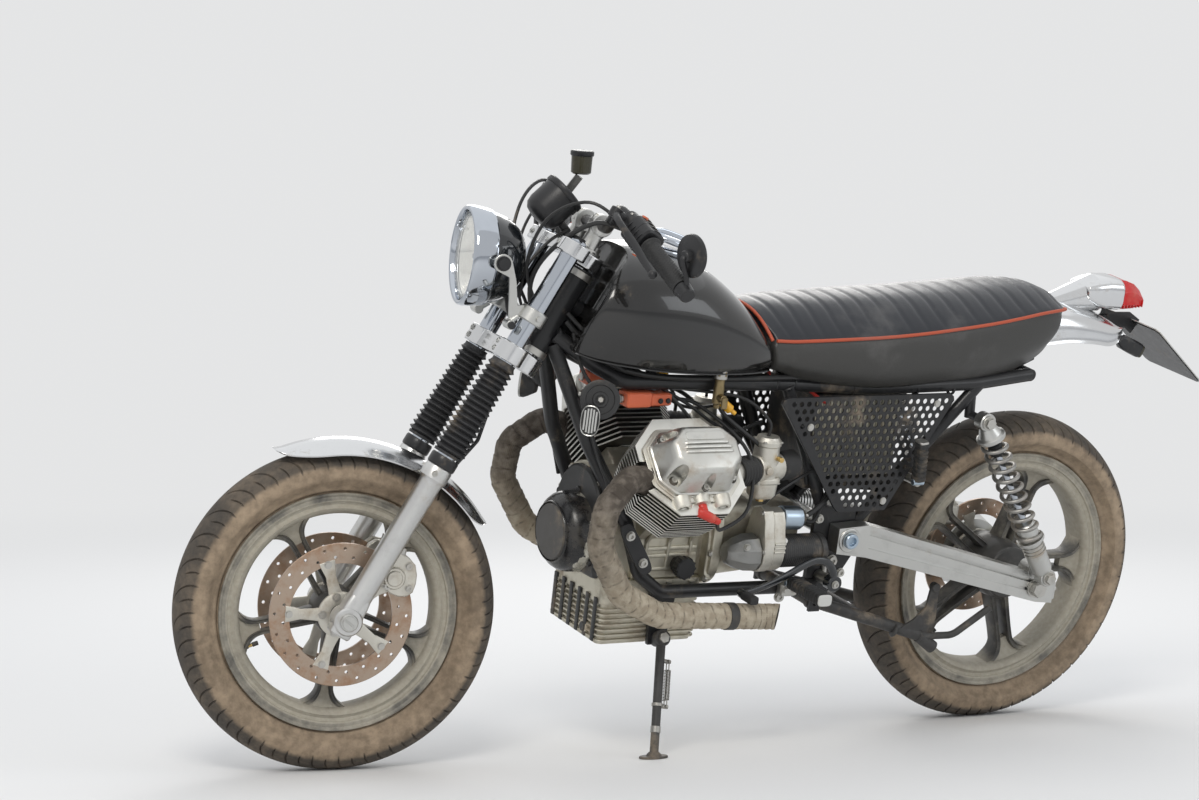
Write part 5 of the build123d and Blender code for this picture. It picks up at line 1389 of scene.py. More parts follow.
def make_tank():
    rings = []
    for x, half, low, wide, top in table_curve(TANK, 7):
        quarter = []
        for k in range(17):
            # From the crown down to the widest line
            t = pi / 2 * (1 - k / 16)
            quarter.append((half * cos(t) ** 0.86, wide + (top - wide) * sin(t) ** 0.92))
        for k in range(1, 9):
            u = k / 8
            quarter.append((half * (1 - 0.13 * u ** 2.2), wide - (wide - low - 4) * u))
        quarter += [(half * 0.875 + 2.6, low + 3), (half * 0.875 + 2.6, low + 0.8), (half * 0.86, low),
            (half * 0.5, low + 3), (31, low + 4), (0, low + 4)]
        ring = [vec(x, y, z) for y, z in quarter] + [vec(x, -y, z) for y, z in reversed(quarter[1:-1])]
        fixed = []
        for p in ring:
            head = FORK_FOOT.x + steer_up.x * (p.z - FORK_FOOT.z) / steer_up.z
            # The nose parts round the steering head, and the back ends at the seat
            limit = head - 47 + 0.3 * max(0.0, abs(p.y) - 40) + 14 * ease((abs(p.y) - 55) / 45)
            seam = SEAM_X + (p.z - SEAM_Z) * SEAM_LEAN + 1.5
            fixed.append(vec(max(min(p.x, limit), seam), p.y, p.z))
        rings.append(fixed)
    tank = Shape().skin(rings)
    build("tank_shell", tank, "tank", "fuel_tank", angle=42)
    # Base of the cap and the studs of the taps
    neck = Shape()
    tilt = unit((-0.19, 0, 0.98))
    at = vec(866, 0, 650)
    neck.turned(at, tilt, [(-14, 0), (-14, 40), (-3, 42), (-0.5, 41), (0.5, 38), (0.5, 0)], 56, 0)
    # Fixed half of the cap's hinge, ahead of the lid
    neck.rods(((913, -17, 662), (913, 17, 662), 8, 8, 0, 28, 1.5), ((911, 0, 648), (913, 0, 660), 15, 12, 0, 28, 1.5))
    for s in (1, -1):
        neck.rod((778, s * 110, 430), (778, s * 110, 456), 13, 13, 1, 24, 1)
    build("filler_base", neck, "chrome steel")


def make_cap():
    """Flip-up filler cap: a domed oval lid, its lever and the knob of its hinge."""
    tilt = unit((-0.3, 0, 0.954))
    along = unit((0.954, 0, 0.3))
    cap = Shape()
    at = vec(856, 0, 654)
    rings = []
    for h, grow in ((2, 0.9), (3, 0.97), (5, 1.0), (9, 1.0), (11, 0.98), (13.5, 0.9), (15.5, 0.74), (16.6, 0.5),
            (17, 0.2)):
        ring = []
        for k in range(56):
            a = 2 * pi * k / 56
            c, s = cos(a), sin(a)
            reach = (43 if c > 0 else 50) * grow
            x, y = abs(c) ** 0.8 * reach, abs(s) ** 0.86 * 37 * grow
            ring.append(at + tilt * h + along * (x if c > 0 else -x) + SIDE * (y if s > 0 else -y))
        rings.append(ring)
    cap.skin(rings)
    # Raised rib of the lever and the hinge's knuckles
    rib = [(at + tilt * h + along * x) for x, h in ((-56, 8), (-46, 13), (-20, 17.5), (20, 17.5), (34, 15), (42, 12))]
    cap.sweep(along_curve(rib, 4), oval(15, 5, 14, 0.6), 0, hint=SIDE)
    hinge = vec(901, 0, 667)
    cap.rod(hinge - SIDE * 14, hinge + SIDE * 14, 4.6, 4.6, 0, 20, 0.6)
    build("flip_cap", cap, "chrome", "fuel_cap", "fuel_cap", 40)


PLEATS = 19
PLEAT_CELLS = 6
TOP_CELLS = 20
SIDE_CELLS = 9
PIPING_R = 3.3
# How far the leather may swell, in metres, and for how many steps the pressure works
TOP_SWELL = 0.0065
SIDE_SWELL = 0.009
FILL_STEPS = 20


def seat_rows():
    """The seat's table at each column of its grid, evenly spaced along its length."""
    rows = table_curve(SEAT, 12)
    run = [0.0]
    for a, b in zip(rows, rows[1:]):
        run.append(run[-1] + sqrt((a[0] - b[0]) ** 2 + (a[1] - b[1]) ** 2 * 0.5))
    columns = PLEATS * PLEAT_CELLS + 4
    made = []
    for n in range(columns + 1):
        want = run[-1] * n / columns
        k = next((i for i in range(len(run) - 1) if run[i + 1] >= want - 1e-9), len(run) - 2)
        t = (want - run[k]) / (run[k + 1] - run[k])
        made.append(tuple(lerp(p, q, t) for p, q in zip(rows[k], rows[k + 1])))
    return made


def seat_cover():
    """Rings across the seat's cover, 1 for each point that is sewn down, and the line of the left piping."""
    rings, held, piping = [], [], []
    for n, (x, half, pipe_z, crown, low) in enumerate(seat_rows()):
        front = ease((x - 600) / 90)
        ring, hold = [], []
        sewn = n % PLEAT_CELLS == 0

        def put(y, z, fixed):
            shift = front * (SEAM_LEAN * (z - SEAM_Z) - 14) if front else 0
            ring.append(vec(x + shift, y, z))
            hold.append(1.0 if fixed else 0.0)

        end = ease((16 + x) / -18 + 1) if x < -16 else 0.0
        for k in range(TOP_CELLS + 1):
            u = -1 + 2 * k / TOP_CELLS
            z = pipe_z + (crown - pipe_z) * (1 - abs(u) ** 2.6)
            # The sewn lines lie a little lower and bend forward near the piping
            dip = 3.2 * (1 - abs(u) ** 8) if sewn else 0.0
            put(u * half, z - dip, sewn or abs(u) == 1)
            ring[-1].x += -9 * ease((abs(u) - 0.72) / 0.28) * (1 - end)
        side = []
        for k in range(1, SIDE_CELLS + 1):
            t = k / SIDE_CELLS
            bulge = 5.5 * sin(pi * min(1, t * 1.15)) if t < 0.87 else 0
            y = half + bulge - 16 * ease((t - 0.62) / 0.38)
            side.append((max(y, 6.0), lerp(pipe_z, low, t), t))
        for y, z, t in side:
            put(y, z, t > 0.8)
        for y in (0.66, 0.33, 0.0, -0.33, -0.66):
            put(side[-1][0] * y, low + 1.5, True)
        for y, z, t in reversed(side):
            put(-y, z, t > 0.8)
        rings.append(ring)
        held.append(hold)
        shift = front * (SEAM_LEAN * (pipe_z - SEAM_Z) - 14) if front else 0
        piping.append((x + shift + -9 * (1 - end), half, pipe_z))
    return rings, held, piping


def fill_leather(mesh, held, ring_size):
    """Pressure fills the cover between its sewn lines."""
    before = [v.co.copy() for v in mesh.vertices]
    filled = bpy.data.objects.new("seat_filling", mesh)
    bpy.context.scene.collection.objects.link(filled)
    pins = filled.vertex_groups.new(name="sewn")
    pins.add([i for i, h in enumerate(held) if h], 1.0, "REPLACE")
    cloth = filled.modifiers.new("Filling", "CLOTH")
    for name, value in (("vertex_group_mass", "sewn"), ("use_pressure", True), ("uniform_pressure_force", 3.0),
            ("quality", 6), ("tension_stiffness", 18), ("compression_stiffness", 18), ("bending_stiffness", 0.6)):
        setattr(cloth.settings, name, value)
    cloth.settings.effector_weights.gravity = 0
    cloth.point_cache.frame_start = 1
    cloth.point_cache.frame_end = FILL_STEPS
    for step in range(1, FILL_STEPS + 1):
        bpy.context.scene.frame_set(step)
    puffed = filled.evaluated_get(bpy.context.evaluated_depsgraph_get())
    moved = [v.co.copy() for v in puffed.data.vertices]
    filled.modifiers.remove(cloth)
    bpy.context.scene.frame_set(1)
    bpy.data.objects.remove(filled)
    for i, v in enumerate(mesh.vertices):
        step = moved[i] - before[i]
        limit = TOP_SWELL if i % ring_size <= TOP_CELLS else SIDE_SWELL
        if step.length > limit:
            step = step * (limit / step.length)
        v.co = before[i] + step


def make_seat():
    """A pleated top and plain sides: the sewn lines are held while cloth pressure fills the leather between them."""
    rings, held, piping = seat_cover()
    ring_size = len(rings[0])
    shape = Shape().skin(rings)
    mesh = bpy.data.meshes.new("seat_cover")
    mesh.from_pydata(shape.points, [], shape.faces)
    # The top panel is the faces between the two rows of piping
    top = [len(face) == 4 and face[0] % ring_size < TOP_CELLS for face in shape.faces]
    mesh.polygons.foreach_set("material_index", [0 if t else 1 for t in top])
    welded(mesh, 0)
    mesh.transform(Matrix.Scale(MM, 4))
    fill_leather(mesh, [h for ring in held for h in ring], ring_size)
    mesh.transform(Matrix.Scale(1 / MM, 4))
    place(mesh, "root")
    seat = into_scene("pleated_seat", mesh, "seat_top seat_side", "root", "seat", 180)
    soft = seat.modifiers.new("Rounding", "SUBSURF")
    soft.levels = soft.render_levels = 1
    cord = Shape()
    left_row = [vec(x - 0.5, y + 1.2, z + 0.6) for x, y, z in piping]
    cord.tube(left_row + [vec(p.x, -p.y, p.z) for p in reversed(left_row)], PIPING_R, 0, 10)
    # Over the crown, along the seam with the tank
    (x, half, low), crown = piping[0], SEAT[0][3]
    across = []
    for t in range(21):
        y, z = half * cos(pi * t / 20), low + (crown - low) * (1 - abs(cos(pi * t / 20)) ** 2.6) + 1
        across.append(vec(0, y, z))
        across[-1].x = SEAM_X + (across[-1].z - SEAM_Z) * SEAM_LEAN - 1
    cord.tube(across, PIPING_R, 0, 10)
    build("seat_piping", cord, "piping")


def make_tail():
    blade = Shape()
    rings = []
    # Place, half width, lower lip, crown
    rows = along_curve([(34, 70, 470), (0, 72, 474), (-40, 71, 477), (-82, 69, 475), (-120, 65, 471), (-153, 60, 466),
        (-178, 54, 470), (-194, 47, 484)], 5)
    tops = along_curve([(34, 540, 0), (0, 549, 0), (-40, 548, 0), (-82, 540, 0), (-120, 531, 0), (-153, 521, 0),
        (-178, 510, 0), (-194, 498, 0)], 5)
    for r, t in zip(rows, tops):
        x, half, low, top = r.x, r.y, r.z, t.y
        outer = []
        for k in range(13):
            a = pi / 2 * k / 12
            outer.append((half * sin(a) ** 0.8, lerp(low + 16, top, cos(a) ** 0.9)))
        outer += [(half + 0.4, low + 8), (half + 2.5, low + 3), (half + 3.5, low + 1), (half + 2.5, low)]
        inner = [(half - 1.5, low + 1.2)] + [(max(0.0, y - 2.4), z - 2.4) for y, z in reversed(outer[:13])]
        section = outer + inner
        ring = [vec(x, y, z) for y, z in section] + [vec(x, -y, z) for y, z in reversed(section[1:-1])]
        rings.append(ring)
    blade.skin(rings)
    build("tail_blade", blade, "polished", "tail_fender", angle=45)


def make_tail_lamp():
    pod = Shape()
    a, b = vec(-14, 0, 533), vec(-142, 0, 561)
    pod.turned(a, b - a, [(0, 0), (0, 13), (3, 17), (124, 36.5), (128, 38), (131, 37.4), (131, 30), (126, 28),
        (126, 0)], 56, 0)
    rings = []
    for x, half, low, top in ((-104, 30, 556, 579), (-108, 35, 548, 584), (-130, 40, 536, 591), (-155, 43, 531, 595),
            (-182, 44.5, 530, 594), (-186, 44.5, 530, 593), (-188, 43, 531.5, 591.5)):
        mid = (low + top) / 2
        rings.append([vec(x, y, mid + z) for y, z in oval(half * 2, top - low, 28, 0.55)])
    pod.skin(rings)
    build("lamp_nacelle", pod, "polished", angle=40, bevel=0.8)
    lens = Shape()
    rings = []
    for x, half, low, top in ((-187, 42, 533, 591), (-200, 42, 533, 590), (-222, 40, 534, 583), (-240, 36, 536, 570),
            (-248, 31, 539, 559), (-251, 25, 542, 553)):
        ring = []
        for y, z in ((1, -0.62), (1, 0.3), (0.62, 1), (-0.62, 1), (-1, 0.3), (-1, -0.62), (-0.7, -1), (0.7, -1)):
            ring.append(vec(x, y * half, (low + top) / 2 + z * (top - low) / 2))
        rings.append(ring)
    lens.skin(rings)
    for k in range(7):
        # Moulded ribs across the lens
        x = -194 - k * 8
        half = 41.5 - 0.02 * k ** 2.6
        lens.sweep([(x, -half + 2, 545), (x, half - 2, 545)], oval(2.2, 20 - k, 8, 0.6), 0, hint=UPWARD)
    build("faceted_lens", lens, "red_lens", "tail_lamp", angle=20, bevel=0.8)


def make_plate():
    """The blank plate with its bracket and screws, and the stubby indicators beside it."""
    plate = Shape()
    up_plate, out_plate = vec(0.775, 0, 0.632), vec(-0.632, 0, 0.775)
    centre = vec(-318, 0, 449.5)
    corner = [(80, 88), (-80, 88), (-88, 80), (-88, -80), (-80, -88), (80, -88), (88, -80), (88, 80)]
    plate.slab(corner, centre, SIDE, up_plate, 2.0, 0, 0.4)
    plate.slab([(y * 0.97, z * 0.97) for y, z in corner], centre - out_plate * 2.2, SIDE, up_plate, 2.0, 1, 0.4)
    plate.sweep([(-170, 0, 512), (-205, 0, 503), (-240, 0, 503), (-262, 0, 489)], oval(34, 5, 12, 0.5), 1, hint=SIDE)
    plate.rod((-178, 0, 516), (-178, 0, 497), 9, 9, 1, 24, 1)
    build("blank_plate", plate, "plate plastic", "licence_plate")
    small = Shape()
    for s in (1, -1):
        body = [vec(-186, s * 50, 478), vec(-196, s * 50, 472), vec(-222, s * 50, 461), vec(-238, s * 50, 454)]
        small.sweep(body, oval(30, 27, 20, 0.55), 0, hint=SIDE, scale=[(0.6, 0.6), (0.95, 0.95), (1, 1),
            (0.96, 0.96)])
        small.sweep([vec(-238, s * 50, 454), vec(-244, s * 50, 451.5)], oval(26, 23, 20, 0.55), 1, hint=SIDE)
        small.rod((-180, s * 44, 492), (-192, s * 50, 474), 4, 4, 0, 12)
    build("tail_indicators", small, "plastic smoke", bevel=0.5)
    spots = [(vec(-262, y, 491) + out_plate * 1.2, out_plate, 3.6) for y in (-35, 35)]
    fasteners("plate_screws", "dome", spots, height=0.5)


PANEL = [(640, 396), (272, 398), (264, 393), (262, 386), (386, 172), (492, 172), (502, 182), (650, 386), (648, 392)]


def inside(outline, x, z, margin):
    """Whether a point lies inside an outline, and farther from each of its sides than the margin."""
    middle = Vector((sum(p[0] for p in outline) / len(outline), sum(p[1] for p in outline) / len(outline)))
    for a, b in zip(outline, outline[1:] + outline[:1]):
        run = Vector(b) - Vector(a)
        normal = unit((run.y, -run.x))
        if (middle - Vector(a)).dot(normal) < 0:
            normal = -normal
        if (Vector((x, z)) - Vector(a)).dot(normal) < margin:
            return False
    return True


PANEL_Y = 136
# Rows of holes stand closer than the holes in a row, and each is shifted by half a pitch
ROW_STEP = 0.87
FILTER_PLEATS = 26


def make_side_panels():
    pitch = chosen().hole_pitch / MM
    for s, name, twin in ((1, "left_side_panel", "side_panels"), (-1, "right_side_panel", None)):
        panel = Shape().slab(PANEL, (0, s * PANEL_Y, 0), *SIDE_ON, 2.6, 0, 0.6)
        spots = []
        row = 0
        z = 184.0
        while z < 392:
            x = 262.0 + (pitch / 2 if row % 2 else 0)
            while x < 652:
                if inside(PANEL, x, z, 11):
                    spots.append((vec(x, s * PANEL_Y, z), SIDE, 1.0))
                x += pitch
            z += pitch * ROW_STEP
            row += 1
        drilled(name, panel, spots, chosen().hole_radius / MM, 12, "black", twin, sides=12)


def make_panel_rims():
    """Turned-in rims and the fixings."""
    trim = Shape()
    for s in (1, -1):
        rim = [vec(x, s * 134, z) for x, z in PANEL]
        rim.append(rim[0])
        filled = []
        for a, b in zip(rim, rim[1:]):
            filled += [a.lerp(b, k / 4) for k in range(4)]
        trim.sweep(filled + [rim[0]], oval(3, 7, 8, 0.5), 0, hint=SIDE)
        for x, z in ((582, 340), (392, 190)):
            trim.rod((x, s * 104, z), (x, s * 135, z), 7, 7, 0, 20, 1)
    build("panel_rims", trim, "black")
    screws = [(vec(x, s * 137.4, z), SIDE * s, 5.5) for s in (1, -1) for x, z in ((582, 340), (392, 190), (300, 380))]
    fasteners("panel_screws", "dome", screws, height=0.5)


def make_air_filter():
    """Pale pleated air filter seen through the holes, and the black tray round it."""
    box = Shape()
    for n in range(FILTER_PLEATS):
        x = 345 + n * 7.4
        box.sweep([(x, -78, 225), (x, -78, 375)], oval(4.6, 6, 6, 0.7), 1, hint=SIDE)
        box.sweep([(x, 78, 225), (x, 78, 375)], oval(4.6, 6, 6, 0.7), 1, hint=SIDE)
    box.box((336, -76, 206), (538, 76, 384), 0, 3)
    box.box((330, -81, 200), (540, 81, 222), 0, 3)
    box.box((330, -81, 376), (540, 81, 388), 0, 3)
    build("air_filter_box", box, "cover filter", "battery_box")


# Engine

COVER_START = 254


def bank_at(s, u, v, w):
    """A point of a cylinder bank: forward, up across the bank, and out along it from the crankshaft."""
    out = vec(0, s * sin(radians(BANK_ANGLE)), cos(radians(BANK_ANGLE)))
    over = vec(0, -s * cos(radians(BANK_ANGLE)), sin(radians(BANK_ANGLE)))
    x = CYLINDER_X - (0 if s > 0 else CYLINDER_STEP)
    return vec(x + u, 0, CRANK_Z) + over * v + out * w


def bank_way(s, u, v, w):
    """A direction in a cylinder bank."""
    return (bank_at(s, u, v, w) - bank_at(s, 0, 0, 0)).normalized()


def bank_ring(s, w, width, depth, corner, round_by=6):
    """An outline across a bank, with cut and rounded corners."""
    a, b = width / 2, depth / 2
    pts = [(-a + corner, -b), (a - corner, -b), (a, -b + corner), (a, b - corner), (a - corner, b), (-a + corner, b),
        (-a, b - corner), (-a, -b + corner)]
    ring = []
    for p, q, r in zip(pts[-1:] + pts[:-1], pts, pts[1:] + pts[:1]):
        p, q, r = Vector(p), Vector(q), Vector(r)
        a1 = q + unit(p - q) * round_by
        a2 = q + unit(r - q) * round_by
        for t in (0, 0.33, 0.67, 1):
            m = a1.lerp(q, t).lerp(q.lerp(a2, t), t)
            ring.append(bank_at(s, m.x, m.y, w))
    return ring


def make_cylinders():
    level = BIKE.to_3x3().inverted()

    def side_or_edge(p, face):
        """The flat sides of the fins get a darker copy of the casting as painted shade, and their edges a lighter copy
        as painted highlight.
        """
        s = 1 if p.y > 0 else -1
        out = bank_way(s, 0, 0, 1)
        outer = (p - vec(0, 0, CRANK_Z)).dot(out) > 240
        return 1 if abs(unit(level @ face.normal).dot(out)) > 0.9 and not outer else 0

    # Each face of the fins takes painted shade or painted highlight by the way it faces
    dressed("left_and_right_cylinders", "cylinders", "fin_edge fin_gap", 0.45, pick=side_or_edge)


def make_heads():
    head = Shape()
    bolts = []
    for s in (1, -1):
        # Smooth upper casting of the head with a flange under the cover
        for low, high, a, b, c in ((226, 247.6, 158, 128, 28), (248.6, 250.6, 186, 150, 38), (247, 253.6, 170, 132,
                28)):
            stack = ((low, a - 2, b - 2, c), (low + 0.8, a, b, c), (high - 0.8, a, b, c), (high, a - 2, b - 2, c))
            head.skin([bank_ring(s, *level) for level in stack])
        # Two recessed nuts and the plug between them, on the lower face
        low = bank_way(s, 0, -1, 0)
        for u in (-42, 42):
            at = bank_at(s, u, -78, 244)
            head.turned(at, low, [(-14, 0), (-14, 19), (5, 17), (8, 15.5), (8, 11), (1, 10), (1, 0)], 32)
            bolts.append((at + low * 1.2, low, 7.4))
        at = bank_at(s, 0, -76, 243)
        head.turned(at, low, [(-14, 0), (-14, 20), (2, 17.5), (3, 13), (3, 0)], 32)
    build("cylinder_heads", head, "cast", bevel=0.8)
    fasteners("head_nuts", "hex", bolts)


def make_plug_leads():
    """Red plug caps, angled back, and their black leads to the coils."""
    leads = Shape()
    for s in (1, -1):
        low = bank_way(s, 0, -1, 0)
        at = bank_at(s, 0, -76, 243)
        bend = at + low * 20
        leads.rod(at, bend, 9.5, 9, 0, 20, 1.5)
        aside = unit((-0.86, s * 0.1, -0.4))
        leads.rods(
            (bend - aside * 14, bend + aside * 24, 9.6, 9, 0, 20, 3),
            (bend + aside * 24, bend + aside * 36, 7, 6, 0, 16, 1))
        x = bend.x
        step = 0 if s > 0 else -CYLINDER_STEP
        leads.tube(along_curve([bend + aside * 30, vec(x - 62, s * 208, 172), vec(728 + step, s * 186, 205),
            vec(722 + step, s * 150, 300), vec(800 + step, s * 88, 372), vec(866 + step, s * 78, 386)], 8), 3.6, 1,
            10)
    build("plug_caps_and_leads", leads, "red_cap cable")


def make_rocker_covers():
    trim = Shape()
    bolts = []
    for s, name, stands_for in ((1, "left_rocker_lid", "rocker_covers"), (-1, "right_rocker_lid", None)):
        out = bank_way(s, 0, 0, 1)
        over = bank_way(s, 0, 1, 0)
        across = bank_at(s, 1, 0, 0) - bank_at(s, 0, 0, 0)
        cover = Shape()
        stack = ((COVER_START, 168, 128, 30), (260, 168, 128, 30), (262, 162, 122, 28), (268, 159, 119, 28),
            (296, 148, 106, 29), (310, 138, 95, 28), (315.5, 130, 87, 26), (318, 122, 79, 24))
        cover.skin([bank_ring(s, w, a, b, c, 7) for w, a, b, c in stack])
        # Pockets of the corner screws and notches of the middle ones, cut through from the outside
        pockets = [(u, v, 1.0) for u in (-63, 63) for v in (41, -41)] + [(0, 58, 0.82), (0, -58, 0.82)]
        cuts = [(bank_at(s, u, v, 304), out, size) for u, v, size in pockets]
        drilled(name, cover, cuts, 13.5, 68, "lid", stands_for, sides=28, edge=0.9)
        for u, v, size in pockets:
            foot = bank_at(s, u * 0.985, v * 0.985, 269)
            # The bosses in the pockets take the darker casting as painted shade in the recesses
            trim.turned(foot, out, [(0, 0), (0, 9 * size), (3, 8.4 * size), (3, 0)], 24, 1)
            bolts.append((foot + out * 2, out, 5.4))
        # Plain pad, and the ribs below it
        pad = [(-38, -8), (38, -8), (41, -5), (40, 5), (36, 8), (-36, 8), (-40, 5), (-41, -5)]
        trim.slab(pad, bank_at(s, 0, 25, 318), across, over, 2.6, 0, 0.8)
        for v, half in ((11, 46), (2, 50), (-7, 50)):
            path = [bank_at(s, u, v, w) for u, w in ((-half, 316), (-half + 4, 319.5), (0, 320.5), (half - 4, 319.5),
                (half, 316))]
            trim.sweep(path, oval(4.4, 6.5, 10, 0.8), 0, hint=over)
    build("rocker_lid_ribs", trim, "lid fin_gap", bevel=0.5)
    fasteners("rocker_screws", "cap", bolts)


def make_cases():
    dressed("crankcase_casting", "crankcase", "block", 2.2)
    dressed("gearbox_casting", "gearbox", "block", 2.0)
    dressed("sump_casting", "oil_sump", "block", 0.7)
    parts = Shape()
    screws, small = [], []
    # Timing case: a flange round the crankcase's front, and the black cover on it
    outline = [(-80, 38), (80, 38), (88, 60), (89, 140), (76, 196), (50, 226), (20, 240), (-20, 240), (-50, 226),
        (-76, 196), (-89, 140), (-88, 60)]
    ring = [(p.x, p.y) for p in along_curve([(y, z, 0) for y, z in outline + outline[:1]], 4)[:-1]]
    parts.slab(ring, (961, 0, 0), *END_ON, 14, 0, 2)
    shrunk = [(y * 0.93, 132 + (z - 132) * 0.95) for y, z in ring]
    parts.slab(shrunk, (973, 0, 0), *END_ON, 14, 1, 4)
    for y, z in ((-78, 52), (78, 52), (84, 112), (-84, 112), (80, 172), (-80, 172), (52, 216), (-52, 216), (0, 232)):
        parts.rod((955, y, z), (971, y, z), 9, 9, 0, 20, 1)
        screws.append((vec(971, y, z), FORWARD, 4.6))
    # Flange between crankcase and gearbox, and the ribs of the case
    parts.slab([(y * 1.13, 96 + (z - 110) * 0.86) for y, z in ring], (741, 0, 0), *END_ON, 13, 0, 2)
    for s in (1, -1):
        for z in (58, 84, 98):
            parts.sweep([(764, s * 86, z), (892, s * 86, z)], oval(7, 9, 10, 0.6), 0, hint=UPWARD)
        for x in (778, 826, 874):
            parts.sweep([(x, s * 84, 44), (x, s * 88, 112), (x, s * 112, 146)], oval(8, 8, 10, 0.6), 0, hint=FORWARD)
        for y, z in ((104, 40), (112, 92), (104, 158)):
            small.append((vec(748, s * y, z), FORWARD, 5.2))
    for s in (1, -1):
        for x in (770, 818, 866, 914, 944):
            small.append((vec(x, s * 96, 34), (0, 0, -1), 4.6))
    parts.rods(((924, 40, -64), (960, 40, -64), 15, 15, 0, 6, 1.5), ((952, 40, -64), (962, 40, -64), 10, 9, 1, 24, 1))
    for n in range(6):
        # Upright fins on the sump's front
        y = -75 + n * 30
        parts.sweep([(958, y, -80), (960, y, 4)], oval(4, 12, 8, 0.6), 1, hint=SIDE)
    build("engine_case_parts", parts, "block cover", bevel=0.8)
    fasteners("timing_screws", "cap", screws)
    fasteners("case_screws", "hex", small)


def make_alternator_cap():
    front = Shape()
    hub = vec(0, 0, CRANK_Z)
    front.turned(hub, FORWARD, [(970.3, 0), (970.3, 77), (974, 78), (978, 76), (998, 75.4), (1010, 72.5), (1019, 67),
        (1025, 59), (1026.5, 56.5), (1026.5, 0)], 84, 0, [0.0, 1.0, 1.0, 0.9, 0.7, 0.4, 0.1, 0, 0, 0])
    # Its flat oval face stands on a step
    front.slab(oval(108, 106, 60), (1027.5, 0, CRANK_Z), *END_ON, 9, 1, 3)
    front.turned(hub, FORWARD, [(1024, 52), (1031, 55.5), (1029, 57), (1024, 57)], 84, 0)
    for k in range(3):
        a = radians(90 + 120 * k)
        front.rod((972, 81 * cos(a), CRANK_Z + 81 * sin(a)), (984, 79 * cos(a), CRANK_Z + 79 * sin(a)), 7, 7, 0, 20,
            1)
    build("alternator_cap", front, "worn_cover dusty_face", "alternator_cover", angle=40)


def make_oil_filler():
    knob = Shape()
    at = vec(800, 84, 66)
    knob.turned(at, SIDE, [(0, 0), (0, 17), (18, 17), (18, 20), (20, 21), (34, 20), (36, 18), (36, 0)], 24, 0)
    for k in range(12):
        a = 2 * pi * k / 12
        d = vec(cos(a), 0, sin(a))
        knob.rod(at + d * 19.6 + SIDE * 20, at + d * 19.2 + SIDE * 35, 2.6, 2.6, 0, 10, 0.6)
    build("oil_filler_knob", knob, "plastic")


def make_starter():
    y, z = 124, 96
    motor = Shape()
    # Faceted cast nose
    rings = []
    for x, r in ((726, 14), (721, 21), (700, 32), (690, 35), (664, 36.5), (662, 35)):
        rings.append([vec(x, y + r * cos(2 * pi * (k + 0.5) / 9), z + r * sin(2 * pi * (k + 0.5) / 9))
            for k in range(9)])
    motor.skin(rings, finish=0)
    outline = [(38 * cos(radians(t)), 38 * sin(radians(t))) for t in range(180, 361, 15)]
    outline += [(38, 24), (30, 48), (27, 66), (18, 84), (0, 90), (-18, 84), (-27, 66), (-30, 48), (-38, 24)]
    motor.slab(outline, (650, y, z), *END_ON, 22, 1, 2)
    motor.slab([(p[0] * 0.92, p[1] * 0.96) for p in outline], (626, y, z), *END_ON, 26, 1, 2)
    for zz in (104, 112, 120):
        motor.sweep([(638, y + 35, zz), (614, y + 35, zz)], oval(5, 5, 8, 0.6), 1, hint=UPWARD)
    motor.rods(
        ((612, y, z + 65), (570, y, z + 63), 22.5, 22.5, 2, 40, 1.5),
        ((570, y, z + 63), (562, y, z + 63), 20, 17, 3, 32, 1),
        ((564, y + 8, z + 70), (552, y + 8, z + 70), 4, 4, 4, 12),
        ((564, y - 8, z + 56), (552, y - 8, z + 56), 4, 4, 4, 12))
    body = [(0, 0), (0, 30.5), (4, 31)]
    for n in range(16):
        body += [(6 + n * 4.4, 31.2), (7.6 + n * 4.4, 30.4), (8.8 + n * 4.4, 31.2)]
    body += [(82, 31), (83, 28), (86, 28), (87, 31), (97, 30.5), (102, 26), (102, 0)]
    motor.turned((610, y, z - 1), (-1, 0, 0), body, 48, 3)
    build("starter", motor, "steel_dark cast zinc cover steel", "starter_motor", angle=32, bevel=0.8)
    spots = [(vec(700, y + 36, z + 22), SIDE, 5.5), (vec(661, y + 14, z + 80), FORWARD, 4.5),
        (vec(661, y + 34, z + 10), FORWARD, 4.5), (vec(608, y + 22, z + 26), (0, 1, 0.4), 4.2)]
    fasteners("starter_screws", "hex", spots)


def make_starter_wires():
    wires = Shape()
    for route, r in (([(556, 132, 166), (536, 128, 176), (500, 116, 200), (470, 100, 230)], 5),
            ([(556, 116, 152), (530, 118, 150), (510, 112, 190), (480, 96, 240)], 4),
            ([(655, 126, 190), (640, 140, 214), (600, 128, 230), (540, 110, 250)], 3)):
        wires.tube(along_curve(route, 8), r, 0, 10)
    build("starter_wires", wires, "cable")


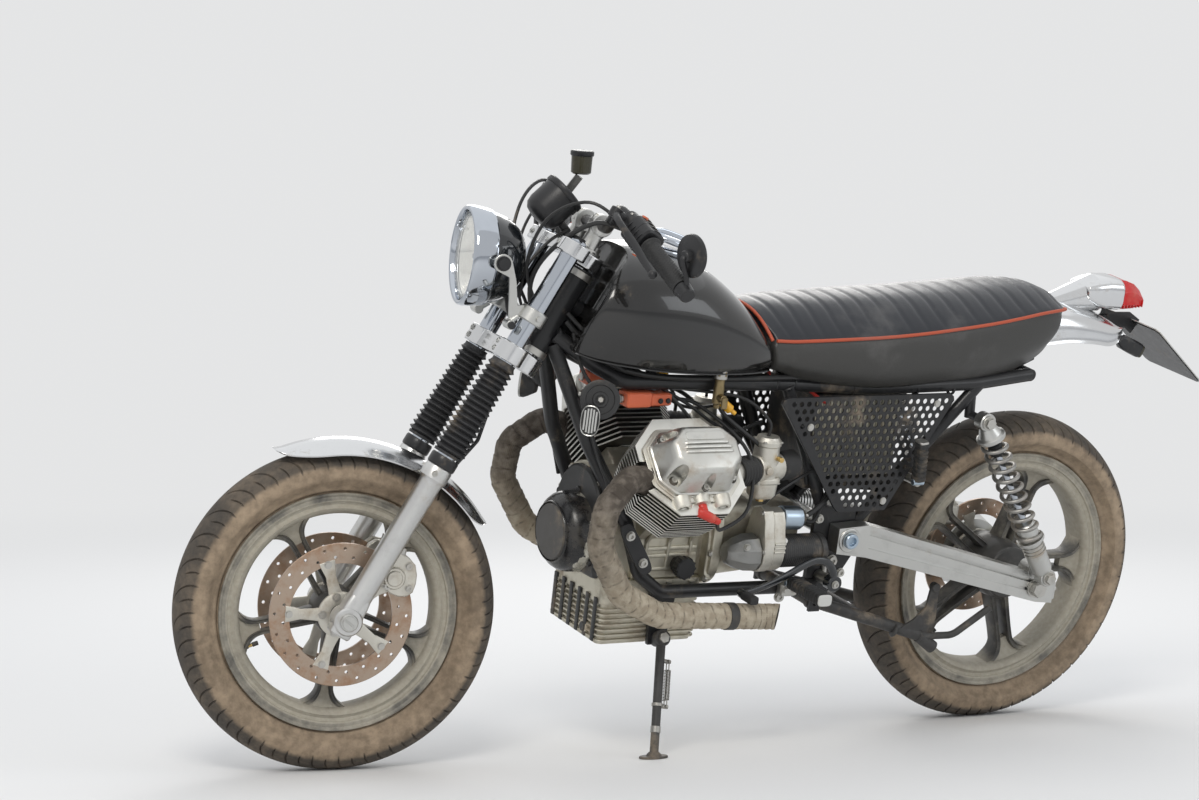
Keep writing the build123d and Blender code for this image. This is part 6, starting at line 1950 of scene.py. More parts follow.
def make_carburettors():
    carb = Shape()
    screws = []
    for s in (1, -1):
        step = 0 if s > 0 else CYLINDER_STEP
        a = vec(755 - step, s * 156, 262)
        b = vec(696 - step, s * 139, 262)
        run = unit(b - a)
        carb.rod(a + run * -10, a + run * 14, 25, 22, 0, 36, 1.5)
        # Ribbed rubber boot
        profile = [(0, 18), (0, 27)]
        for n in range(5):
            profile += [(3 + n * 8, 27), (5 + n * 8, 28.6), (8 + n * 8, 28.6), (9.5 + n * 8, 26)]
        profile += [(44, 27), (44, 18)]
        carb.turned(a + run * 12, run, profile, 40, 1)
        c = vec(668 - step, s * 131, 262)
        body_dir = unit((-0.96, s * -0.27, -0.02))
        carb.rod(c - body_dir * 28, c + body_dir * 34, 26, 27, 0, 36, 2)
        carb.turned(c, UPWARD, [(-16, 0), (-16, 25), (20, 25), (44, 23.5), (46, 26), (54, 26), (58, 22), (62, 20),
            (62, 0)], 32, 0)
        # Float bowl
        rings = []
        for h, w in ((-14, 27), (-18, 30), (-24, 30), (-27, 27), (-50, 25), (-56, 20), (-58, 12)):
            rings.append([c + vec(u, v, h) for u, v in oval(w * 2, w * 1.7, 24, 0.6)])
        carb.skin(rings, finish=0)
        carb.rods(
            (c + vec(0, 0, -58), c + vec(0, 0, -64), 8, 8, 2, 6, 0.6),
            (c + vec(10, s * 24, 4), c + vec(10, s * 38, 4), 9, 8, 0, 20, 1),
            (c + vec(-14, s * 22, 24), c + vec(-14, s * 34, 24), 5, 5, 2, 12, 0.6))
        for u, v in ((-20, 20), (20, 20), (20, -20), (-20, -20)):
            screws.append((c + vec(u * 0.9, v * 0.9, 54), UPWARD, 3.2))
            screws.append((c + vec(u * 1.1, v * 1.02, -24), (0, 0, -1), 3.0))
        mouth = c + body_dir * 34
        carb.turned(mouth, body_dir, [(0, 17), (0, 26), (3, 28), (40, 29), (42, 27), (42, 20), (38, 18)], 40, 1)
        # Fuel pipe from the tap and the cable from the throttle
        tap = vec(778, s * 110, 384)
        carb.tube(along_curve([tap, tap + vec(-18, s * 8, -24), vec(720 - step, s * 132, 330), c + vec(20, s * 4,
            46)], 8), 4.2, 3, 12)
        carb.tube(along_curve([c + vec(0, 0, 60), c + vec(4, 0, 92), vec(724 - step, s * 108, 392), vec(830, s * 70,
            400)], 8), 3, 3, 10)
    build("carburettor_bodies", carb, "cast rubber brass cable", "carburettors", angle=34, bevel=0.7)
    fasteners("carburettor_screws", "dome", screws, height=0.6)


def wrapped(route, radii, radius, pitch):
    """A pipe wound with tape: a path of rings whose radius steps down once a turn."""
    path = filleted(route, radii, 2.6)
    shape = Shape()
    rings, marks, lengths = [], [], [0.0]
    side = None
    sides = 36
    for n, p in enumerate(path):
        run = (path[min(n + 1, len(path) - 1)] - path[max(n - 1, 0)]).normalized()
        if n:
            lengths.append(lengths[-1] + (p - path[n - 1]).length)
        side = run.orthogonal().normalized() if side is None else (side - run * side.dot(run)).normalized()
        top = run.cross(side)
        along = lengths[-1]
        ring, mark = [], []
        for k in range(sides):
            a = 2 * pi * k / sides
            wobble = noise.noise(vec(along * 0.02, cos(a), sin(a) + 7)) * 4
            turn_share = ((along + wobble) / pitch - k / sides) % 1.0
            step = 1.5 * (1 - turn_share) ** 0.7 if turn_share > 0.07 else 1.5 * ease(turn_share / 0.07)
            fray = noise.noise(vec(along * 0.11, cos(a) * 3, sin(a) * 3)) * 0.7
            ring.append(p + side * (cos(a) * (radius + step + fray)) + top * (sin(a) * (radius + step + fray)))
            # The mark is highest along the edge where each turn of tape steps over the next, for the painted shade
            # there
            mark.append(1.0 - ease(abs(turn_share - 0.035) / 0.06))
        rings.append(ring)
        marks.append(mark)
    return shape, path, rings, marks, lengths


def make_exhausts():
    port = vec(926, 162, 256)
    port_dir = unit((64, 24, 13))
    bend = port + port_dir * 70
    left_route = [port + port_dir * 6, bend, vec(1044, 206, 222), vec(1050, 208, 150), vec(990, 204, 56),
        vec(900, 196, 8), vec(612, 190, -12)]
    for s, name in ((1, "left_exhaust"), (-1, "right_exhaust")):
        step = 0 if s > 0 else CYLINDER_STEP
        route = [vec(p.x - step, s * p.y, p.z) for p in left_route]
        shape, path, rings, marks, lengths = wrapped(route, [30, 34, 44, 70, 70], 23.2, chosen().tape_pitch / MM)
        # The open end is cut aslant, so that it faces outward
        run = unit(path[-1] - path[-2])
        aside = (SIDE * s - run * run.dot(SIDE * s)).normalized()
        total = lengths[-1]
        for n, (p, along) in enumerate(zip(path, lengths)):
            share = max(0.0, (along - total + 90) / 90)
            rings[n] = [q - run * (share * 0.85 * ((q - p).dot(aside) + 24)) for q in rings[n]]
        end = rings[-1]
        centre = sum(end, Vector()) / len(end)
        for shrink, back in ((0.93, 0.6), (0.86, 0)):
            rings.append([centre + (p - centre) * shrink + run * back for p in end])
            marks.append([0.6] * len(end))
            lengths.append(lengths[-1] + 4)
        shape.skin(rings, caps=False, marks=marks, lengths=lengths)
        shape.skin([rings[0], [path[0] + (p - path[0]) * 0.5 for p in rings[0]]], finish=1)
        bore = [[centre + (p - centre) * g + run * back for p in end] for g, back in ((0.86, 0), (0.83, -5),
            (0.82, -55))]
        shape.skin(bore, caps=False, finish=4)
        shape.skin([bore[-1], [centre - run * 55 + (p - centre + run * 55) * 0.02 for p in bore[-1]]], finish=4)
        out = vec(port_dir.x, s * port_dir.y, port_dir.z)
        foot = vec(port.x - step, s * port.y, port.z)
        # Clamp ring at the port with its studs, and the black band near the end
        shape.turned(foot, out, [(-10, 20), (-10, 31), (-4, 34), (8, 34), (12, 31), (12, 20)], 40, 1)
        shape.turned(foot + out * 12, out, [(0, 22), (0, 27.5), (4, 29), (9, 27), (13, 28), (17, 26), (17, 22)], 40,
            0)
        for k in range(3):
            a = 2 * pi * k / 3 + 0.5
            d = out.orthogonal().normalized()
            d = Quaternion(out, a) @ d
            shape.rods(
                (foot + d * 31 - out * 6, foot + d * 31 + out * 20, 4, 4, 2, 12, 0.5),
                (foot + d * 31 + out * 9, foot + d * 31 + out * 15, 7, 7, 2, 6, 0.5))
        band = vec(742 - step, s * 193, -3)
        aim = vec(612 - 900, s * (190 - 196), -12 - 8).normalized()
        shape.turned(band, aim, collar(9, 20, 25.6), 40, 3)
        build(name, shape, "wrap steel steel stand soot", "exhaust_pipes" if s > 0 else None, angle=60)


# Chassis

SHOCK_TOP = vec(200, 162, 350)
SHOCK_LOW = vec(6, 178, 34)
ARM_Y = 130
STAND_PIVOT = vec(836, 122, -66)


def on_ground(x, y, above=0.0):
    """The place over the ground, by so many millimetres, under a point of the upright motorcycle."""
    low, high = (BIKE @ vec(x, y, z) for z in (0, 1))
    return vec(x, y, (above * MM - low.z) / (high.z - low.z))


def make_frame():
    refinish("black", "main_frame", "rear_subframe", "engine_cradle")
    trim = Shape()
    bolts = []
    for s in (1, -1):
        # Flat bracket that joins the cradle to the down tube, with two socket screws
        a, b = vec(941, s * 112, 148), vec(900, s * 123, 78)
        across = unit(b - a)
        upward = across.cross(SIDE).normalized()
        trim.slab(oval((b - a).length + 26, 30, 28, 0.5), (a + b) / 2 + SIDE * (s * 9), across, upward, 6, 0, 1)
        for p in (a.lerp(b, 0.14), a.lerp(b, 0.86)):
            bolts.append((p + SIDE * (s * 12), (0, s, 0), 7.2))
        # Weld beads where tubes meet
        for at, run, r in (((1086, s * 20, 492), (0.9, s * 0.3, 0.4), 15.5), ((640, s * 84, 411), FORWARD, 14.8),
                ((612, s * 88, 405), (0.6, 0, 1), 13.4), ((430, s * 98, 129), (-0.9, 0, 1), 13.2)):
            trim.turned(at, run, collar(3, 0, r - 1, 1, r + 0.8), 28, 0)
        # Plate of the footrests with its pinch bolts
        trim.rod((524, s * 104, 18), (500, s * 104, 18), 15, 15, 0, 28, 1)
        for x, z, r in ((470, 65, 9), (446, 40, 7), (512, 150, 7), (590, 4, 8)):
            bolts.append((vec(x, s * (109.5 if x < 580 else 126), z), (0, s, 0), r))
        # Cable ties round the seat rail
        for x in (600, 470, 330, 250):
            y = 84 + (600 - x) * 0.06
            trim.turned((x, s * y, 411 - (8 if x < 520 else 0)), (1, -s * 0.06, 0), collar(2.2, 12, 15.6), 24, 1)
    # Steering head: bearing cups and the gusset below it
    for z in (582, 742):
        p = fork_at(0, 0, z)
        trim.turned(p, steer_up, collar(6, 26, 30), 48, 2)
    trim.slab([(-46, -4), (20, -4), (34, 96), (6, 100)], (1046, 0, 452), *SIDE_ON, 8, 0, 1.5)
    build("frame_trim", trim, "black plastic steel", bevel=0.4)
    fasteners("frame_bolts", "cap", bolts)


def make_loom():
    """Wires along the top rail, and down to the horns, the coils and the battery."""
    wires = Shape()
    looms = (([(1072, 30, 520), (1040, 44, 486), (1000, 62, 452), (940, 88, 436), (840, 99, 428), (700, 99, 426),
        (560, 100, 424), (470, 92, 400)], 5.5, 0), ([(1074, 34, 536), (1038, 52, 500), (1004, 74, 462),
        (968, 84, 440)], 4, 0), ([(1060, 40, 500), (1050, 60, 450), (1036, 76, 420), (1022, 92, 408)], 3.5, 0),
        ([(880, 72, 404), (820, 90, 372), (770, 92, 340), (712, 78, 318), (640, 60, 330)], 3.2, 0),
        ([(868, 84, 396), (826, 100, 352), (790, 96, 300), (744, 92, 262)], 3.2, 0),
        ([(1030, 74, 360), (1012, 84, 300), (984, 98, 236), (968, 100, 190)], 4.5, 0),
        ([(1022, 90, 322), (1004, 98, 274), (976, 102, 230)], 3, 0), ([(560, 88, 396), (520, 80, 372), (470, 60, 358),
        (420, 66, 372)], 3.5, 1), ([(604, 92, 392), (590, 96, 330), (560, 98, 270), (540, 90, 214)], 4, 0),
        ([(480, 100, 96), (400, 112, 110), (300, 118, 96), (180, 118, 70)], 4, 0))
    for route, r, finish in looms:
        for s in (1, -1):
            wires.tube(along_curve([(x, s * y, z) for x, y, z in route], 7), r, finish, 10)
    build("wiring_loom", wires, "cable red_cap")


def make_swingarm():
    dressed("swingarm_casting", "swingarm", "machined", 1.6)
    trim = Shape()
    # Pivot: blue-grey ring with a socket screw in a round recess
    trim.turned((462, ARM_Y + 17, 117), SIDE, [(-8, 0), (-8, 24), (1.5, 24), (3, 22.5), (3, 19), (-0.5, 18),
        (-0.5, 0)], 48, 0)
    trim.turned((462, ARM_Y + 17, 117), SIDE, [(-2, 0), (-2, 15), (9, 15), (11, 13.5), (11, 9), (3, 8), (3, 0)], 40,
        1)
    # Adjuster's end plate, its screw, and the brake arm's stay on the right
    trim.box((-54, ARM_Y - 14, -28), (-47.5, ARM_Y + 14, 8), 0, 1.5)
    trim.rods(
        ((-64, ARM_Y, -10), (-52, ARM_Y, -10), 5, 5, 2, 12, 0.8),
        ((126, -120, 60), (416, -132, 66), 6, 6, 2, 16, 1))
    # Final drive: ribs, cover and the boot of the shaft
    for k in range(12):
        a = 2 * pi * k / 12
        p = vec(cos(a) * 72, -140, sin(a) * 72)
        trim.rod(p, p - SIDE * 10, 4, 3.4, 0, 12, 1)
    trim.rod((0, -150, 0), (0, -160, 0), 36, 32, 0, 48, 2)
    profile = []
    for n in range(7):
        profile += [(n * 7, 27), (n * 7 + 3.5, 32)]
    trim.turned((424, -135, 105), (-1, 0.02, -0.2), [(0, 20), *profile, (52, 26), (52, 20)], 40, 3)
    build("swingarm_trim", trim, "machined zinc steel boot", bevel=0.5)
    axle = Shape()
    axle.rods(((0, -170, 0), (0, -150, 0), 12, 12, 0, 6, 1), ((0, -166, 0), (0, 160, 0), 8.4, 8.4, 0, 32, 1))
    axle.turned((0, ARM_Y + 17.3, 0), SIDE, [(0, 8), (0, 20), (3, 20), (3, 15.5), (5, 15.5), (5, 8)], 40, 0)
    axle.rod((0, ARM_Y + 22, 0), (0, ARM_Y + 36, 0), 16, 16, 0, 6, 1)
    build("rear_spindle", axle, "steel", "rear_axle")


def make_shocks():
    shock = Shape()
    starts, runs = [], []
    for s in (1, -1):
        top = vec(SHOCK_TOP.x, s * SHOCK_TOP.y, SHOCK_TOP.z)
        low = vec(SHOCK_LOW.x, s * SHOCK_LOW.y, SHOCK_LOW.z)
        run = unit(low - top)
        length = (low - top).length
        for eye in (top, low):
            shock.turned(eye, SIDE, collar(13, 9, 16, 11, 17.6), 40, 0)
            shock.turned(eye, SIDE, collar(14.5, 8.2, 12), 32, 3)
            shock.rods(
                (eye + SIDE * (s * 14), eye + SIDE * (s * 24), 11, 11, 2, 6, 1),
                (eye + SIDE * (s * 13), eye + SIDE * (s * 16), 14, 14, 2, 32, 0.8))
        # Alloy cap of the spring with its ribs, the rod and the body below
        shock.turned(top, run, [(12, 0), (12, 15), (18, 18), (30, 23), (33, 28.5), (38, 29), (41, 28), (43, 22),
            (43, 0)], 44, 0)
        shock.rod(top + run * 40, low - run * 120, 6.5, 6.5, 1, 24, 0)
        shock.turned(top, run, [(56, 0), (56, 12), (60, 14), (74, 14), (78, 11), (78, 0)], 28, 3)
        shock.turned(low, -run, [(12, 0), (12, 17), (22, 20.5), (86, 21), (88, 23), (88, 27.5), (91, 28.2),
            (94, 27.5), (94, 24), (96, 21), (128, 20.5), (131, 17), (131, 0)], 44, 0)
        for n in range(3):
            shock.turned(low - run * (62 + n * 8), -run, collar(2, 18, 22.4), 40, 2)
        starts.append(top + run * 44)
        runs.append(run)
    build("shock_bodies", shock, "machined chrome steel rubber", "shock_absorbers", angle=36)
    springs("shock_springs", starts, runs, length - 44 - 95, 22.5, chosen().spring_wire / MM, chosen().spring_turns,
        node="shock_absorbers")


def make_rear_caliper():
    made = Shape()
    for y0, y1 in ((-84, -68), (-56, -40)):
        made.box((68, y0, 72), (128, y1, 114), 0, 5)
    made.box((66, -78, 104), (126, -46, 118), 0, 5)
    made.rods(((84, -84, 92), (84, -88, 92), 14, 12, 1, 32, 1), ((112, -84, 92), (112, -88, 92), 14, 12, 1, 32, 1))
    made.box((74, -70, 82), (122, -64.8, 108), 2, 1)
    made.box((74, -59.2, 82), (122, -54, 108), 2, 1)
    made.rod((100, -78, 87), (100, -99, 56), 9, 9, 0, 24, 1)
    made.tube(along_curve([(96, -62, 118), (96, -62, 134), (130, -80, 150), (210, -104, 132), (330, -118, 140),
        (420, -110, 160)], 8), 4, 3, 12)
    build("rear_caliper_body", made, "cast steel disc cable", "rear_caliper", angle=34, bevel=0.8)
    fasteners("rear_caliper_bolts", "cap", [(vec(x, -84, z), (0, -1, 0), 4.5) for x in (74, 122) for z in (78, 108)])


def make_side_stand():
    foot = on_ground(876, 212, 5)
    stow = unit((-1, 0.03, 0.06))
    run = unit(foot - STAND_PIVOT)
    axis = run.cross(stow).normalized()
    flat = axis.cross(run)
    upward = (BIKE.to_3x3().inverted() @ UPWARD).normalized()
    leg = Shape()
    leg.turned(STAND_PIVOT, axis, collar(9, 0, 14, 7.5, 15.4), 36, 0)
    leg.rod(STAND_PIVOT + axis * 8, STAND_PIVOT + axis * 15, 10.5, 10.5, 1, 6, 1)
    length = (foot - STAND_PIVOT).length
    leg.rod(STAND_PIVOT + run * 10, STAND_PIVOT + run * (length - 1.5), 8.7, 8.2, 0, 28, 0)
    leg.turned(STAND_PIVOT + run * 124, run, collar(3, 7, 10.4), 32, 2)
    leg.turned(STAND_PIVOT + run * 170, run, collar(6, 7, 9.4), 32, 2)
    # Foot: an oval plate pressed up at its rim
    rings = []
    for h, grow in ((0.2, 0.9), (0.6, 1.0), (3.4, 1.0), (4.6, 0.96), (4.4, 0.86)):
        rings.append([on_ground(876 + u * grow, 212 + v * grow) + upward * h for u, v in oval(58, 38, 40)])
    leg.skin(rings, finish=0)
    leg.turned(foot, upward, [(-1, 0), (-1, 15), (3, 13), (7, 9), (7, 0)], 32, 0)
    # Hooks of the two return springs
    for k in (42, 126):
        at = STAND_PIVOT + run * k
        leg.rods(
            (at, at + flat * 22, 4, 4, 2, 16, 0.6),
            (at + flat * 17 - axis * 9, at + flat * 17 + axis * 9, 2.6, 2.6, 2, 12, 0.5))
    starts = [STAND_PIVOT + run * 58 + flat * 17 + axis * (n * 5.2) for n in (-1, 1)]
    for n in (-1, 1):
        p = STAND_PIVOT + flat * 17 + axis * (n * 5.2)
        leg.rods((p + run * 43, p + run * 60, 1.2, 1.2, 2, 10, 0), (p + run * 112, p + run * 125, 1.2, 1.2, 2, 10, 0))
    build("side_stand_leg", leg, "stand steel spring", "side_stand", "side_stand", 34, bevel=0.6)
    springs("side_stand_springs", starts, [run, run], 56, 3.6, 0.9, 20.0, body="side_stand")


def make_centre_stand():
    dressed("centre_stand_tubes", "centre_stand", "stand", 0.8, body="centre_stand")
    more = Shape()
    # Gusset and upright tang welded beside the left leg
    plate = [(300, -84), (240, -100), (216, -104), (208, -60), (212, 2), (222, 8), (230, 2), (236, -40), (262, -64)]
    more.slab(plate, (0, 116, 0), *SIDE_ON, 6, 0, 1)
    more.rod((221, 109, 2), (221, 123, 2), 9, 9, 0, 28, 1)
    for p in ((300, 111, -84), (240, 114, -98), (486, 76, -24)):
        more.turned(p, (-1, 0.2, -0.3), collar(3, 0, 12, 1, 14), 24, 0)
    for s in (1, -1):
        more.rod((486, s * 80, -24), (486, s * 92.4, -24), 15, 15, 0, 36, 1)
        for n in range(3):
            more.turned((452 - n * 5, s * (80 + n), -34 - n * 1.5), (-1, s * 0.15, -0.3), collar(2, 0, 12.4), 24, 0)
    build("centre_stand_trim", more, "stand", body="centre_stand", bevel=0.6)


def ribbed_block(shape, a, b, width, height, upward, finish, cap=None, ribs=9):
    """A rubber block between two points with ribs round it and a plain end."""
    a, b = Vector(a), Vector(b)
    run = unit(b - a)
    length = (b - a).length
    side = run.cross(Vector(upward)).normalized()
    top = side.cross(run)
    rings = []
    marks = [(0, 0.86), (2, 1.0)]
    for n in range(ribs):
        x = 4 + (length - 14) * n / ribs
        pitch = (length - 14) / ribs
        marks += [(x, 1.0), (x + pitch * 0.5, 1.0), (x + pitch * 0.6, 0.88), (x + pitch * 0.9, 0.88)]
    marks += [(length - 9, 1.0), (length - 2, 1.0), (length, 0.9)]
    for x, grow in marks:
        rings.append([a + run * x + side * (u * grow) + top * (v * grow) for u, v in oval(width, height, 20, 0.5)])
    shape.skin(rings, finish=finish)
    if cap is not None:
        shape.skin([[b + run * x + side * (u * g) + top * (v * g) for u, v in oval(width * 0.92, height * 0.92, 20,
            0.5)] for x, g in ((-4, 1.0), (1.5, 1.0), (3, 0.86))], finish=cap)


def make_pegs():
    made = Shape()
    bolts = []
    for s in (1, -1):
        made.box((560, min(s * 125.3, s * 142), 9), (598, max(s * 125.3, s * 142), 35), 1, 3)
        made.rods(
            ((578, s * 128, 36), (578, s * 154, 40), 12, 11, 1, 28, 1.5),
            ((562, s * 146, 38), (594, s * 146, 38), 5, 5, 2, 16, 0.8))
        ribbed_block(made, (578, s * 150, 40), (580, s * 260, 42), 32, 24, UPWARD, 0, 3, 10)
        # Passenger's peg, folded up on its hanger
        made.rods(
            ((334, s * 110, 232), (334, s * 162, 232), 9, 9, 1, 24, 1),
            ((322, s * 160, 232), (346, s * 160, 232), 6, 6, 2, 16, 0.8))
        ribbed_block(made, (334, s * 160, 236), (344, s * 168, 314), 27, 22, FORWARD, 0, 1, 7)
        bolts += [(vec(568, s * 142, 22), (0, s, 0), 5.5), (vec(588, s * 142, 22), (0, s, 0), 5.5)]
    build("peg_rubbers", made, "rubber steel zinc plate", "footpegs", angle=34)
    fasteners("peg_bolts", "hex", bolts)
    lever = Shape()
    ends = []
    for s in (1, -1):
        lever.rod((496, s * 110, 38), (496, s * 150, 38), 11.5, 11.5, 1, 32, 1)
        lever.turned((496, s * 160, 38), (0, s, 0), [(-12, 0), (-12, 14), (-10, 16), (7, 16), (9, 14), (9, 0)], 40, 0)
        path = along_curve([(496, s * 161, 40), (500, s * 161, 62), (516, s * 162, 80), (540, s * 163, 86),
            (566, s * 165, 80), (610, s * 170, 62), (660, s * 177, 46), (709, s * 182, 35)], 7)
        count = len(path)
        scale = [(lerp(1.25, 0.8, n / count), lerp(1.3, 0.85, n / count)) for n in range(count)]
        lever.sweep(path, oval(14, 9.5, 16, 0.75), 0, hint=SIDE, scale=scale)
        lever.turned((709, s * 180, 34), (0, s, 0), collar(8, 0, 8, 6, 9), 32, 0)
        ribbed_block(lever, (709, s * 186, 34), (709, s * 222, 34), 19, 16, UPWARD, 2, None, 6)
        ends.append((vec(496, s * 169, 38), (0, s, 0), 6))
    # Linkage from the lever's hub to the gearbox
    lever.tube([(486, 112, 60), (540, 104, 66), (590, 96, 70)], 4, 1, 12)
    lever.rod((486, 112, 38), (486, 112, 62), 6, 5, 1, 16, 1)
    build("foot_levers", lever, "bucket steel rubber", "foot_controls", angle=36)
    fasteners("lever_screws", "cap", ends)


def make_horns():
    made = Shape()
    for s in (1, -1):
        back, front = vec(1018, s * 86, 389), vec(1030, s * 114, 396)
        run = unit(front - back)
        made.turned(back, run, [(0, 0), (0, 26), (3, 31), (8, 34), (24, 34.5), (26, 36), (30, 36), (31, 33), (31, 27),
            (29, 25.5), (29, 15), (31, 13.5), (31, 9), (29.5, 8), (29.5, 0)], 52, 0)
        # Snail-shaped trumpet that ends in an upright slotted mouth
        side = run.cross(UPWARD).normalized()
        top = side.cross(run)
        lane = []
        for k in range(13):
            a = radians(120 - k * 19)
            lane.append(back + run * 18 + side * (cos(a) * 24 * -1) + top * (sin(a) * 24))
        widths = [lerp(0.5, 1.1, k / 12) for k in range(13)]
        made.sweep(lane, oval(20, 20, 16), 0, scale=list(zip(widths, widths)))
        mouth = vec(1050, s * 122, 361)
        facing = unit((0.62, s * 0.78, -0.02))
        across = facing.cross(UPWARD).normalized()
        rings = []
        for h, g in ((-22, 0.55), (-8, 0.86), (0, 1.0), (5, 1.0)):
            rings.append([mouth + facing * h + across * (u * g) + vec(0, 0, v * g) for u, v in oval(34, 56, 32,
                0.72)])
        made.skin(rings, finish=0)
        lip = mouth + facing * 5
        rim = [lip + across * u + vec(0, 0, v) for u, v in oval(34, 56, 40, 0.72)]
        bead = ((-1, 1.01), (2.4, 1.02), (3.2, 0.98), (2.4, 0.94), (-1, 0.93))
        made.skin([[lip + (q - mouth - facing * 5) * g + facing * h for q in rim] for h, g in bead], closed=True,
            finish=1)
        for n in range(5):
            u = -10.4 + n * 5.2
            tall = 23 * sqrt(max(0.1, 1 - (u / 17) ** 2))
            made.sweep([mouth + facing * 6 + across * u + vec(0, 0, v) for v in (-tall, tall)], oval(1.5, 3.4, 8,
                0.7), 1, hint=across)
        made.rods(
            ((1024, s * 82, 390), (1041.9, s * 57.6, 391.9), 6, 6, 2, 20, 1),
            (front - run * 1, front + run * 3.4, 6, 5.4, 2, 6, 0.6))
    build("horns", made, "cover machined steel", "horn", angle=34)


def make_electrics():
    made = Shape()
    for s in (1, -1):
        low, high = sorted((s * 54, s * 92))
        made.box((906, low, 371), (958, high, 400), 0, 3)
        made.box((862, low + 2, 373), (908, high - 2, 397), 0, 3)
        made.box((900, low + 8, 368), (924, high - 8, 372), 1, 1)
        for x in (872, 888):
            made.rod((x, s * 90, 384), (x, s * 94, 384), 5, 5, 1, 16, 0.8)
        made.rods(
            ((958, s * 73, 385), (964, s * 73, 385), 8, 8, 2, 6, 0.8),
            ((856, s * 78, 386), (864, s * 78, 386), 7, 7, 1, 20, 1))
    build("ignition_boxes", made, "orange plastic steel", "ignition_coils", angle=34, bevel=0.7)
    taps = Shape()
    for s in (1, -1):
        at = vec(778, s * 110, 0)
        taps.turned(at + vec(0, 0, 374), UPWARD, [(0, 0), (0, 6), (8, 7), (10, 10), (40, 10), (44, 9), (58, 9),
            (60, 11), (71.6, 11), (71.6, 0)], 28, 0)
        taps.rods(
            (at + vec(0, 0, 436), at + vec(0, 0, 445.6), 14, 14, 0, 6, 1),
            (at + vec(0, s * 6, 396), at + vec(0, s * 22, 396), 8, 7, 0, 24, 1))
        taps.box((772, min(s * 131, s * 137), 378), (784, max(s * 131, s * 137), 400), 0, 1.5)
        taps.rods(
            ((770, s * 112, 386), (752, s * 120, 372), 9, 9, 1, 28, 1.5),
            ((754, s * 119, 373.6), (744, s * 124, 366), 4.5, 4, 1, 20, 0.5))
    build("tap_bodies", taps, "brass_dull amber", "fuel_taps", angle=34)


# Stage

CAMERA_AT = vec(4230.0, 5303.1, 1977.1)
CAMERA_YAW = -0.55232
CAMERA_PITCH = 0.25387
CAMERA_ROLL = 0.13048
FOCAL_PIXELS = 3511.3
PICTURE_WIDTH = 1199
SENSOR = 36.0


def add_lamp(name, at, towards, size, power, colour=(1, 1, 1)):
    """A large soft area lamp."""
    data = bpy.data.lights.new(name, "AREA")
    data.shape = "RECTANGLE"
    data.size, data.size_y = size
    data.energy = power
    data.color = colour
    lamp = bpy.data.objects.new(name, data)
    bpy.context.scene.collection.objects.link(lamp)
    aim = (Vector(towards) - Vector(at)).to_track_quat("-Z", "Y")
    lamp.matrix_world = Matrix.Translation(at) @ aim.to_matrix().to_4x4()


def make_camera():
    forward = vec(sin(CAMERA_YAW) * cos(CAMERA_PITCH), -cos(CAMERA_YAW) * cos(CAMERA_PITCH), -sin(CAMERA_PITCH))
    side = forward.cross(UPWARD).normalized()
    top = side.cross(forward)
    c, s = cos(CAMERA_ROLL), sin(CAMERA_ROLL)
    right, above = side * c + top * s, top * c - side * s
    basis = Matrix((right, above, -forward)).transposed().to_4x4()
    data = bpy.data.cameras.new("Camera")
    data.sensor_width = SENSOR
    data.lens = FOCAL_PIXELS / PICTURE_WIDTH * SENSOR
    camera = bpy.data.objects.new("Camera", data)
    bpy.context.scene.collection.objects.link(camera)
    camera.matrix_world = Matrix.Translation(BIKE @ CAMERA_AT) @ turn @ basis
    bpy.context.scene.camera = camera


PALE = rgb(0.78, 0.785, 0.79)


def pale_floor():
    """A matt floor that fades, to the camera, into the background with the distance."""
    f = Finish("Pale floor")
    material = f.surface(rgb(0.8, 0.795, 0.785), 0.85)
    far = f.node("ShaderNodeVectorMath", {"operation": "LENGTH"}, {0: f.where}, "Value").between(1.6, 7.0)
    glow = f.node("ShaderNodeEmission", None, {"Color": PALE, "Strength": 1.0})
    f.feed(f.sheet, "Surface", f.node("ShaderNodeMixShader", None, {0: far * f.node("ShaderNodeLightPath",
        output="Is Camera Ray"), 1: Socket(f, f.shader.outputs[0]), 2: glow}))
    return material


FLOOR_REACH = 30.0


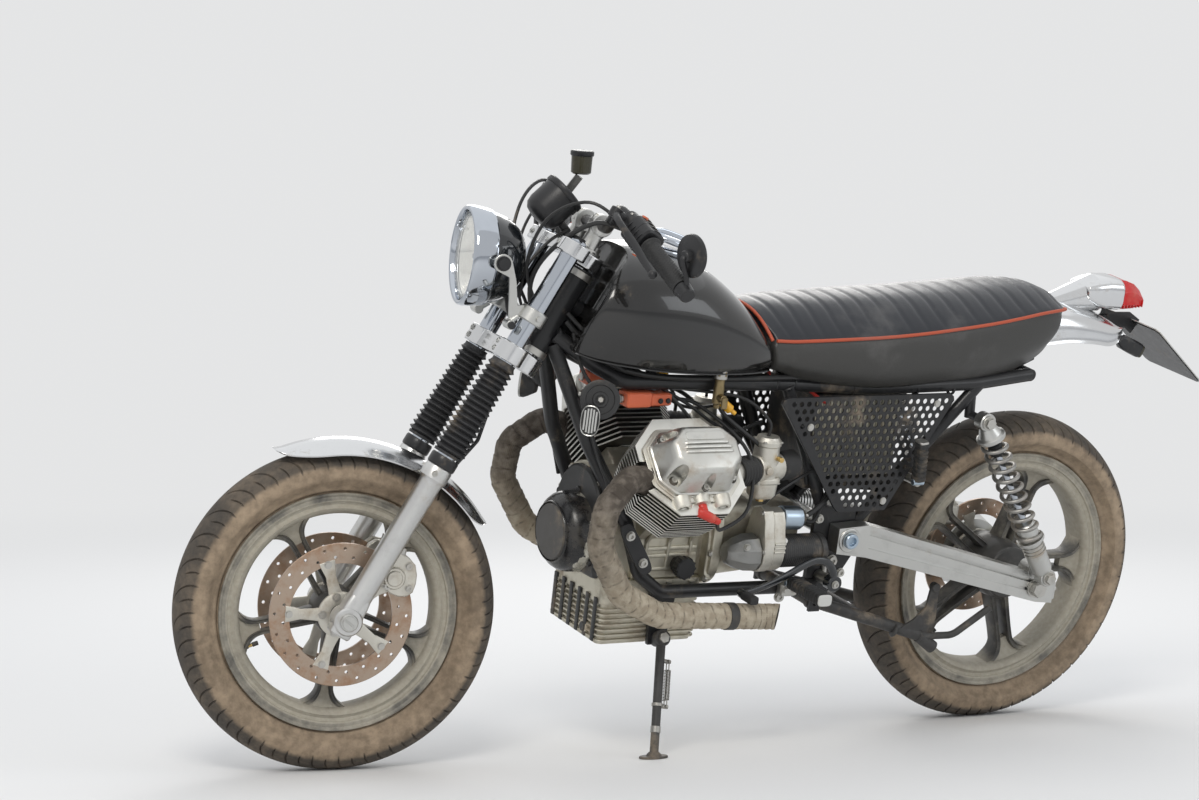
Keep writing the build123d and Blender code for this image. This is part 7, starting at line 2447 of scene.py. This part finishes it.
def make_stage():
    scene = bpy.context.scene
    scene.view_settings.view_transform = "Standard"
    floor = bpy.data.meshes.new("floor")
    floor.from_pydata([(x * FLOOR_REACH, y * FLOOR_REACH, 0) for x, y in ((-1, -1), (1, -1), (1, 1), (-1, 1))], [],
        [(0, 1, 2, 3)])
    ground = bpy.data.objects.new("floor", floor)
    scene.collection.objects.link(ground)
    floor.materials.append(pale_floor())
    world = bpy.data.worlds.new("Studio")
    scene.world = world
    world.use_nodes = True
    world.node_tree.nodes.clear()
    sky = Tree(world.node_tree)
    seen, mirrored, through = (sky.node("ShaderNodeLightPath", output=f"Is {ray} Ray") for ray in ("Camera", "Glossy",
        "Transmission"))
    share = seen.math("MAXIMUM", seen.math("MAXIMUM", seen, mirrored), through)
    pale = sky.node("ShaderNodeBackground", None, {"Color": PALE, "Strength": 1.0})
    lit = sky.node("ShaderNodeBackground", None, {"Color": rgb(0.8, 0.83, 0.88), "Strength": 0.7})
    both = sky.node("ShaderNodeMixShader", None, {0: share, 1: lit, 2: pale})
    sky.add("ShaderNodeOutputWorld", None, {0: both})
    # Lamps: place, aim, size in metres, power, colour
    add_lamp("Key", (3.2, 3.6, 4.2), (0.1, 0, 0.5), (1.8, 1.8), 130, (1.0, 0.965, 0.91))
    add_lamp("Fill", (-3.4, 4.2, 2.2), (-0.2, 0, 0.5), (3.0, 2.0), 35, (0.92, 0.96, 1.0))
    add_lamp("Sky", (-1.0, -3.0, 7.0), (-1.0, -3.0, 0), (15.0, 14.0), 190, (0.94, 0.97, 1.0))
    add_lamp("Back", (-2.2, -4.0, 3.0), (0, 0, 0.6), (2.5, 2.0), 60, (1.0, 0.98, 0.95))


# Add-on

def length(name, description, default, low, high):
    """A length in metres that the user may change."""
    return bpy.props.FloatProperty(name=name, description=description, default=default, min=low, max=high,
        unit="LENGTH")


def colour(name, description, red, green, blue):
    """A colour that the user may change."""
    return bpy.props.FloatVectorProperty(name=name, description=description, subtype="COLOR", size=4,
        default=(red, green, blue, 1.0), min=0.0, max=1.0)


class MotorcycleChoices(bpy.types.PropertyGroup):
    """Sizes and colours that a user may change before the operators run."""

    tread_depth: length("Tread depth", "How deep the tyres' grooves are", 0.0045, 0.0, 0.008)
    hole_radius: length("Panel hole radius", "Radius of the holes of the side panels", 0.0052, 0.002, 0.007)
    hole_pitch: length("Panel hole pitch", "Distance from each hole to the next", 0.0165, 0.012, 0.04)
    tape_pitch: length("Wrap pitch", "How far the heat tape moves on in a turn", 0.0232, 0.015, 0.05)
    spring_wire: length("Shock spring wire", "Radius of the wire of the shocks' springs", 0.0042, 0.002, 0.0045)
    spring_turns: bpy.props.FloatProperty(name="Shock spring turns",
        description="Number of turns of the shocks' springs", default=10.0, min=4.0, max=14.0)
    tank_colour: colour("Tank", "Colour of the fuel tank", 0.007, 0.0065, 0.006)
    seat_colour: colour("Seat", "Colour of the seat's pleated top", 0.014, 0.016, 0.021)
    piping_colour: colour("Piping", "Colour of the seat's piping", 0.44, 0.075, 0.03)
    wrap_colour: colour("Heat wrap", "Colour of the clean heat tape", 0.52, 0.455, 0.35)
    frame_colour: colour("Frame", "Colour of the frame and its brackets", 0.016, 0.016, 0.017)


def chosen():
    """The sizes and colours in use."""
    return bpy.context.scene.motorcycle


class Undoable:
    """What all operators here share."""

    bl_options = {"REGISTER", "UNDO"}


class MOTORCYCLE_OT_finishes(Undoable, bpy.types.Operator):
    """Makes every material of the motorcycle"""

    bl_idname = "motorcycle.finishes"
    bl_label = "Finishes"

    def execute(self, context):
        make_finishes()
        return {"FINISHED"}


class MOTORCYCLE_OT_stage(Undoable, bpy.types.Operator):
    """Makes the camera, the pale floor, the background and the lamps"""

    bl_idname = "motorcycle.stage"
    bl_label = "Studio"

    def execute(self, context):
        make_camera()
        make_stage()
        return {"FINISHED"}


class MOTORCYCLE_OT_wheels(Undoable, bpy.types.Operator):
    """Makes the tyres, the cast wheels and the drilled discs"""

    bl_idname = "motorcycle.wheels"
    bl_label = "Wheels and discs"

    def execute(self, context):
        make_wheels()
        return {"FINISHED"}


class MOTORCYCLE_OT_fork(Undoable, bpy.types.Operator):
    """Makes the fork legs, their gaiters and both yokes"""

    bl_idname = "motorcycle.fork"
    bl_label = "Fork and yokes"

    def execute(self, context):
        make_fork()
        make_front_axle()
        make_fork_screws()
        make_gaiters()
        make_yokes()
        return {"FINISHED"}


class MOTORCYCLE_OT_headlight(Undoable, bpy.types.Operator):
    """Makes the lamp, its ribbed lens and its ears"""

    bl_idname = "motorcycle.headlight"
    bl_label = "Headlight"

    def execute(self, context):
        make_headlight()
        make_lens()
        make_lamp_ears()
        return {"FINISHED"}


class MOTORCYCLE_OT_handlebar(Undoable, bpy.types.Operator):
    """Makes the bar, grips, levers, mirrors and instrument"""

    bl_idname = "motorcycle.handlebar"
    bl_label = "Handlebar and controls"

    def execute(self, context):
        make_bars()
        make_grips()
        make_hand_controls()
        make_mirrors()
        make_instrument()
        return {"FINISHED"}


class MOTORCYCLE_OT_front_fender(Undoable, bpy.types.Operator):
    """Makes the polished fender and its stays"""

    bl_idname = "motorcycle.front_fender"
    bl_label = "Front fender"

    def execute(self, context):
        make_front_fender()
        return {"FINISHED"}


class MOTORCYCLE_OT_front_calipers(Undoable, bpy.types.Operator):
    """Makes both front brake calipers"""

    bl_idname = "motorcycle.front_calipers"
    bl_label = "Front calipers"

    def execute(self, context):
        make_front_calipers()
        return {"FINISHED"}


class MOTORCYCLE_OT_cables(Undoable, bpy.types.Operator):
    """Makes the hoses and cables that turn with the bars"""

    bl_idname = "motorcycle.cables"
    bl_label = "Control cables"

    def execute(self, context):
        make_cables()
        return {"FINISHED"}


class MOTORCYCLE_OT_tank(Undoable, bpy.types.Operator):
    """Makes the tank, the filler's base and the flip-up cap"""

    bl_idname = "motorcycle.tank"
    bl_label = "Fuel tank"

    def execute(self, context):
        make_tank()
        make_cap()
        return {"FINISHED"}


class MOTORCYCLE_OT_seat(Undoable, bpy.types.Operator):
    """Makes the pleated seat as a padded cloth, and its piping"""

    bl_idname = "motorcycle.seat"
    bl_label = "Seat"

    def execute(self, context):
        make_seat()
        return {"FINISHED"}


class MOTORCYCLE_OT_tail(Undoable, bpy.types.Operator):
    """Makes the tail blade, the rear lamp and the blank plate"""

    bl_idname = "motorcycle.tail"
    bl_label = "Tail"

    def execute(self, context):
        make_tail()
        make_tail_lamp()
        make_plate()
        return {"FINISHED"}


class MOTORCYCLE_OT_side_panels(Undoable, bpy.types.Operator):
    """Makes the perforated panels and the filter behind them"""

    bl_idname = "motorcycle.side_panels"
    bl_label = "Side panels"

    def execute(self, context):
        make_side_panels()
        make_panel_rims()
        make_air_filter()
        return {"FINISHED"}


class MOTORCYCLE_OT_cylinders(Undoable, bpy.types.Operator):
    """Makes the finned cylinders, heads and rocker covers"""

    bl_idname = "motorcycle.cylinders"
    bl_label = "Cylinders"

    def execute(self, context):
        make_cylinders()
        make_heads()
        make_plug_leads()
        make_rocker_covers()
        return {"FINISHED"}


class MOTORCYCLE_OT_engine_cases(Undoable, bpy.types.Operator):
    """Makes the crankcase, gearbox, sump and front covers"""

    bl_idname = "motorcycle.engine_cases"
    bl_label = "Engine cases"

    def execute(self, context):
        make_cases()
        make_alternator_cap()
        make_oil_filler()
        return {"FINISHED"}


class MOTORCYCLE_OT_starter(Undoable, bpy.types.Operator):
    """Makes the starter with its solenoid and wires"""

    bl_idname = "motorcycle.starter"
    bl_label = "Starter motor"

    def execute(self, context):
        make_starter()
        make_starter_wires()
        return {"FINISHED"}


class MOTORCYCLE_OT_carburettors(Undoable, bpy.types.Operator):
    """Makes both carburettors, their boots and fuel pipes"""

    bl_idname = "motorcycle.carburettors"
    bl_label = "Carburettors"

    def execute(self, context):
        make_carburettors()
        return {"FINISHED"}


class MOTORCYCLE_OT_exhausts(Undoable, bpy.types.Operator):
    """Makes the pipes wound with heat tape"""

    bl_idname = "motorcycle.exhausts"
    bl_label = "Exhaust pipes"

    def execute(self, context):
        make_exhausts()
        return {"FINISHED"}


class MOTORCYCLE_OT_frame(Undoable, bpy.types.Operator):
    """Finishes the frame tubes and adds brackets, welds and the loom"""

    bl_idname = "motorcycle.frame"
    bl_label = "Frame"

    def execute(self, context):
        make_frame()
        make_loom()
        return {"FINISHED"}


class MOTORCYCLE_OT_swingarm(Undoable, bpy.types.Operator):
    """Makes the swingarm's details, the spindle and both shocks"""

    bl_idname = "motorcycle.swingarm"
    bl_label = "Swingarm and shocks"

    def execute(self, context):
        make_swingarm()
        make_shocks()
        return {"FINISHED"}


class MOTORCYCLE_OT_rear_brake(Undoable, bpy.types.Operator):
    """Makes the rear brake caliper and its hose"""

    bl_idname = "motorcycle.rear_brake"
    bl_label = "Rear caliper"

    def execute(self, context):
        make_rear_caliper()
        return {"FINISHED"}


class MOTORCYCLE_OT_stands(Undoable, bpy.types.Operator):
    """Makes the side stand with its springs, and the centre stand"""

    bl_idname = "motorcycle.stands"
    bl_label = "Stands"

    def execute(self, context):
        make_side_stand()
        make_centre_stand()
        return {"FINISHED"}


class MOTORCYCLE_OT_footrests(Undoable, bpy.types.Operator):
    """Makes the pegs and the foot levers"""

    bl_idname = "motorcycle.footrests"
    bl_label = "Footrests and levers"

    def execute(self, context):
        make_pegs()
        return {"FINISHED"}


class MOTORCYCLE_OT_electrics(Undoable, bpy.types.Operator):
    """Makes the horns, the ignition boxes and the fuel taps"""

    bl_idname = "motorcycle.electrics"
    bl_label = "Horns, coils and taps"

    def execute(self, context):
        make_horns()
        make_electrics()
        return {"FINISHED"}


OPERATORS = (MOTORCYCLE_OT_finishes, MOTORCYCLE_OT_stage, MOTORCYCLE_OT_wheels, MOTORCYCLE_OT_fork,
    MOTORCYCLE_OT_headlight, MOTORCYCLE_OT_handlebar, MOTORCYCLE_OT_front_fender, MOTORCYCLE_OT_front_calipers,
    MOTORCYCLE_OT_cables, MOTORCYCLE_OT_tank, MOTORCYCLE_OT_seat, MOTORCYCLE_OT_tail, MOTORCYCLE_OT_side_panels,
    MOTORCYCLE_OT_cylinders, MOTORCYCLE_OT_engine_cases, MOTORCYCLE_OT_starter, MOTORCYCLE_OT_carburettors,
    MOTORCYCLE_OT_exhausts, MOTORCYCLE_OT_frame, MOTORCYCLE_OT_swingarm, MOTORCYCLE_OT_rear_brake,
    MOTORCYCLE_OT_stands, MOTORCYCLE_OT_footrests, MOTORCYCLE_OT_electrics)


class MOTORCYCLE_PT_panel(bpy.types.Panel):
    """The sidebar's list of the choices and of the pieces, in the order in which they are made."""

    bl_idname = "MOTORCYCLE_PT_panel"
    bl_label = "Motorcycle"
    bl_space_type = "VIEW_3D"
    bl_region_type = "UI"
    bl_category = "Motorcycle"

    def draw(self, context):
        choices = context.scene.motorcycle
        for name in MotorcycleChoices.__annotations__:
            self.layout.prop(choices, name)
        for operator in OPERATORS:
            self.layout.operator(operator.bl_idname)


CLASSES = (MotorcycleChoices, *OPERATORS, MOTORCYCLE_PT_panel)


def register():
    for item in CLASSES:
        bpy.utils.register_class(item)
    bpy.types.Scene.motorcycle = bpy.props.PointerProperty(type=MotorcycleChoices)


def unregister():
    del bpy.types.Scene.motorcycle
    for item in reversed(CLASSES):
        bpy.utils.unregister_class(item)


def main():
    register()
    for operator in OPERATORS:
        group, name = operator.bl_idname.split(".")
        getattr(getattr(bpy.ops, group), name)()


if __name__ == "__main__":
    main()
